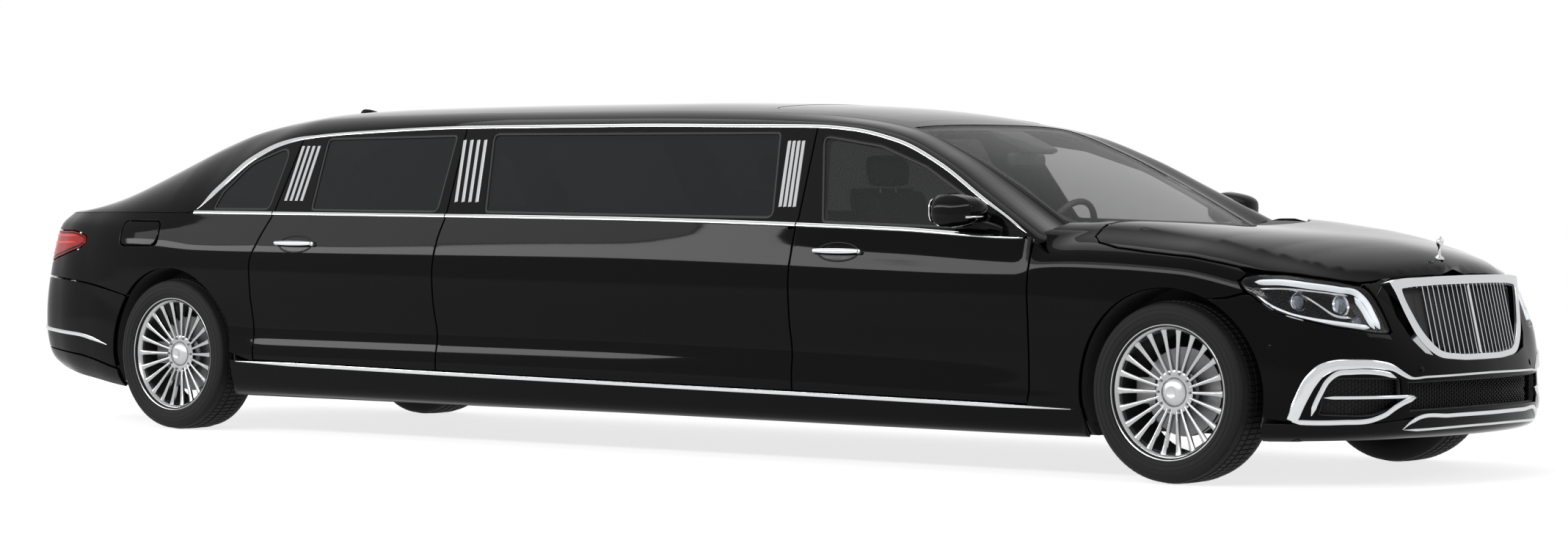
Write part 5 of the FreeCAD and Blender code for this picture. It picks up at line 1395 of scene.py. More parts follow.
fixed_trim = Making()
for side, hand in SIDES:
    rail_form, low, high = hand_form(upper, hand), hand_form(flank, hand), hand_form(glass_side, hand)
    xs = np.linspace(-2.50, 2.255, 260)
    fat = np.interp(xs, [-2.5, -2.44, -2.30, -2.05, -1.9], [.9, 2.0, 2.5, 1.5, 1.0])
    steps = np.stack([fat, np.ones_like(fat)], -1)
    fixed_trim.add(*strip(rail_form, xs, .004 + .045 * (fat - 1) / 1.5, .0075, .005, -hand, taper=.10,
                          steps=steps))
    fixed_trim.add(*belt_strip(-2.50, float(shut("rear_trail", 1.0)) - GAP, hand))
    fixed_trim.add(*belt_strip(float(shut("rear_lead", 1.0)) + GAP, float(shut("front_trail", 1.0)) - GAP,
                               hand))
    xs = np.linspace(-2.19, 2.47, 200)
    at = laid(np.stack([xs, sill(xs)], -1))
    fixed_trim.add(*strip(low, at[:, 0], at[:, 1], .0085, .006, -hand, taper=.35, sink=.003))
    pillar_slats(fixed_trim, high, hand, (-.863, -.821, -.780, -.738), 1.058, 1.330, .30)
    pillar_slats(fixed_trim, high, hand, (.975, 1.000, 1.025, 1.050), 1.045, 1.316, .245)
    for place, back, stop in (("rear", "rear_trail", float(shut("rear_lead", 1.0)) - GAP),
                              ("front", "front_trail", 2.235)):
        door_trim = Making()
        door_trim.add(*belt_strip(float(shut(back, 1.0)) + GAP, stop, hand))
        if place == "rear":
            pillar_slats(door_trim, high, hand, (-1.931, -1.897, -1.863, -1.829), 1.060, 1.309, .07)
        door_trim.build(f"{place}_door_brightwork_{side}", [BRIGHT], f"{place}_door_{side}", (),
                        "bright_trim")
fixed_trim.build("fixed_brightwork", [BRIGHT], "chassis", (), "bright_trim")
print("side brightwork built")

# %% [markdown]
# Each handle is a bright pull bar before a black bowl. The bar could be a straight rod, but then it would
# float off the curved door, so it is swept along points that lie on the door's surface and lifted off along
# its normals.

# %% Door handles
# A thin gloss-black oval on the door skin with a bright pull bar across it
HANDLE_Z, BAR_HALF, BOWL = .868, .114, (.104, .037)
FOOT_PROFILE = [(0, -.002), (.013, -.002), (.012, .010), (.009, .016), (0, .018)]

for side, hand in SIDES:
    low = hand_form(flank, hand)
    for place, mid in (("rear", -1.7985), ("front", 1.321)):
        handle = Making()
        xs = np.linspace(-BAR_HALF, BAR_HALF, 25)
        base = laid(np.stack([mid + xs, np.full(25, HANDLE_Z)], -1))
        path, normal = line(low, base[:, 0], base[:, 1])
        normal = normal * -hand
        size = np.stack([.55 + .45 * np.sqrt(np.clip(1 - (xs / .12) ** 2, 0, 1)), np.ones(25)], -1)
        handle.add(*sweep(path + normal * .016, normal, oval(.0118, .0085, 14), False, size), finish=0)
        at = laid([(mid + a, HANDLE_Z - .001 + b) for a, b in oval(*BOWL, 48)])
        handle.add(*plate(low, [at], .02, .0005, METRIC, .0002, -hand), finish=1)
        path, out = line(low, at[:, 0], at[:, 1])
        handle.add(*sweep(path, out * -hand, bar_shape(.0040, .0022, .001), True), finish=1)
        for end in (-.112, .112):
            foot = laid([(mid + end, HANDLE_Z)])[0]
            spot, out = line(low, [foot[0]], [foot[1]])
            handle.add(*lathe(FOOT_PROFILE, spot[0], out[0] * -hand, 20), finish=0)
        handle.build(f"{place}_door_handle_{side}", [BRIGHT, GLOSS], f"{place}_door_{side}", (),
                     "bright_trim")
print("door handles built")

# %% [markdown]
# The fuel flap is a small leaf of the quarter panel itself. It is cut from the same surface, with a fuller
# rim at its hinge so that it can turn there without touching the edge of its opening.

# %% Fuel flap and its seam
def flap_roll(loop):
    """A fuller edge beside the hinge, which turns past the rim as the flap swings out."""
    return np.clip(.002 + .5 * (loop[:, 0] + 2.734), .002, .0075)


flap = Making()
leaf = laid(soften([(-2.973, .855, .03), (-2.7205, .856, .055), (-2.7205, .962, .03), (-2.973, .962, .03)],
                   6))
flap.add(*plate(hand_form(flank, -1), [even(leaf, .02)], .02, .010, METRIC, flap_roll, 1), finish=0)
flap.build("fuel_flap_cover", [PAINT], "fuel_flap", ["fuel_flap"], "paint")
print("fuel flap built")

# %% [markdown]
# The front bumper is one moulding from wheel arch to wheel arch. It is cut out of the same body surface,
# carried on past the middle of the nose, with holes for the three intakes. Black mesh stands behind the
# holes, and a bright C frames each outer one. The grille stands a little proud on its own gently bowed
# surface.

# %% Bumper with its intakes
LAMP_UNDER = [(3.262, 6.46), (3.308, 6.24), (3.368, 5.99), (3.444, 5.81), (3.593, 5.50), (3.762, 5.28),
              (3.845, 5.26), (3.862, 5.36), (3.850, 5.82), (3.833, 6.38), (3.812, 6.85), (3.792, 7.20),
              (3.775, 7.38)]
GRILLE_EDGE = [(3.915, 7.62), (3.900, 6.97), (3.906, 6.06), (3.960, 5.10), (4.02, 4.50), (4.12, 4.24),
               (4.26, 4.14), (NOSE_S, 4.12)]
INTAKE = even(soften([(3.562, 3.40, .08), (3.872, 3.40, .05), (3.878, 2.30, .05), (3.745, 1.86, .08),
                      (3.530, 1.94, .08)], 5))
WIDE = [(3.905, 3.22), (4.10, 3.26), (NOSE_S, 3.28)]
LOW = [(3.915, 2.06), (4.10, 2.08), (NOSE_S, 2.10)]
MIDDLE_INTAKE = np.concatenate([spanning(WIDE, NOSE_S), spanning(LOW, NOSE_S)[::-1]])
MIDDLE_INTAKE = even(MIDDLE_INTAKE)
arch_run = laid(arch(FRONT_X, 63.5, -18, 60))
arch_run = arch_run[arch_run[:, 1] > 1.72]
skirt_top = spanning([(arch_run[-1, 0] + .004, 1.70), (3.45, 1.66), (3.75, 1.62), (3.88, 1.74),
                      (4.0, 1.90), (NOSE_S, 1.94)], NOSE_S)
half = np.concatenate([[(3.167, 6.12), (3.236, 6.42)], LAMP_UNDER, [(3.845, 7.46), (3.905, 7.70)],
                       GRILLE_EDGE])
upper_edge = spanning(half, NOSE_S)
side_down = arch_run[::-1]
loop = np.concatenate([side_down, upper_edge, beyond(side_down, NOSE_S), skirt_top[::-1][1:-1]])
loop = even(loop)
bumper = Making()
bumper.add(*plate(wrap, [loop, INTAKE, beyond(INTAKE, NOSE_S), MIDDLE_INTAKE], .020, .025, METRIC, .003,
                  1), finish=0, back=1)
low_run = laid(arch(FRONT_X, -8, -28, 20))
low_run = low_run[low_run[:, 1] < 1.64]
skirt_half = [(low_run[0, 0], 1.62), (3.45, 1.60), (3.75, 1.56), (3.88, 1.68), (4.0, 1.84), (NOSE_S, 1.88)]
foot_half = [(low_run[-1, 0] + .01, .36), (3.60, .34), (3.9, .32), (4.1, .31), (NOSE_S - .012, .31)]
skirt = np.concatenate([spanning(skirt_half, NOSE_S), spanning(foot_half, NOSE_S)[::-1]])
bumper.add(*plate(wrap, [even(skirt)], .022, .02, METRIC, .003, 1), finish=2, back=1)
bumper.build("front_bumper_shell", [PAINT, UNDER, GLOSS], "chassis", ["front_bumper"], "paint")
print("bumper built")

# %% [markdown]
# Black honeycomb fills the bumper's openings. A bump map would look flat from the side, so one hexagonal
# cell is modelled and Geometry Nodes put it on every point of a staggered grid, turned to face the way the
# bumper does.

# %% Mesh behind the intakes
def hex_ring(wide=.0095, wall=.0016, deep=.005):
    """One six-sided cell of black mesh, lying in XZ, facing -Y."""
    points, faces = [], []
    for y in (-deep / 2, deep / 2):
        for radius in (wide, wide - wall):
            for k in range(6):
                a = math.radians(60 * k)
                points.append((radius * math.cos(a), y, radius * math.sin(a)))
    for k in range(6):
        j = (k + 1) % 6
        faces += [[k, j, 6 + j, 6 + k], [12 + k, 18 + k, 18 + j, 12 + j], [k, 12 + k, 12 + j, j],
                  [6 + k, 6 + j, 18 + j, 18 + k]]
    return right_way(np.array(points), faces)


def mesh_field(form, loop, name, cell=.0172):
    """Cells laid over the inside of an outline on a surface, every one turned to face along its normal."""
    flat = loop * METRIC
    low, high = flat.min(0), flat.max(0)
    gx, gy = np.meshgrid(np.arange(low[0], high[0], cell * .866), np.arange(low[1], high[1], cell))
    gy[:, ::2] += cell / 2
    spots = np.stack([gx.ravel(), gy.ravel()], -1)
    spots = spots[inside(spots, [flat])] / METRIC
    at, out = line(form, *spots.T)
    turns = np.stack([np.zeros(len(out)), np.zeros(len(out)), np.arctan2(out[:, 0], -out[:, 1])], -1)
    return spread(name, FIELD, hex_ring(), (at, turns), Size=1.0, Finish=GLOSS)


deep_face = sunk(wrap, .030, 1)
mesh = Making()
for number, region in enumerate((INTAKE, beyond(INTAKE, NOSE_S), MIDDLE_INTAKE)):
    mesh.add(*mesh_field(deep_face, widen(region, .004), f"mesh_{number}"), finish=0)
    mesh.add(*plate(sunk(wrap, .055, 1), [widen(region, .02)], .03, .004, METRIC, .001, 1), finish=1)
    mesh.add(*plate(sunk(wrap, .012, 1), [widen(region, .006), widen(region, -.004)], .03, .045, METRIC,
                    .001, 1), finish=1)
mesh.build("intake_mesh", [GLOSS, MATT], "chassis", (), "dark_trim")
print("mesh built")

# %% [markdown]
# Polished strips outline the intakes and the lip below them. They are swept on the bumper's surface in (s,
# v), one side first; the other side is the same run mirrored beyond the middle of the nose.

# %% Bright trim of the bumper
trim = Making()
OUTER_C = [(3.428, 1.74), (3.448, 2.25), (3.474, 2.80), (3.503, 3.30), (3.540, 3.68), (3.590, 3.88),
           (3.66, 3.95), (3.77, 3.96), (3.835, 3.84), (3.880, 3.58), (3.912, 3.42), (4.00, 3.43),
           (4.15, 3.45), (4.29, 3.47), (NOSE_S, 3.48)]
INNER_C = [(3.503, 1.95), (3.518, 2.40), (3.540, 2.85), (3.565, 3.28), (3.600, 3.56), (3.66, 3.64),
           (3.76, 3.64), (3.81, 3.56), (3.85, 3.42)]
BASE_C = [(3.428, 1.70), (3.50, 1.66), (3.62, 1.66), (3.744, 1.74), (3.80, 1.98), (3.842, 2.24),
          (3.88, 2.42), (3.942, 2.60)]
at = curve(OUTER_C, 110)
fat = np.interp(at[:, 0], [3.43, 3.50, 3.60, 3.80, 3.90, 3.93, NOSE_S], [2.9, 3.4, 2.6, 2.1, 1.2, .60, .60])
for mirror in (False, True):
    run = beyond(at, NOSE_S) if mirror else at
    wide = fat[::-1] if mirror else fat
    trim.add(*strip(wrap, run[:, 0], run[:, 1], .0075, .007, 1,
                    steps=np.stack([wide, np.ones_like(wide)], -1), sink=.004))
    for points, width in ((INNER_C, .0105), (BASE_C, .0105)):
        mid = curve(points, 60)
        run = beyond(mid, NOSE_S) if mirror else mid
        trim.add(*strip(wrap, run[:, 0], run[:, 1], width, .006, 1, taper=.03, sink=.004))
    mid = np.array([(s, 2.64) for s in np.linspace(3.552, 3.940, 30)])
    run = beyond(mid, NOSE_S) if mirror else mid
    trim.add(*strip(sunk(wrap, .004, 1), run[:, 0], run[:, 1], .0065, .006, 1, taper=.03, sink=.006))
lip_top = spanning([(3.885, 1.24), (3.915, 1.56), (3.955, 1.78), (4.12, 1.83), (NOSE_S, 1.84)], NOSE_S)
lip_low = spanning([(3.89, 1.22), (3.93, 1.22), (4.12, 1.27), (4.30, 1.30), (NOSE_S, 1.30)], NOSE_S)
for run, width in ((lip_top, .0085), (lip_low, .0055)):
    run = curve(run, 160)
    trim.add(*strip(wrap, run[:, 0], run[:, 1], width, .010, 1, taper=.06, sink=.004))
trim.build("bumper_brightwork", [BRIGHT], "chassis", (), "bright_trim")

sensors = Making()
for place in ((3.348, 4.51), (3.98, 3.80)):
    for form, turn in ((hand_form(flank, -1), 1), (hand_form(flank, 1), -1)):
        spot, out = line(form, [place[0]], [place[1]])
        sensors.add(*lathe([(0, -.004), (.0125, -.004), (.0125, .0015), (.0105, .0028), (0, .0032)],
                           spot[0], out[0] * turn, 24), finish=0)
sensors.build("parking_sensors", [PAINT], "chassis", (), "paint")
print("bumper trim built")

# %% [markdown]
# The grille is a shield of thin upright blades inside a broad polished frame. Geometry Nodes put one
# modelled blade on every foot point, leaned back with the shield and stretched to reach the frame, as the
# real inserts do.

# %% Grille
def grille_face(y, z):
    """The bowed plane on which the grille lies."""
    y, z = paired(y, z)
    return np.stack([3.682 + .23 * (.791 - z) - .27 * y * y, y, z], -1)


SHIELD = [(0, .468), (.19, .472), (.305, .492), (.385, .560), (.432, .650), (.462, .735), (.479, .777),
          (.44, .783), (.30, .789), (0, .793)]
right_half = through(SHIELD, np.linspace(0, 1, 80))
shield = np.concatenate([right_half, (right_half * (-1, 1))[::-1][1:-1]])
INNER = [(0, .494), (.17, .497), (.275, .513), (.350, .576), (.396, .655), (.424, .728), (.4265, .744),
         (.40, .749), (.28, .756), (0, .760)]
inner_half = through(INNER, np.linspace(0, 1, 80))
opening = np.concatenate([inner_half, (inner_half * (-1, 1))[::-1][1:-1]])
grille = Making()
grille.add(*plate(grille_face, [shield, opening], .03, .055, (1, 1), .005, 1), finish=0)
grille.add(*plate(sunk(grille_face, .046, 1), [grow(opening, .012)], .05, .004, (1, 1), .001, 1), finish=1)
grille.add(*plate(sunk(grille_face, .010, 1), [grow(opening, .002), grow(opening, -.006)], .03, .02,
                  (1, 1), .001, 1), finish=2)
BLADES, BLADE_PITCH, BLADE_WIDE, MIDDLE_WIDE = 27, .828 / 27, .0029, .0058
upright = np.stack([np.zeros(6), np.zeros(6), np.linspace(0, 1, 6)], -1)
blade = sweep(upright, np.tile((1.0, 0, 0), (6, 1)), [
    (-BLADE_WIDE * .55, -.014), (-BLADE_WIDE, -.004), (-BLADE_WIDE * .6, .002), (0, .0035),
    (BLADE_WIDE * .6, .002), (BLADE_WIDE, -.004), (BLADE_WIDE * .55, -.014)])
ys = (np.arange(BLADES) - (BLADES - 1) / 2) * BLADE_PITCH
foot_z = np.interp(abs(ys), inner_half[:55, 0], inner_half[:55, 1]) - .004
head_z = .764 - .011 * (ys / .43) ** 2
feet, heads = sunk(grille_face, .010, 1)(ys, foot_z), sunk(grille_face, .010, 1)(ys, head_z)
rise = heads - feet
lean = np.stack([np.zeros(BLADES), np.arctan2(rise[:, 0], rise[:, 2]), np.zeros(BLADES)], -1)
wide = np.where(np.arange(BLADES) == BLADES // 2, MIDDLE_WIDE / BLADE_WIDE, 1)
stretch = np.stack([np.ones(BLADES), wide, np.linalg.norm(rise, axis=1)], -1)
grille.add(*spread("blades", FIELD, blade, (feet, lean, stretch), Size=1.0, Finish=BRIGHT), finish=0)
grille.build("grille_shield", [BRIGHT, MATT, GLOSS], "chassis", ["grille"], "bright_trim")
print("grille built, blades:", BLADES)

# %% [markdown]
# Each headlamp is a deep dark bowl with bright bezels, two projector lenses and light guides, under one
# clear cover that carries on the line of the wing. The cover is a real clear sheet, so the parts behind it
# show through.

# %% Headlamps
# (points in (s, v), width, height, finish) of each light guide and chrome run inside a headlamp
LAMP_RUNS = (
    ([(3.275, 7.02), (3.36, 7.14), (3.50, 7.20), (3.64, 7.22), (3.735, 7.12), (3.768, 6.75),
      (3.790, 6.2), (3.812, 5.55)], .0065, .010, 4),
    ([(3.715, 6.95), (3.745, 6.45), (3.768, 5.95), (3.786, 5.55)], .0045, .010, 4),
    ([(3.285, 6.50), (3.335, 6.25), (3.41, 6.03), (3.50, 5.87), (3.60, 5.77),
      (3.76, 5.60)], .0075, .012, 3),
    ([(3.470, 6.75), (3.540, 6.40), (3.600, 6.10), (3.68, 6.02)], .0045, .014, 2),
    ([(3.300, 6.78), (3.40, 6.92), (3.55, 7.00), (3.68, 6.99)], .0035, .008, 2),
)
lamps = Making()
for side, hand in SIDES:
    low = hand_form(flank, hand)
    loop = divide(soften([(s, v * .1, .06) for s, v in HEADLAMP], 4), .03) / METRIC
    lamps.add(*plate(low, [loop], .03, .004, METRIC, .0015, -hand), finish=0)
    lamps.add(*plate(sunk(low, .006, -hand), [widen(loop, .001), widen(loop, -.007)], .03, .045, METRIC,
                     .001, -hand), finish=1)
    bowl = sunk(low, .048, -hand)
    lamps.add(*plate(bowl, [widen(loop, .004)], .03, .004, METRIC, .001, -hand), finish=1)
    shelf = sunk(low, .018, -hand)
    for points, width, high, coat in LAMP_RUNS:
        run = curve(points, 40)
        lamps.add(*strip(shelf, run[:, 0], run[:, 1], width, high, -hand, taper=.02, sink=.012), finish=coat)
    for s, v, radius in ((3.445, 6.52, .030), (3.640, 6.62, .034), (3.705, 5.98, .017)):
        spot, out = line(bowl, [s], [v])
        ahead = out[0] * -hand * .55 + np.array((.83, 0, 0))
        ahead /= np.linalg.norm(ahead)
        lamps.add(*lathe([(radius * .98, -.01), (radius * 1.22, .012), (radius * 1.16, .020),
                          (radius * .96, .010)], spot[0], ahead, 40), finish=2)
        lamps.add(*lathe([(0, .0), (radius * .92, .002), (radius * .86, .012), (radius * .62, .021),
                          (radius * .30, .026), (0, .027)], spot[0], ahead, 40), finish=5)
lamps.build("headlamp_units", [LENS, GLOSS, LAMP_FACE, GLOW, GLOW, EYE], "chassis", ["headlamps"],
            "lamp_lens")
print("headlamps built")

# %% [markdown]
# Under the windscreen a black moulded cowl carries the wipers. The bonnet has a plain turned finial at its
# front: a profile spun round a nearly upright axis, which is how such a part is turned on a lathe.

# %% Cowl, wipers, ornament
WIPER_SHAPE = [(-.006, -.010), (-.007, 0), (-.003, .004), (.003, .004), (.007, 0), (.006, -.010)]
cowl = Making()
rear_edge = np.array([(2.617, 0.0), (2.603, .17), (2.55, .34), (2.455, .49), (2.37, .585), (2.335, .645)])
front_edge = np.array([(2.488, .745), (2.515, .690), (2.57, .602), (2.65, .505), (2.704, .386),
                       (2.728, .22), (2.733, 0.0)])
half = divide(np.concatenate([rear_edge, front_edge]), .03, closed=False)
loop = np.concatenate([half, (half * (1, -1))[::-1][1:-1]])


def cowl_face(x, y):
    spot = over_nose(x, y)
    spot[:, 2] = np.minimum(spot[:, 2], 1.02) - .012
    return spot


cowl.add(*plate(cowl_face, [loop], .03, .03, (1, 1), .002, 1), finish=0)
for y0, y1, ahead in ((-.55, -.01, 2.578), (-.03, .55, 2.590)):
    ts = np.linspace(0, 1, 30)
    ys = y0 + (y1 - y0) * ts
    xs = ahead - .62 * ys ** 2
    path = across(xs, ys)
    path[:, 2] = path[:, 2] + .014
    cowl.add(*sweep(path, np.tile((.45, 0, .9), (30, 1)), WIPER_SHAPE), finish=1)
cowl.build("cowl_and_wipers", [MATT, SEAL], "chassis", ["cowl_panel"], "dark_trim")

ornament = Making()
top = over_nose([3.552], [0.0])[0]
ornament.add(*lathe([(0, -.004), (.020, -.004), (.0195, .002), (.013, .007), (.0065, .013), (.0050, .026),
                     (.0062, .040), (.0125, .052), (.0145, .062), (.0125, .073), (.006, .081),
                     (.0025, .086), (0, .087)], top, (.06, 0, 1), 32), finish=0)
ornament.build("bonnet_finial", [BRIGHT], "bonnet", ["bonnet_ornament"], "bright_trim")
print("cowl, wipers and finial built")

# %% [markdown]
# A mirror housing is a rounded block that tapers outwards. Rings that are neither circles nor squares, set
# one after another across the car, give its soft corners, and the faces between them close the shell.

# %% Door mirrors
MIRROR_X, MIRROR_Z = 1.955, 1.036
for side, hand in SIDES:
    mirror = Making()
    rings = []
    for y, wide, deep, dz, dx in ((.905, .046, .064, -.014, .012), (.918, .058, .084, -.006, .006),
                                  (.940, .064, .094, 0, .002), (.985, .068, .098, .002, 0),
                                  (1.030, .064, .092, .001, -.004), (1.052, .050, .070, -.003, -.010),
                                  (1.0635, .024, .034, -.006, -.020)):
        ring = []
        for px, pz in squarish(36, .62):
            front = 1.10 if px > 0 else .75
            ring.append((MIRROR_X + dx + px * deep * 1.12 * front, hand * y,
                         MIRROR_Z + dz + pz * wide * (1 - .22 * max(px, 0))))
        rings.append(ring)
    mirror.add(*loft(rings), finish=0)
    path = np.array([(2.115, hand * .895, .962), (2.092, hand * .915, .974), (2.056, hand * .940, .986),
                     (2.022, hand * .965, .992)])
    mirror.add(*sweep(path, np.tile((0, 0, 1.0), (4, 1)), oval(.030, .014, 20)), finish=0)
    ys = np.linspace(.925, 1.048, 12)
    path = np.stack([MIRROR_X + .1176 - .9 * (ys - .985) ** 2 * 6, hand * ys, np.full(12, 1.012)], -1)
    mirror.add(*sweep(path, np.tile((1.0, 0, 0), (12, 1)), bar_shape(.0045, .004, .02)), finish=1)
    edge = squarish(32, .7)
    glass = np.array([(MIRROR_X - .0835, hand * (.990 + .054 * a), MIRROR_Z + .050 * b) for a, b in edge])
    mirror.add(*loft([glass, glass - (.004, 0, 0)]), finish=2)
    corner = np.array([(2.155, .962), (2.225, .956), (2.120, 1.010), (2.060, 1.040), (2.050, .995)])
    mirror.add(*plate(sunk(hand_form(glass_side, hand), -.001, -hand),
                      [divide(soften([(x, z, .012) for x, z in corner], 4), .02)], .03, .012, (1, 1), .002,
                      -hand), finish=0)
    mirror.build(f"mirror_{side}", [GLOSS, BRIGHT, LAMP_FACE], f"front_door_{side}",
                 [f"door_mirror_{side}"], "paint")
print("mirrors built")

# %% [markdown]
# A cast wheel is a turned rim with a face of thin polished spokes. The rim is a profile turned round the
# axle. One spoke is modelled, narrow at the hub and flaring to the rim, and Geometry Nodes repeat it
# twenty-two times; the wheel bolts come the same way. The tyre is turned too, and its tread blocks are
# repeated round it.

# %% Rim, spokes, cap and bolts
SPOKES, BOLTS = 22, 10
TRACK = .812
MIDDLE = (0, 0, 0)


def spoke_unit():
    """One spoke reaching out along +X, its face towards -Y, as (points, faces)."""
    rings = []
    for radius, half, face, thick in ((.070, .0062, -.060, .030), (.088, .0052, -.0635, .026),
                                      (.115, .0056, -.068, .022), (.150, .0068, -.073, .020),
                                      (.190, .0086, -.078, .019), (.220, .0106, -.0825, .018),
                                      (.238, .0135, -.086, .018), (.246, .0175, -.088, .018)):
        crown = min(.004, half * .45)
        rings.append([(radius, face + thick, -half * .55), (radius, face + crown, -half),
                      (radius, face + crown * .25, -half * .62), (radius, face, 0),
                      (radius, face + crown * .25, half * .62), (radius, face + crown, half),
                      (radius, face + thick, half * .55)])
    return loft(rings)


def bolt_unit():
    """A wheel bolt: a round collar with a six-sided head, standing at its place on the bolt circle."""
    profile = [(0, -.0665), (.0046, -.0665), (.0052, -.0655), (.0052, -.060), (.0075, -.0595),
               (.0078, -.054), (0, -.054)]
    return lathe(profile, (.0735, 0, 0), count=12)


BARREL_PROFILE = [(.236, .106), (.258, .106), (.262, .103), (.262, .099), (.250, .096), (.246, .080),
                  (.238, .02), (.232, -.02), (.234, -.070), (.2325, -.070), (.2300, -.020), (.2300, .02),
                  (.234, .09)]
LIP_PROFILE = [(.2345, -.066), (.238, -.080), (.248, -.094), (.2600, -.0975), (.2635, -.101),
               (.263, -.1070), (.2595, -.1090), (.2560, -.1075), (.2535, -.101), (.2500, -.0950),
               (.2440, -.0910), (.2400, -.086), (.2340, -.074)]
HUB_PROFILE = [(0, -.060), (.060, -.0605), (.078, -.0600), (.0845, -.0575), (.088, -.048), (.088, -.02),
               (.07, .010), (0, .010)]
CAP_PROFILE = [(0, -.0790), (.020, -.0788), (.022, -.0802), (.025, -.0800), (.035, -.0775), (.046, -.0725),
               (.054, -.0665), (.0575, -.0615), (.0575, -.056), (0, -.056)]
DISC_PROFILE = [(.070, -.020), (.170, -.020), (.172, -.017), (.172, .005), (.170, .008), (.070, .008)]

WHEELS = {"front_left": (FRONT_X, 1), "front_right": (FRONT_X, -1), "rear_left": (REAR_X, 1),
          "rear_right": (REAR_X, -1)}
spokes = spread("spokes", RING, spoke_unit(), Count=SPOKES, Turn=2 * math.pi / SPOKES, Finish=ALLOY)
bolts = spread("bolts", RING, bolt_unit(), Count=BOLTS, Turn=2 * math.pi / BOLTS, Finish=STEEL)


def standing(shape, axle, hand):
    """A part modelled round Y, its face towards -Y, put on an axle and turned to its side of the car."""
    points, faces = shape
    return points * (-hand, -hand, 1) + (axle, TRACK * hand, AXLE_Z), faces


WHEEL_PARTS = [
    (lathe(LIP_PROFILE, MIDDLE, count=128), 0),
    # the barrel is the same alloy as the spokes, painted dark for the shade that falls inside the wheel
    (lathe(BARREL_PROFILE, MIDDLE, count=96), 3),
    (spokes, 0),
    (lathe(HUB_PROFILE, MIDDLE, count=64), 0),
    (lathe(CAP_PROFILE, MIDDLE, count=64), 1),
    (bolts, 2),
    (lathe(DISC_PROFILE, (0, .03, 0), count=96), 2),
]
for name, (axle, hand) in WHEELS.items():
    wheel = Making()
    for shape, coat in WHEEL_PARTS:
        wheel.add(*standing(shape, axle, hand), finish=coat)
    wheel.build(f"wheel_cast_{name}", [ALLOY, BRUSHED, STEEL, PAINTED_SHADE_ALLOY], f"wheel_{name}",
                [f"wheel_{name}"], "alloy", sharp=38)
print("wheels built, points in one spoke ring:", len(spokes[0]))

# %% [markdown]
# The tyre's section is turned round the axle with its bead, sidewall and shoulder. Tread blocks are real
# geometry, one pitch modelled and repeated, because the gaps between them show against the light at the
# tyre's edge.

# %% Tyres
TYRE_PROFILE = [(.2610, -.1075), (.2650, -.1135), (.2760, -.1185), (.2900, -.1215), (.3050, -.1220),
                (.3200, -.1195), (.3330, -.1140), (.3400, -.1060), (.3435, -.0950), (.3452, -.080),
                (.3456, -.045), (.3457, 0), (.3456, .045), (.3452, .080), (.3435, .0950), (.3400, .1060),
                (.3330, .1140), (.3200, .1195), (.3050, .1220), (.2900, .1215), (.2760, .1185),
                (.2640, .1140), (.2580, .1100), (.2500, .1060), (.2490, .060), (.2490, -.060),
                (.2500, -.1060)]


def tread_unit():
    """Five blocks side by side across the tread, with grooves between, one pitch long round the tyre."""
    points, faces = [], []
    for a, b, lean in ((-.104, -.072, .004), (-.066, -.030, -.003), (-.023, .023, .002),
                       (.030, .066, .003), (.072, .104, -.004)):
        first = len(points)
        half = .0102
        for r, trim_by in ((.342, 0), (.3497 - .0035 * (abs(a + b) / 2 / .09) ** 2, .0012)):
            for y, z in ((a + trim_by, -half + trim_by), (b - trim_by, -half + lean + trim_by),
                         (b - trim_by, half + lean - trim_by), (a + trim_by, half - trim_by)):
                drop = .004 if r > .343 and abs(y) > .095 else 0
                points.append((r - drop, y, z))
        faces += [[first + k for k in f] for f in ([0, 1, 5, 4], [1, 2, 6, 5], [2, 3, 7, 6], [3, 0, 4, 7],
                                                   [4, 5, 6, 7], [3, 2, 1, 0])]
    return right_way(np.array(points), faces)


BLOCKS = 92
tread = spread("tread", RING, tread_unit(), Count=BLOCKS, Turn=2 * math.pi / BLOCKS, Finish=RUBBER)
TYRE_PARTS = [lathe(TYRE_PROFILE, MIDDLE, count=120), tread]
for radius, along in ((.2785, -.1196), (.2980, -.1222), (.3170, -.1203)):
    TYRE_PARTS.append(lathe(oval(.0011, .0011, 8) + (radius, along), MIDDLE, count=120))
for name, (axle, hand) in WHEELS.items():
    tyre = Making()
    for shape in TYRE_PARTS:
        tyre.add(*standing(shape, axle, hand), finish=0)
    tyre.build(f"tyre_{name}_treaded", [RUBBER], f"wheel_{name}", [f"tyre_{name}"], "tyre", sharp=28)
print("tyres built")

# %% [markdown]
# The tail has a bumper moulding like the nose's, with a bright strip, a dark lower valance and exhaust
# outlets, and wide lamps that wrap round the corners. The inner part of each lamp is on the boot lid and
# goes up with it.

# %% Rear bumper
arch_run = laid(arch(REAR_X, 139.5, 196, 50))
arch_run = arch_run[arch_run[:, 1] > 1.62]
top_half = [(-2.955, 4.36), (-3.10, 4.38), (-3.27, 4.43), (-3.604, 4.70), (-3.80, 4.76), (-3.96, 4.79),
            (-4.2, 4.83), (TAIL_S, 4.85)]
skirt_half = [(arch_run[-1, 0] - .004, 1.60), (-3.40, 1.58), (-3.75, 1.58), (-3.95, 1.75), (-4.2, 1.78),
              (TAIL_S, 1.78)]
top, skirt_line = spanning(top_half, TAIL_S), spanning(skirt_half, TAIL_S)
loop = np.concatenate([arch_run[::-1], top, beyond(arch_run[::-1], TAIL_S), skirt_line[::-1][1:-1]])
loop = even(loop)
rear_bumper = Making()
rear_bumper.add(*plate(wrap, [loop], .024, .025, METRIC, .003, 1), finish=0, back=1)
low_run = laid(arch(REAR_X, 185, 206, 16))
low_run = low_run[low_run[:, 1] < 1.54]
lower_top = spanning([(low_run[0, 0], 1.53), (-3.40, 1.52), (-3.75, 1.52), (-3.95, 1.69), (-4.2, 1.72),
                      (TAIL_S, 1.72)], TAIL_S)
foot = spanning([(low_run[-1, 0] - .01, .35), (-3.40, .35), (-3.75, .35), (-4.1, .35), (TAIL_S, .35)], TAIL_S)
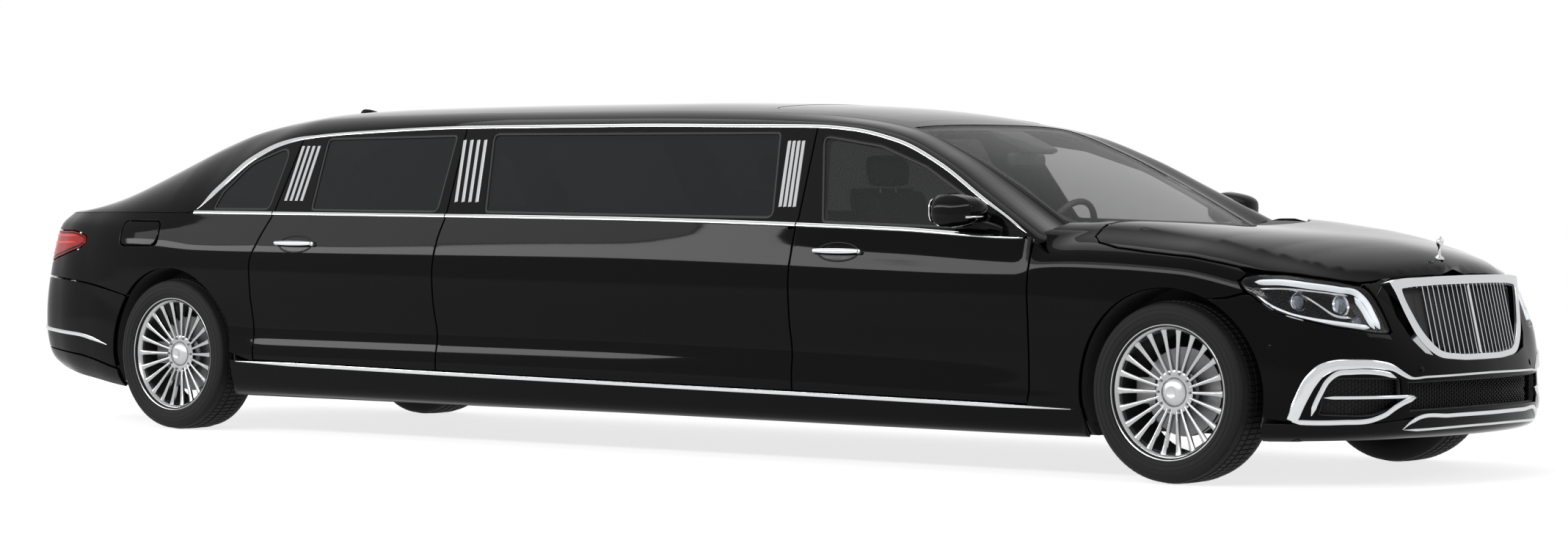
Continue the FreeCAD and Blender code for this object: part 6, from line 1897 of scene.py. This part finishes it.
rear_bumper.add(*plate(wrap, [even(np.concatenate([lower_top, foot[::-1]]))], .026, .02, METRIC, .003, 1),
                finish=2, back=1)
rear_bumper.build("rear_bumper_shell", [PAINT, UNDER, GLOSS], "chassis", ["rear_bumper"], "paint")

rear_trim = Making()
run = spanning([(-3.075, 2.46), (-3.33, 2.40), (-3.656, 2.44), (-3.85, 2.46), (-4.1, 2.46),
                (TAIL_S, 2.46)], TAIL_S)
run = curve(run, 200)
rear_trim.add(*strip(wrap, run[:, 0], run[:, 1], .0095, .007, 1, taper=.12, sink=.004))
for hand in (-1, 1):
    centre = np.array((-3.765, hand * .555, .395))
    outline = oblong((-.085, -.030), (.085, .030), .028, 8)
    path = np.array([(centre[0], centre[1] + a, centre[2] + b) for a, b in outline])
    rear_trim.add(*sweep(path, np.tile((-1.0, 0, 0), (len(path), 1)),
                         [(-.0055, -.030), (-.0055, .005), (-.003, .008), (.002, .008), (.0045, .004),
                          (.0045, -.030)], True), finish=0)
    floor = slab(outline, ((.020, -.004), (.024, -.004)), lambda a, b, deep: centre + (deep, a, b))
    rear_trim.add(*floor, finish=1)
rear_trim.build("rear_brightwork", [BRIGHT, MATT], "chassis", (), "bright_trim")
print("rear bumper built")

# %% [markdown]
# A tail lamp is a red shell with a thin dark rim. It is cut from the body surface like the panels beside
# it, so it is flush with them, and thin brighter runs on it stand for its light guides.

# %% Tail lamps
tail_corners = Making()
for edge in (LAMP_REAR, beyond(LAMP_REAR, TAIL_S)):
    tail_corners.add(*plate(wrap, [edge], .03, .012, METRIC, .002, 1), finish=0)
    tail_corners.add(*plate(sunk(wrap, -.0006, 1), [widen(edge, -.004), widen(edge, -.012)], .03, .004,
                            METRIC, .0006, 1), finish=1)
tail_corners.build("tail_lamp_corners", [RED_LENS, GLOSS], "chassis", ["tail_lamps"], "tail_lens")
INNER_LAMP = even(soften([(-3.975, 5.27), (-3.975, 6.62), (-4.12, 6.60, .05), (-4.21, 6.35, .1),
                          (-4.215, 5.75, .1), (-4.14, 5.30, .05)], 5))
boot_lenses = Making()
for edge in (INNER_LAMP, beyond(INNER_LAMP, TAIL_S)):
    boot_lenses.add(*plate(sunk(wrap, -.0015, 1), [edge], .03, .010, METRIC, .002, 1), finish=0)
boot_lenses.build("boot_lamp_lenses", [RED_LENS], "boot_lid", (), "tail_lens")
guides = Making()
for v, start in ((5.66, -3.52), (6.02, -3.33), (6.38, -3.33)):
    run = np.array([(s, v + .04 * math.sin((s + 3.3) * 4)) for s in np.linspace(start, -3.925, 40)])
    for one in (run, beyond(run, TAIL_S)):
        guides.add(*strip(wrap, one[:, 0], one[:, 1], .0042, .0026, 1, taper=.04, sink=.003), finish=0)
guides.build("tail_light_guides", [finish("bright_red_guide", (.70, .012, .012), rough=.2, vary=.08,
                                          grain=90)], "chassis", (), "tail_lens")
print("tail lamps built")

# %% [markdown]
# Small pieces finish the tail and roof: a bright strip above the plate, a blank plate in a black frame, and
# an aerial fin made of shrinking rings that lean back.

# %% Boot handle strip, plate and aerial
boot_trim = Making()
run = spanning([(-4.235, 5.10), (-4.35, 5.10), (TAIL_S, 5.10)], TAIL_S)
run = curve(run, 60)
boot_trim.add(*strip(wrap, run[:, 0], run[:, 1], .011, .009, 1, taper=.03, sink=.004), finish=0)
boot_trim.build("boot_handle_strip", [BRIGHT], "boot_lid", (), "bright_trim")
number_plate = Making()
spot = wrap([TAIL_S], [3.9])[0]
outline = oblong((-.26, -.056), (.26, .056), .01, 4)


def on_tail(y, z, x):
    """The point of the plate's outline at a depth from the middle of the tail."""
    return spot[0] + x, y, spot[2] - .012 + z


number_plate.add(*slab(outline, ((-.0085, 0), (.006, 0)), on_tail), finish=1)
number_plate.add(*slab(outline, ((-.0100, -.004), (.006, -.004)), on_tail), finish=0)
number_plate.build("number_plate_blank", [PLATE, GLOSS], "chassis", (), "dark_trim")
fin = Making()
rings, a = [], np.linspace(0, 2 * math.pi, 24, endpoint=False)
for t, long, wide, high in ((0, .075, .022, 0), (.2, .070, .019, .012), (.5, .052, .013, .026),
                            (.8, .028, .007, .036), (1, .010, .003, .040)):
    foot = across(-2.245 + long * np.cos(a), np.zeros(24))
    rings.append(np.stack([foot[:, 0] - .045 * t, wide * np.sin(a), foot[:, 2] - .004 + high], -1))
fin.add(*loft(rings), finish=0)
fin.build("aerial_fin", [PAINT], "chassis", (), "paint")
print("boot strip, plate and aerial built")

# %% [markdown]
# Behind tinted glass the cabin is still seen: four padded leather seats, a dashboard with one wide screen,
# and the steering wheel. A real seat is foam pressed under a sewn cover. Here each pad starts as a rounded
# block in small cells, is blown up a little by a Cloth simulation, and then has its seams and channels
# drawn into the surface.

# %% A padded block, swollen by Cloth
def mesh_of(points, faces, name):
    mesh = bpy.data.meshes.new(name)
    mesh.from_pydata([tuple(p) for p in points], [], faces)
    made = bpy.data.objects.new(name, mesh)
    bpy.context.scene.collection.objects.link(made)
    return made


def evaluated(made):
    """Vertex places, normals and faces of an object with its modifiers."""
    graph = bpy.context.evaluated_depsgraph_get()
    graph.update()
    mesh = bpy.data.meshes.new_from_object(made.evaluated_get(graph))
    spots, out = np.empty(len(mesh.vertices) * 3), np.empty(len(mesh.vertices) * 3)
    mesh.vertices.foreach_get("co", spots)
    mesh.vertex_normals.foreach_get("vector", out)
    return spots.reshape(-1, 3), out.reshape(-1, 3), [list(p.vertices) for p in mesh.polygons]


CELL = .006
SWELL_CAP = .014


def padding(outline, half, name):
    """(points, normals, faces) of a foam pad: its side outline in (x, z), and half its width."""
    rings = []
    for y, by in ((-half, -.030), (-half + .006, -.016), (-half + .020, -.004), (-half + .036, 0),
                  (half - .036, 0), (half - .020, -.004), (half - .006, -.016), (half, -.030)):
        rings.append([(x, y, z) for x, z in grow(outline, by)])
    block = mesh_of(*loft(rings), name)
    cells = block.modifiers.new("cells", "REMESH")
    cells.mode, cells.voxel_size = "VOXEL", CELL
    start, _, faces = evaluated(block)
    bpy.data.objects.remove(block)
    foam = mesh_of(start, faces, name)
    spots = start
    cloth = foam.modifiers.new("swell", "CLOTH")
    cloth.settings.use_pressure = True
    cloth.settings.uniform_pressure_force = 4
    cloth.settings.effector_weights.gravity = 0
    cloth.settings.quality = 3
    cloth.point_cache.frame_start, cloth.point_cache.frame_end = 1, 20
    for frame_number in range(1, 21):
        bpy.context.scene.frame_set(frame_number)
    spots, _, _ = evaluated(foam)
    foam.modifiers.remove(cloth)
    bpy.context.scene.frame_set(1)
    move = spots - start
    reach = np.linalg.norm(move, axis=1)
    spots = start + move * np.minimum(1, SWELL_CAP / np.maximum(reach, 1e-9))[:, None]
    foam.data.vertices.foreach_set("co", spots.ravel())
    foam.data.update()
    spots, out, faces = evaluated(foam)
    bpy.data.objects.remove(foam)
    print(name, "cells:", len(faces), "swell:", round(float(reach.max()) * 1000, 1), "mm")
    return spots, out, faces


def stitched(pad, front, seams, depth=.0055, wide=.0055):
    """The pad with channels pressed in where a seam's distance is small, on the side that front picks."""
    spots, out, faces = pad
    spots, facing = spots.copy(), np.clip((out @ front - .25) / .3, 0, 1)
    press = np.zeros(len(spots))
    for seam in seams:
        press = np.maximum(press, np.exp(-(seam(spots) / wide) ** 2))
    return spots - out * (press * facing * depth)[:, None], faces


# %% [markdown]
# A seat is three pads on hard shells. The pads are swollen once and then shared by all four seats, narrowed
# for the rear ones, so the slow part is done only three times. Seams are pressed in where a formula is
# close to zero.

# %% One seat in three pads
CUSHION = soften([(-.600, .150, .03), (-.600, .285, .04), (-.300, .285, .2), (-.060, .308, .05),
                  (-.008, .290, .05), (-.012, .200, .05), (-.060, .150, .04)], 6)
BACK = soften([(-.600, .290, .03), (-.500, .290, .04), (-.515, .420, .2), (-.575, .620, .3),
               (-.645, .830, .06), (-.668, .895, .04), (-.722, .895, .03), (-.725, .840, .05),
               (-.690, .640, .3)], 6)
HEAD = soften([(-.668, .910, .02), (-.662, 1.000, .05), (-.690, 1.045, .03), (-.738, 1.040, .02),
               (-.744, .980, .05), (-.722, .910, .02)], 6)
SEAT_HALF = .245
PANEL = .150

cushion = padding(CUSHION, SEAT_HALF, "cushion_foam")
backrest = padding(BACK, SEAT_HALF, "backrest_foam")
headrest = padding(HEAD, .130, "headrest_foam")


def beside(y):
    return lambda p: np.abs(np.abs(p[:, 1]) - y)


def channel(axis, at):
    """A cross seam in the middle panel only."""
    return lambda p: np.abs(p[:, axis] - at) + np.clip(np.abs(p[:, 1]) - PANEL + .004, 0, 1) * 9


SEAT_PADS = [
    stitched(cushion, np.array((0, 0, 1.0)),
             [beside(PANEL)] + [channel(0, x) for x in np.arange(-.430, -.09, .062)]),
    stitched(backrest, np.array((1.0, 0, .2)),
             [beside(PANEL)] + [channel(2, z) for z in np.arange(.400, .80, .066)]),
    stitched(headrest, np.array((1.0, 0, .1)), [beside(.104)]),
]


def crosswise(x, z, y):
    """The point of a side outline at a depth across the car."""
    return x, y, z


def seat(name, x, y, wide, node):
    """Pads, and the hard parts that hold them, put in place and narrowed to the seat's width."""
    place, scale = np.array((x, y, .220)), np.array((1, wide / SEAT_HALF, 1))
    pads = Making()
    for spots, faces in SEAT_PADS:
        pads.add(spots * scale + place, faces)
    for line_y in (-SEAT_HALF + .012, SEAT_HALF - .012):
        path = np.array([(-.100, line_y, .3065), (-.30, line_y, .296), (-.47, line_y, .290)])
        path = through(path, np.linspace(0, 1, 24)) * scale + place
        pads.add(*sweep(path, np.tile((0, 0, 1.0), (24, 1)), oval(.0028, .0028, 8)))
    padded = pads.build(name, [HIDE], "chassis", [node] if node else (), "leather", sharp=60)
    frame_parts = Making()
    shell = soften([(-.595, 0, .02), (-.590, .140, .02), (-.030, .140, .03), (-.045, .05, .03),
                    (-.090, 0, .02)], 4)
    points, faces = slab(shell, ((-.215, -.008), (-.207, 0), (.207, 0), (.215, -.008)), crosswise)
    frame_parts.add(points * scale + place, faces, finish=0)
    shell = soften([(-.612, .250, .02), (-.700, .640, .2), (-.742, .850, .05), (-.738, .900, .01),
                    (-.728, .900, .01), (-.730, .840, .05), (-.690, .640, .2), (-.598, .250, .01)], 5)
    points, faces = slab(shell, ((-.222, -.003), (-.214, 0), (.214, 0), (.222, -.003)), crosswise)
    frame_parts.add(points * scale + place, faces, finish=0)
    for post in (-.055, .055):
        path = np.array([(-.700, post, .870), (-.704, post, .900), (-.706, post, .935)]) + place
        frame_parts.add(*sweep(path, np.tile((0, 1.0, 0), (3, 1)), oval(.006, .006, 12)), finish=1)
    for side_y in (-.228, .228):
        path = np.array([(-.50, side_y, .110), (-.30, side_y, .118), (-.10, side_y, .112)]) * scale + place
        frame_parts.add(*sweep(path, np.tile((0, math.copysign(1, side_y), 0), (3, 1)),
                               bar_shape(.010, .004, .004)), finish=1)
    frame_parts.build(name + "_frame", [CABIN, BRUSHED], "chassis", (), "cabin_trim")


FRONT_SEAT, REAR_SEAT = FRONT_X - 1.640, REAR_X + 1.060
for name, x, y, wide, node in (("front_seat_right", FRONT_SEAT, -.370, .245, "front_seats"),
                               ("front_seat_left", FRONT_SEAT, .370, .245, None),
                               ("rear_seat_right", REAR_SEAT, -.235, .208, "rear_seats"),
                               ("rear_seat_left", REAR_SEAT, .235, .208, None)):
    seat(name, x, y, wide, node)
print("seats built")

# %% [markdown]
# The dashboard is one moulding from door to door, so it is lofted through a few cross sections. A wide
# glass screen stands on it, with a band of dark wood and a row of round vents below, as on large saloons of
# this kind.

# %% Dashboard, console and inner mirror
dash = Making()
DASH = [(2.330, .700), (2.330, .885), (2.140, .908), (1.930, .912), (1.835, .900), (1.808, .875),
        (1.815, .790), (1.800, .740), (1.830, .680), (1.920, .615), (2.050, .585), (2.250, .585)]
rings = []
for y, shift in ((-.755, .060), (-.735, .030), (-.60, .008), (-.40, .004), (0, -.010), (.20, -.012),
                 (.37, -.022), (.54, -.012), (.62, .006), (.735, .030), (.755, .060)):
    edge = soften([(x + shift * (1 if x < 2.0 else .2), z, .03) for x, z in DASH], 4)
    rings.append([(x, y, z) for x, z in edge])
dash.add(*loft(rings), finish=0)
ys = np.linspace(-.70, .70, 60)
lean = np.interp(ys, [-.735, -.60, -.40, 0, .20, .37, .54, .62, .735],
                 [.030, .008, .004, -.010, -.012, -.022, -.012, .006, .030])
band = np.stack([1.806 + lean, ys, np.full(60, .764)], -1)
dash.add(*sweep(band, np.tile((-1.0, 0, 0), (60, 1)), bar_shape(.020, .005, .012)), finish=1)
for high in (.7865, .7415):
    edge = band + (0, 0, high - .764)
    dash.add(*sweep(edge, np.tile((-1.0, 0, 0), (60, 1)), bar_shape(.0016, .007, .012)), finish=2)
for y in (-.690, -.150, -.050, .050, .690):
    spot = (1.806 + float(np.interp(y, ys, lean)), y, .828)
    dash.add(*lathe([(.021, .004), (.028, .004), (.0300, .010), (.0290, .0150), (.0250, .0165),
                     (.0225, .012), (.0210, .006)], spot, (-1, 0, .05), 32), finish=2)
    dash.add(*lathe([(0, .004), (.0205, .004), (.0205, .009), (.006, .010), (.005, .0135), (0, .0140)],
                    spot, (-1, 0, .05), 32), finish=3)
screen = oblong((-.035, .795), (.610, .902), .012, 5)
screen_layers = ((1.776, -.003), (1.773, 0), (1.766, 0), (1.764, -.002))
dash.add(*slab(screen, screen_layers, lambda y, z, x: (x, y, z)), finish=3)
console = []
for x, wide, low, high in ((.960, .080, .230, .500), (.972, .092, .230, .520), (1.10, .096, .230, .530),
                           (1.40, .096, .230, .500), (1.55, .098, .230, .510), (1.72, .104, .230, .600),
                           (1.84, .110, .230, .700), (1.90, .104, .230, .720)):
    box_edge = soften([(-wide, low, .01), (wide, low, .01), (wide, high, .022), (-wide, high, .022)], 4)
    console.append([(x, a, b) for a, b in box_edge])
dash.add(*loft(console), finish=0)
lid_edge = oblong((1.00, -.080), (1.36, .080), .02, 5)
lid_layers = ((.500, 0), (.540, 0), (.546, -.006), (.548, -.020))
dash.add(*slab(lid_edge, lid_layers, lambda x, y, z: (x, y, z)), finish=4)
dash.build("dashboard_and_console", [CABIN, WOOD, BRUSHED, GLOSS, HIDE], "chassis", ["dashboard"],
           "cabin_trim")

inner_mirror = Making()
hang = across([1.640], [0.0])[0]
mirror_edge = oblong((-.120, -.032), (.120, .032), .025, 6)


def under_screen(y, z, x):
    """The point of the mirror's outline, which hangs below and behind its place on the windscreen."""
    return hang[0] - .060 + x, y, hang[2] - .085 + z


casing = ((-.008, -.004), (-.004, 0), (.012, 0), (.026, -.014))
inner_mirror.add(*slab(mirror_edge, casing, under_screen), finish=0)
inner_mirror.add(*slab(mirror_edge, ((-.0095, -.006), (-.007, -.006)), under_screen), finish=1)
path = np.array([(hang[0] - .030, 0, hang[2] - .080), (hang[0] - .012, 0, hang[2] - .050),
                 (hang[0] + .010, 0, hang[2] - .026)])
inner_mirror.add(*sweep(path, np.tile((0, 1.0, 0), (3, 1)), oval(.012, .010, 14)), finish=0)
rings = []
for x, wide, drop in ((1.475, .110, .016), (1.52, .100, .030), (1.60, .075, .040), (1.68, .055, .034),
                      (1.715, .040, .014)):
    top = across([x], [0.0])[0]
    edge = soften([(-wide, -.012 - drop, .01), (wide, -.012 - drop, .01), (wide, -.012, .004),
                   (-wide, -.012, .004)], 4)
    rings.append([(x, a, top[2] + b) for a, b in edge])
inner_mirror.add(*loft(rings), finish=0)
inner_mirror.build("inner_mirror", [MATT, LAMP_FACE], "chassis", (), "cabin_trim")
print("dashboard, console and inner mirror built")

# %% [markdown]
# The steering wheel lies on a tilted plane, so its rim, spokes and hub are written in that plane's own
# directions and then placed. It rides on its own body, and the column stays with the car.

# %% Steering wheel and column
HUB = np.array((1.550, .370, .900))
NORMAL, UP = np.array((-.9135, 0, .4067)), np.array((.4067, 0, .9135))
ACROSS = np.array((0, 1.0, 0))


def on_wheel(points):
    """Places on the wheel's own plane: across, up and towards the driver."""
    p = np.asarray(points, float)
    return HUB + p[..., :1] * ACROSS + p[..., 1:2] * UP + p[..., 2:3] * NORMAL


steering = Making()
turn = np.linspace(0, 2 * math.pi, 96, endpoint=False)
rim_path = on_wheel(np.stack([.1715 * np.cos(turn), .1715 * np.sin(turn), np.full(96, .022)], -1))
rim_out = np.cos(turn)[:, None] * ACROSS + np.sin(turn)[:, None] * UP
grip = 1 + .10 * np.exp(-((np.abs(np.abs(turn - math.pi) - math.pi / 2) - 1.1) / .25) ** 2)
steering.add(*sweep(rim_path, rim_out, oval(.0145, .0130, 16), True, np.stack([grip, grip], -1)), finish=0)
for angle in (8, 172, 262, 278):
    a = math.radians(angle)
    reach = np.linspace(.045, .164, 8)
    path = on_wheel(np.stack([reach * math.cos(a), reach * math.sin(a),
                              .020 - .012 * np.sin(np.linspace(0, math.pi, 8))], -1))
    out = np.tile(NORMAL, (8, 1))
    fat = np.stack([np.linspace(1.5, 1.0, 8), np.ones(8)], -1)
    steering.add(*sweep(path, out, bar_shape(.011 if angle < 200 else .006, .005, .007), False, fat),
                 finish=1)
steering.add(*lathe([(0, -.030), (.052, -.030), (.062, -.010), (.066, .010), (.062, .024), (.050, .033),
                     (.030, .0375), (0, .039)], HUB, NORMAL, 48), finish=0)
steering.add(*lathe([(.0230, .0375), (.0262, .0372), (.0268, .0392), (.0232, .0402)], HUB, NORMAL, 40),
             finish=2)
steering.build("steering_wheel_cover", [HIDE, BRUSHED, BRIGHT], "steering_wheel", ["steering_wheel"],
               "cabin_trim", sharp=50)

column = Making()
column.add(*lathe([(0, -.330), (.046, -.330), (.050, -.180), (.046, -.070), (.040, -.045), (0, -.045)],
                  HUB, NORMAL, 40), finish=0)
for hand in (-1, 1):
    path = on_wheel(np.array([(hand * .030, .004, -.075), (hand * .090, .012, -.066),
                              (hand * .145, .020, -.056)]))
    column.add(*sweep(path, np.tile(NORMAL, (3, 1)), oval(.0065, .0050, 12)), finish=1)
column.build("steering_column", [CABIN, MATT], "chassis", (), "cabin_trim")
print("steering wheel and column built")

# %% [markdown]
# Only the parts of a door card that show through the glass are worth modelling: the padded armrest, a strip
# of wood over it, and the loudspeaker's ring.

# %% Door cards: armrests and pulls
for side, hand in SIDES:
    for place, x0, x1 in (("rear", -1.90, -1.12), ("front", 1.30, 2.02)):
        card = Making()
        xs = np.linspace(x0, x1, 30)
        inner_y = np.abs(flank(*laid(np.stack([xs, np.full(30, .66)], -1)).T, 1)[:, 1]) - .098
        swell = np.sqrt(np.clip(1 - (2 * (xs - x0) / (x1 - x0) - 1) ** 6, .02, 1))
        path = np.stack([xs, hand * inner_y, np.full(30, .655) + .02 * (xs - x0)], -1)
        size = np.stack([.6 + .4 * swell, swell], -1)
        card.add(*sweep(path, np.tile((0.0, -hand, 0), (30, 1)),
                        [(-.036, -.012), (-.040, .014), (-.028, .034), (0, .040), (.026, .036),
                         (.034, .016), (.034, -.012)], False, size), finish=0)
        path = np.stack([xs[6:24], hand * (inner_y[6:24] - .004), np.full(18, .765)], -1)
        card.add(*sweep(path, np.tile((0.0, -hand, 0), (18, 1)), bar_shape(.018, .006, .01)), finish=1)
        spot = (x1 - .06, hand * (float(inner_y[-4]) - .001), .455)
        card.add(*lathe([(0, 0), (.062, 0), (.066, .003), (.060, .006), (.054, .004), (0, .003)], spot,
                        (0, -hand, 0), 40), finish=2)
        card.build(f"{place}_door_card_{side}", [HIDE, WOOD, BRUSHED], f"{place}_door_{side}", (),
                   "cabin_trim")
print("door cards built")

# %% [markdown]
# Parts that are rarely seen keep the mechanical model's own shapes: floor, arch liners, axles, engine and
# radiator. Each gets the finish of the real thing, such as sound-deadening coat or raw casting. The door
# hinges are made again, set well inside the skin, each as a leaf on a turned barrel.

# %% Finishes for the carried-over parts
COATS = {
    "floor_pan": UNDER, "wheel_arch_liners": UNDER, "hinge_posts": UNDER, "bulkheads": CABIN,
    "lid_pins": STEEL, "front_axle": CAST, "rear_axle": CAST, "engine_block": CAST, "radiator": MATT,
    "front_knuckle_left": STEEL, "front_knuckle_right": STEEL,
}
for node, coat in COATS.items():
    for place in frame["nodes"][node].material_slots:
        place.material = coat
print("carried over:", len(COATS))

# %% [markdown]
# A door turns on two hinges set inside the skin. Each is a leaf on a turned barrel, with three bolt heads,
# and is placed from the door's own shut line, so that barrel and pin agree.

# %% Hinges
hinges = Making()
for hand in (-1, 1):
    for lead in ("rear_lead", "front_lead"):
        pin_x = float(shut(lead, .6)) - .062
        for z in (.500, .738):
            centre = np.array((pin_x, hand * .900, z))
            hinges.add(*lathe([(0, -.036), (.0085, -.036), (.0095, -.034), (.0095, -.013), (.0082, -.012),
                               (.0082, .012), (.0095, .013), (.0095, .034), (.0085, .036), (0, .036)],
                              tuple(centre), (0, 0, 1), 20), finish=0)
            leaf = soften([(.004, -.030, .008), (.070, -.024, .010), (.070, .024, .010),
                           (.004, .030, .008)], 4)
            layers = ((.8975, -.001), (.8955, 0), (.8915, 0), (.8895, -.001))
            hinges.add(*slab(leaf, layers, lambda a, b, y: (pin_x + a, hand * y, z + b)), finish=0)
            for a, b in ((.030, 0), (.055, -.010), (.055, .012)):
                hinges.add(*lathe([(0, -.001), (.0062, -.001), (.0062, .0035), (.0045, .0048), (0, .0048)],
                                  (pin_x + a, hand * .8972, z + b), (0, hand, 0), 6), finish=0)
hinges.build("door_hinge_leaves", [CAST], "chassis", ["door_hinges"], "steel")
print("hinges built")

# %% [markdown]
# One carpet covers the floor between the sills. It is a low slab with a soft edge and a coarse nap in its
# finish.

# %% Carpet
carpet = Making()
edge = oblong((-2.30, -.780), (2.05, .780), .10, 6)
pile = ((.2205, 0), (.2265, 0), (.2285, -.004), (.2290, -.02))
carpet.add(*slab(edge, pile, lambda x, y, z: (x, y, z)), finish=0)
carpet.build("cabin_carpet", [CARPET], "chassis", (), "cabin_trim")
print("carpet built")

# %% [markdown]
# The car stands in a plain white studio. The floor and the far background are white to the eye and in
# reflections, while the light that reaches the paint stays level. Long soft lamps overhead draw the bands
# that show its shape.

# %% Floor, lamps, camera
def seen_directly(tree):
    """1 for rays from the camera, from mirrors and through glass, and 0 for light that falls on the car."""
    ray = tree.nodes.new("ShaderNodeLightPath")
    level = ray.outputs["Is Camera Ray"]
    for kind in ("Is Glossy Ray", "Is Transmission Ray"):
        either = tree.nodes.new("ShaderNodeMath")
        either.operation = "MAXIMUM"
        tree.links.new(level, either.inputs[0])
        tree.links.new(ray.outputs[kind], either.inputs[1])
        level = either.outputs[0]
    return level


def studio_floor(glow=.77):
    """Pale floor that keeps shadows, and is white to the eye by a glow of its own."""
    made = bpy.data.materials.new("studio_floor")
    made.use_nodes = True
    tree = made.node_tree
    shader, scale = tree.nodes["Principled BSDF"], tree.nodes.new("ShaderNodeMath")
    shader.inputs["Base Color"].default_value = (.42, .42, .42, 1)
    shader.inputs["Roughness"].default_value = .9
    shader.inputs["Emission Color"].default_value = (1, 1, 1, 1)
    scale.operation = "MULTIPLY"
    scale.inputs[1].default_value = glow
    tree.links.new(seen_directly(tree), scale.inputs[0])
    tree.links.new(scale.outputs[0], shader.inputs["Emission Strength"])
    return made


REACH = 60
ground = bpy.data.meshes.new("studio_ground")
ground.from_pydata([(-REACH, -REACH, 0), (REACH, -REACH, 0), (REACH, REACH, 0), (-REACH, REACH, 0)], [],
                   [(0, 1, 2, 3)])
ground.materials.append(studio_floor())
stage = bpy.data.objects.new("studio_ground", ground)
bpy.context.scene.collection.objects.link(stage)

world = bpy.data.worlds.new("studio")
bpy.context.scene.world = world
world.use_nodes = True
back, level = world.node_tree.nodes["Background"], world.node_tree.nodes.new("ShaderNodeMapRange")
back.inputs["Color"].default_value = (1, 1, 1, 1)
level.inputs["To Min"].default_value = .36
level.inputs["To Max"].default_value = 1.0
world.node_tree.links.new(seen_directly(world.node_tree), level.inputs["Value"])
world.node_tree.links.new(level.outputs[0], back.inputs["Strength"])


def lamp(name, place, aim, wide, high, power):
    data = bpy.data.lights.new(name, "AREA")
    data.shape, data.size, data.size_y, data.energy = "RECTANGLE", wide, high, power
    made = bpy.data.objects.new(name, data)
    made.location = place
    made.rotation_euler = (Vector(aim) - Vector(place)).to_track_quat("-Z", "Y").to_euler()
    bpy.context.scene.collection.objects.link(made)
    return made


lamp("long_strip_low", (-4.0, -8.0, 4.05), (-4.0, 0, .8), 18.0, .80, 620)
lamp("long_strip_high", (-4.0, -8.0, 5.05), (-4.0, 0, .8), 18.0, .90, 200)
lamp("overhead", (0, 0, 5.0), (0, 0, .8), 9.0, 2.4, 130)
lamp("front_soft", (9.5, 1.5, 4.2), (3.2, 0, .7), 3.0, 2.0, 60)

# focal length as a share of the frame's width, and where the camera stands and looks
FOCAL_SHARE = 5673.7 / 2137
STAND, YAW, PITCH = (11.772, -14.058, 1.160), math.radians(-39.26), math.radians(-1.25)
view = bpy.data.cameras.new("camera")
view.sensor_width = 36
view.lens = FOCAL_SHARE * view.sensor_width
view.clip_end = 200
camera = bpy.data.objects.new("camera", view)
camera.location = STAND
aim = Vector((math.sin(YAW) * math.cos(PITCH), math.cos(YAW) * math.cos(PITCH), math.sin(PITCH)))
camera.rotation_euler = aim.to_track_quat("-Z", "Y").to_euler()
bpy.context.scene.collection.objects.link(camera)
bpy.context.scene.camera = camera
bpy.context.scene.view_settings.view_transform = "Standard"
print("studio ready")
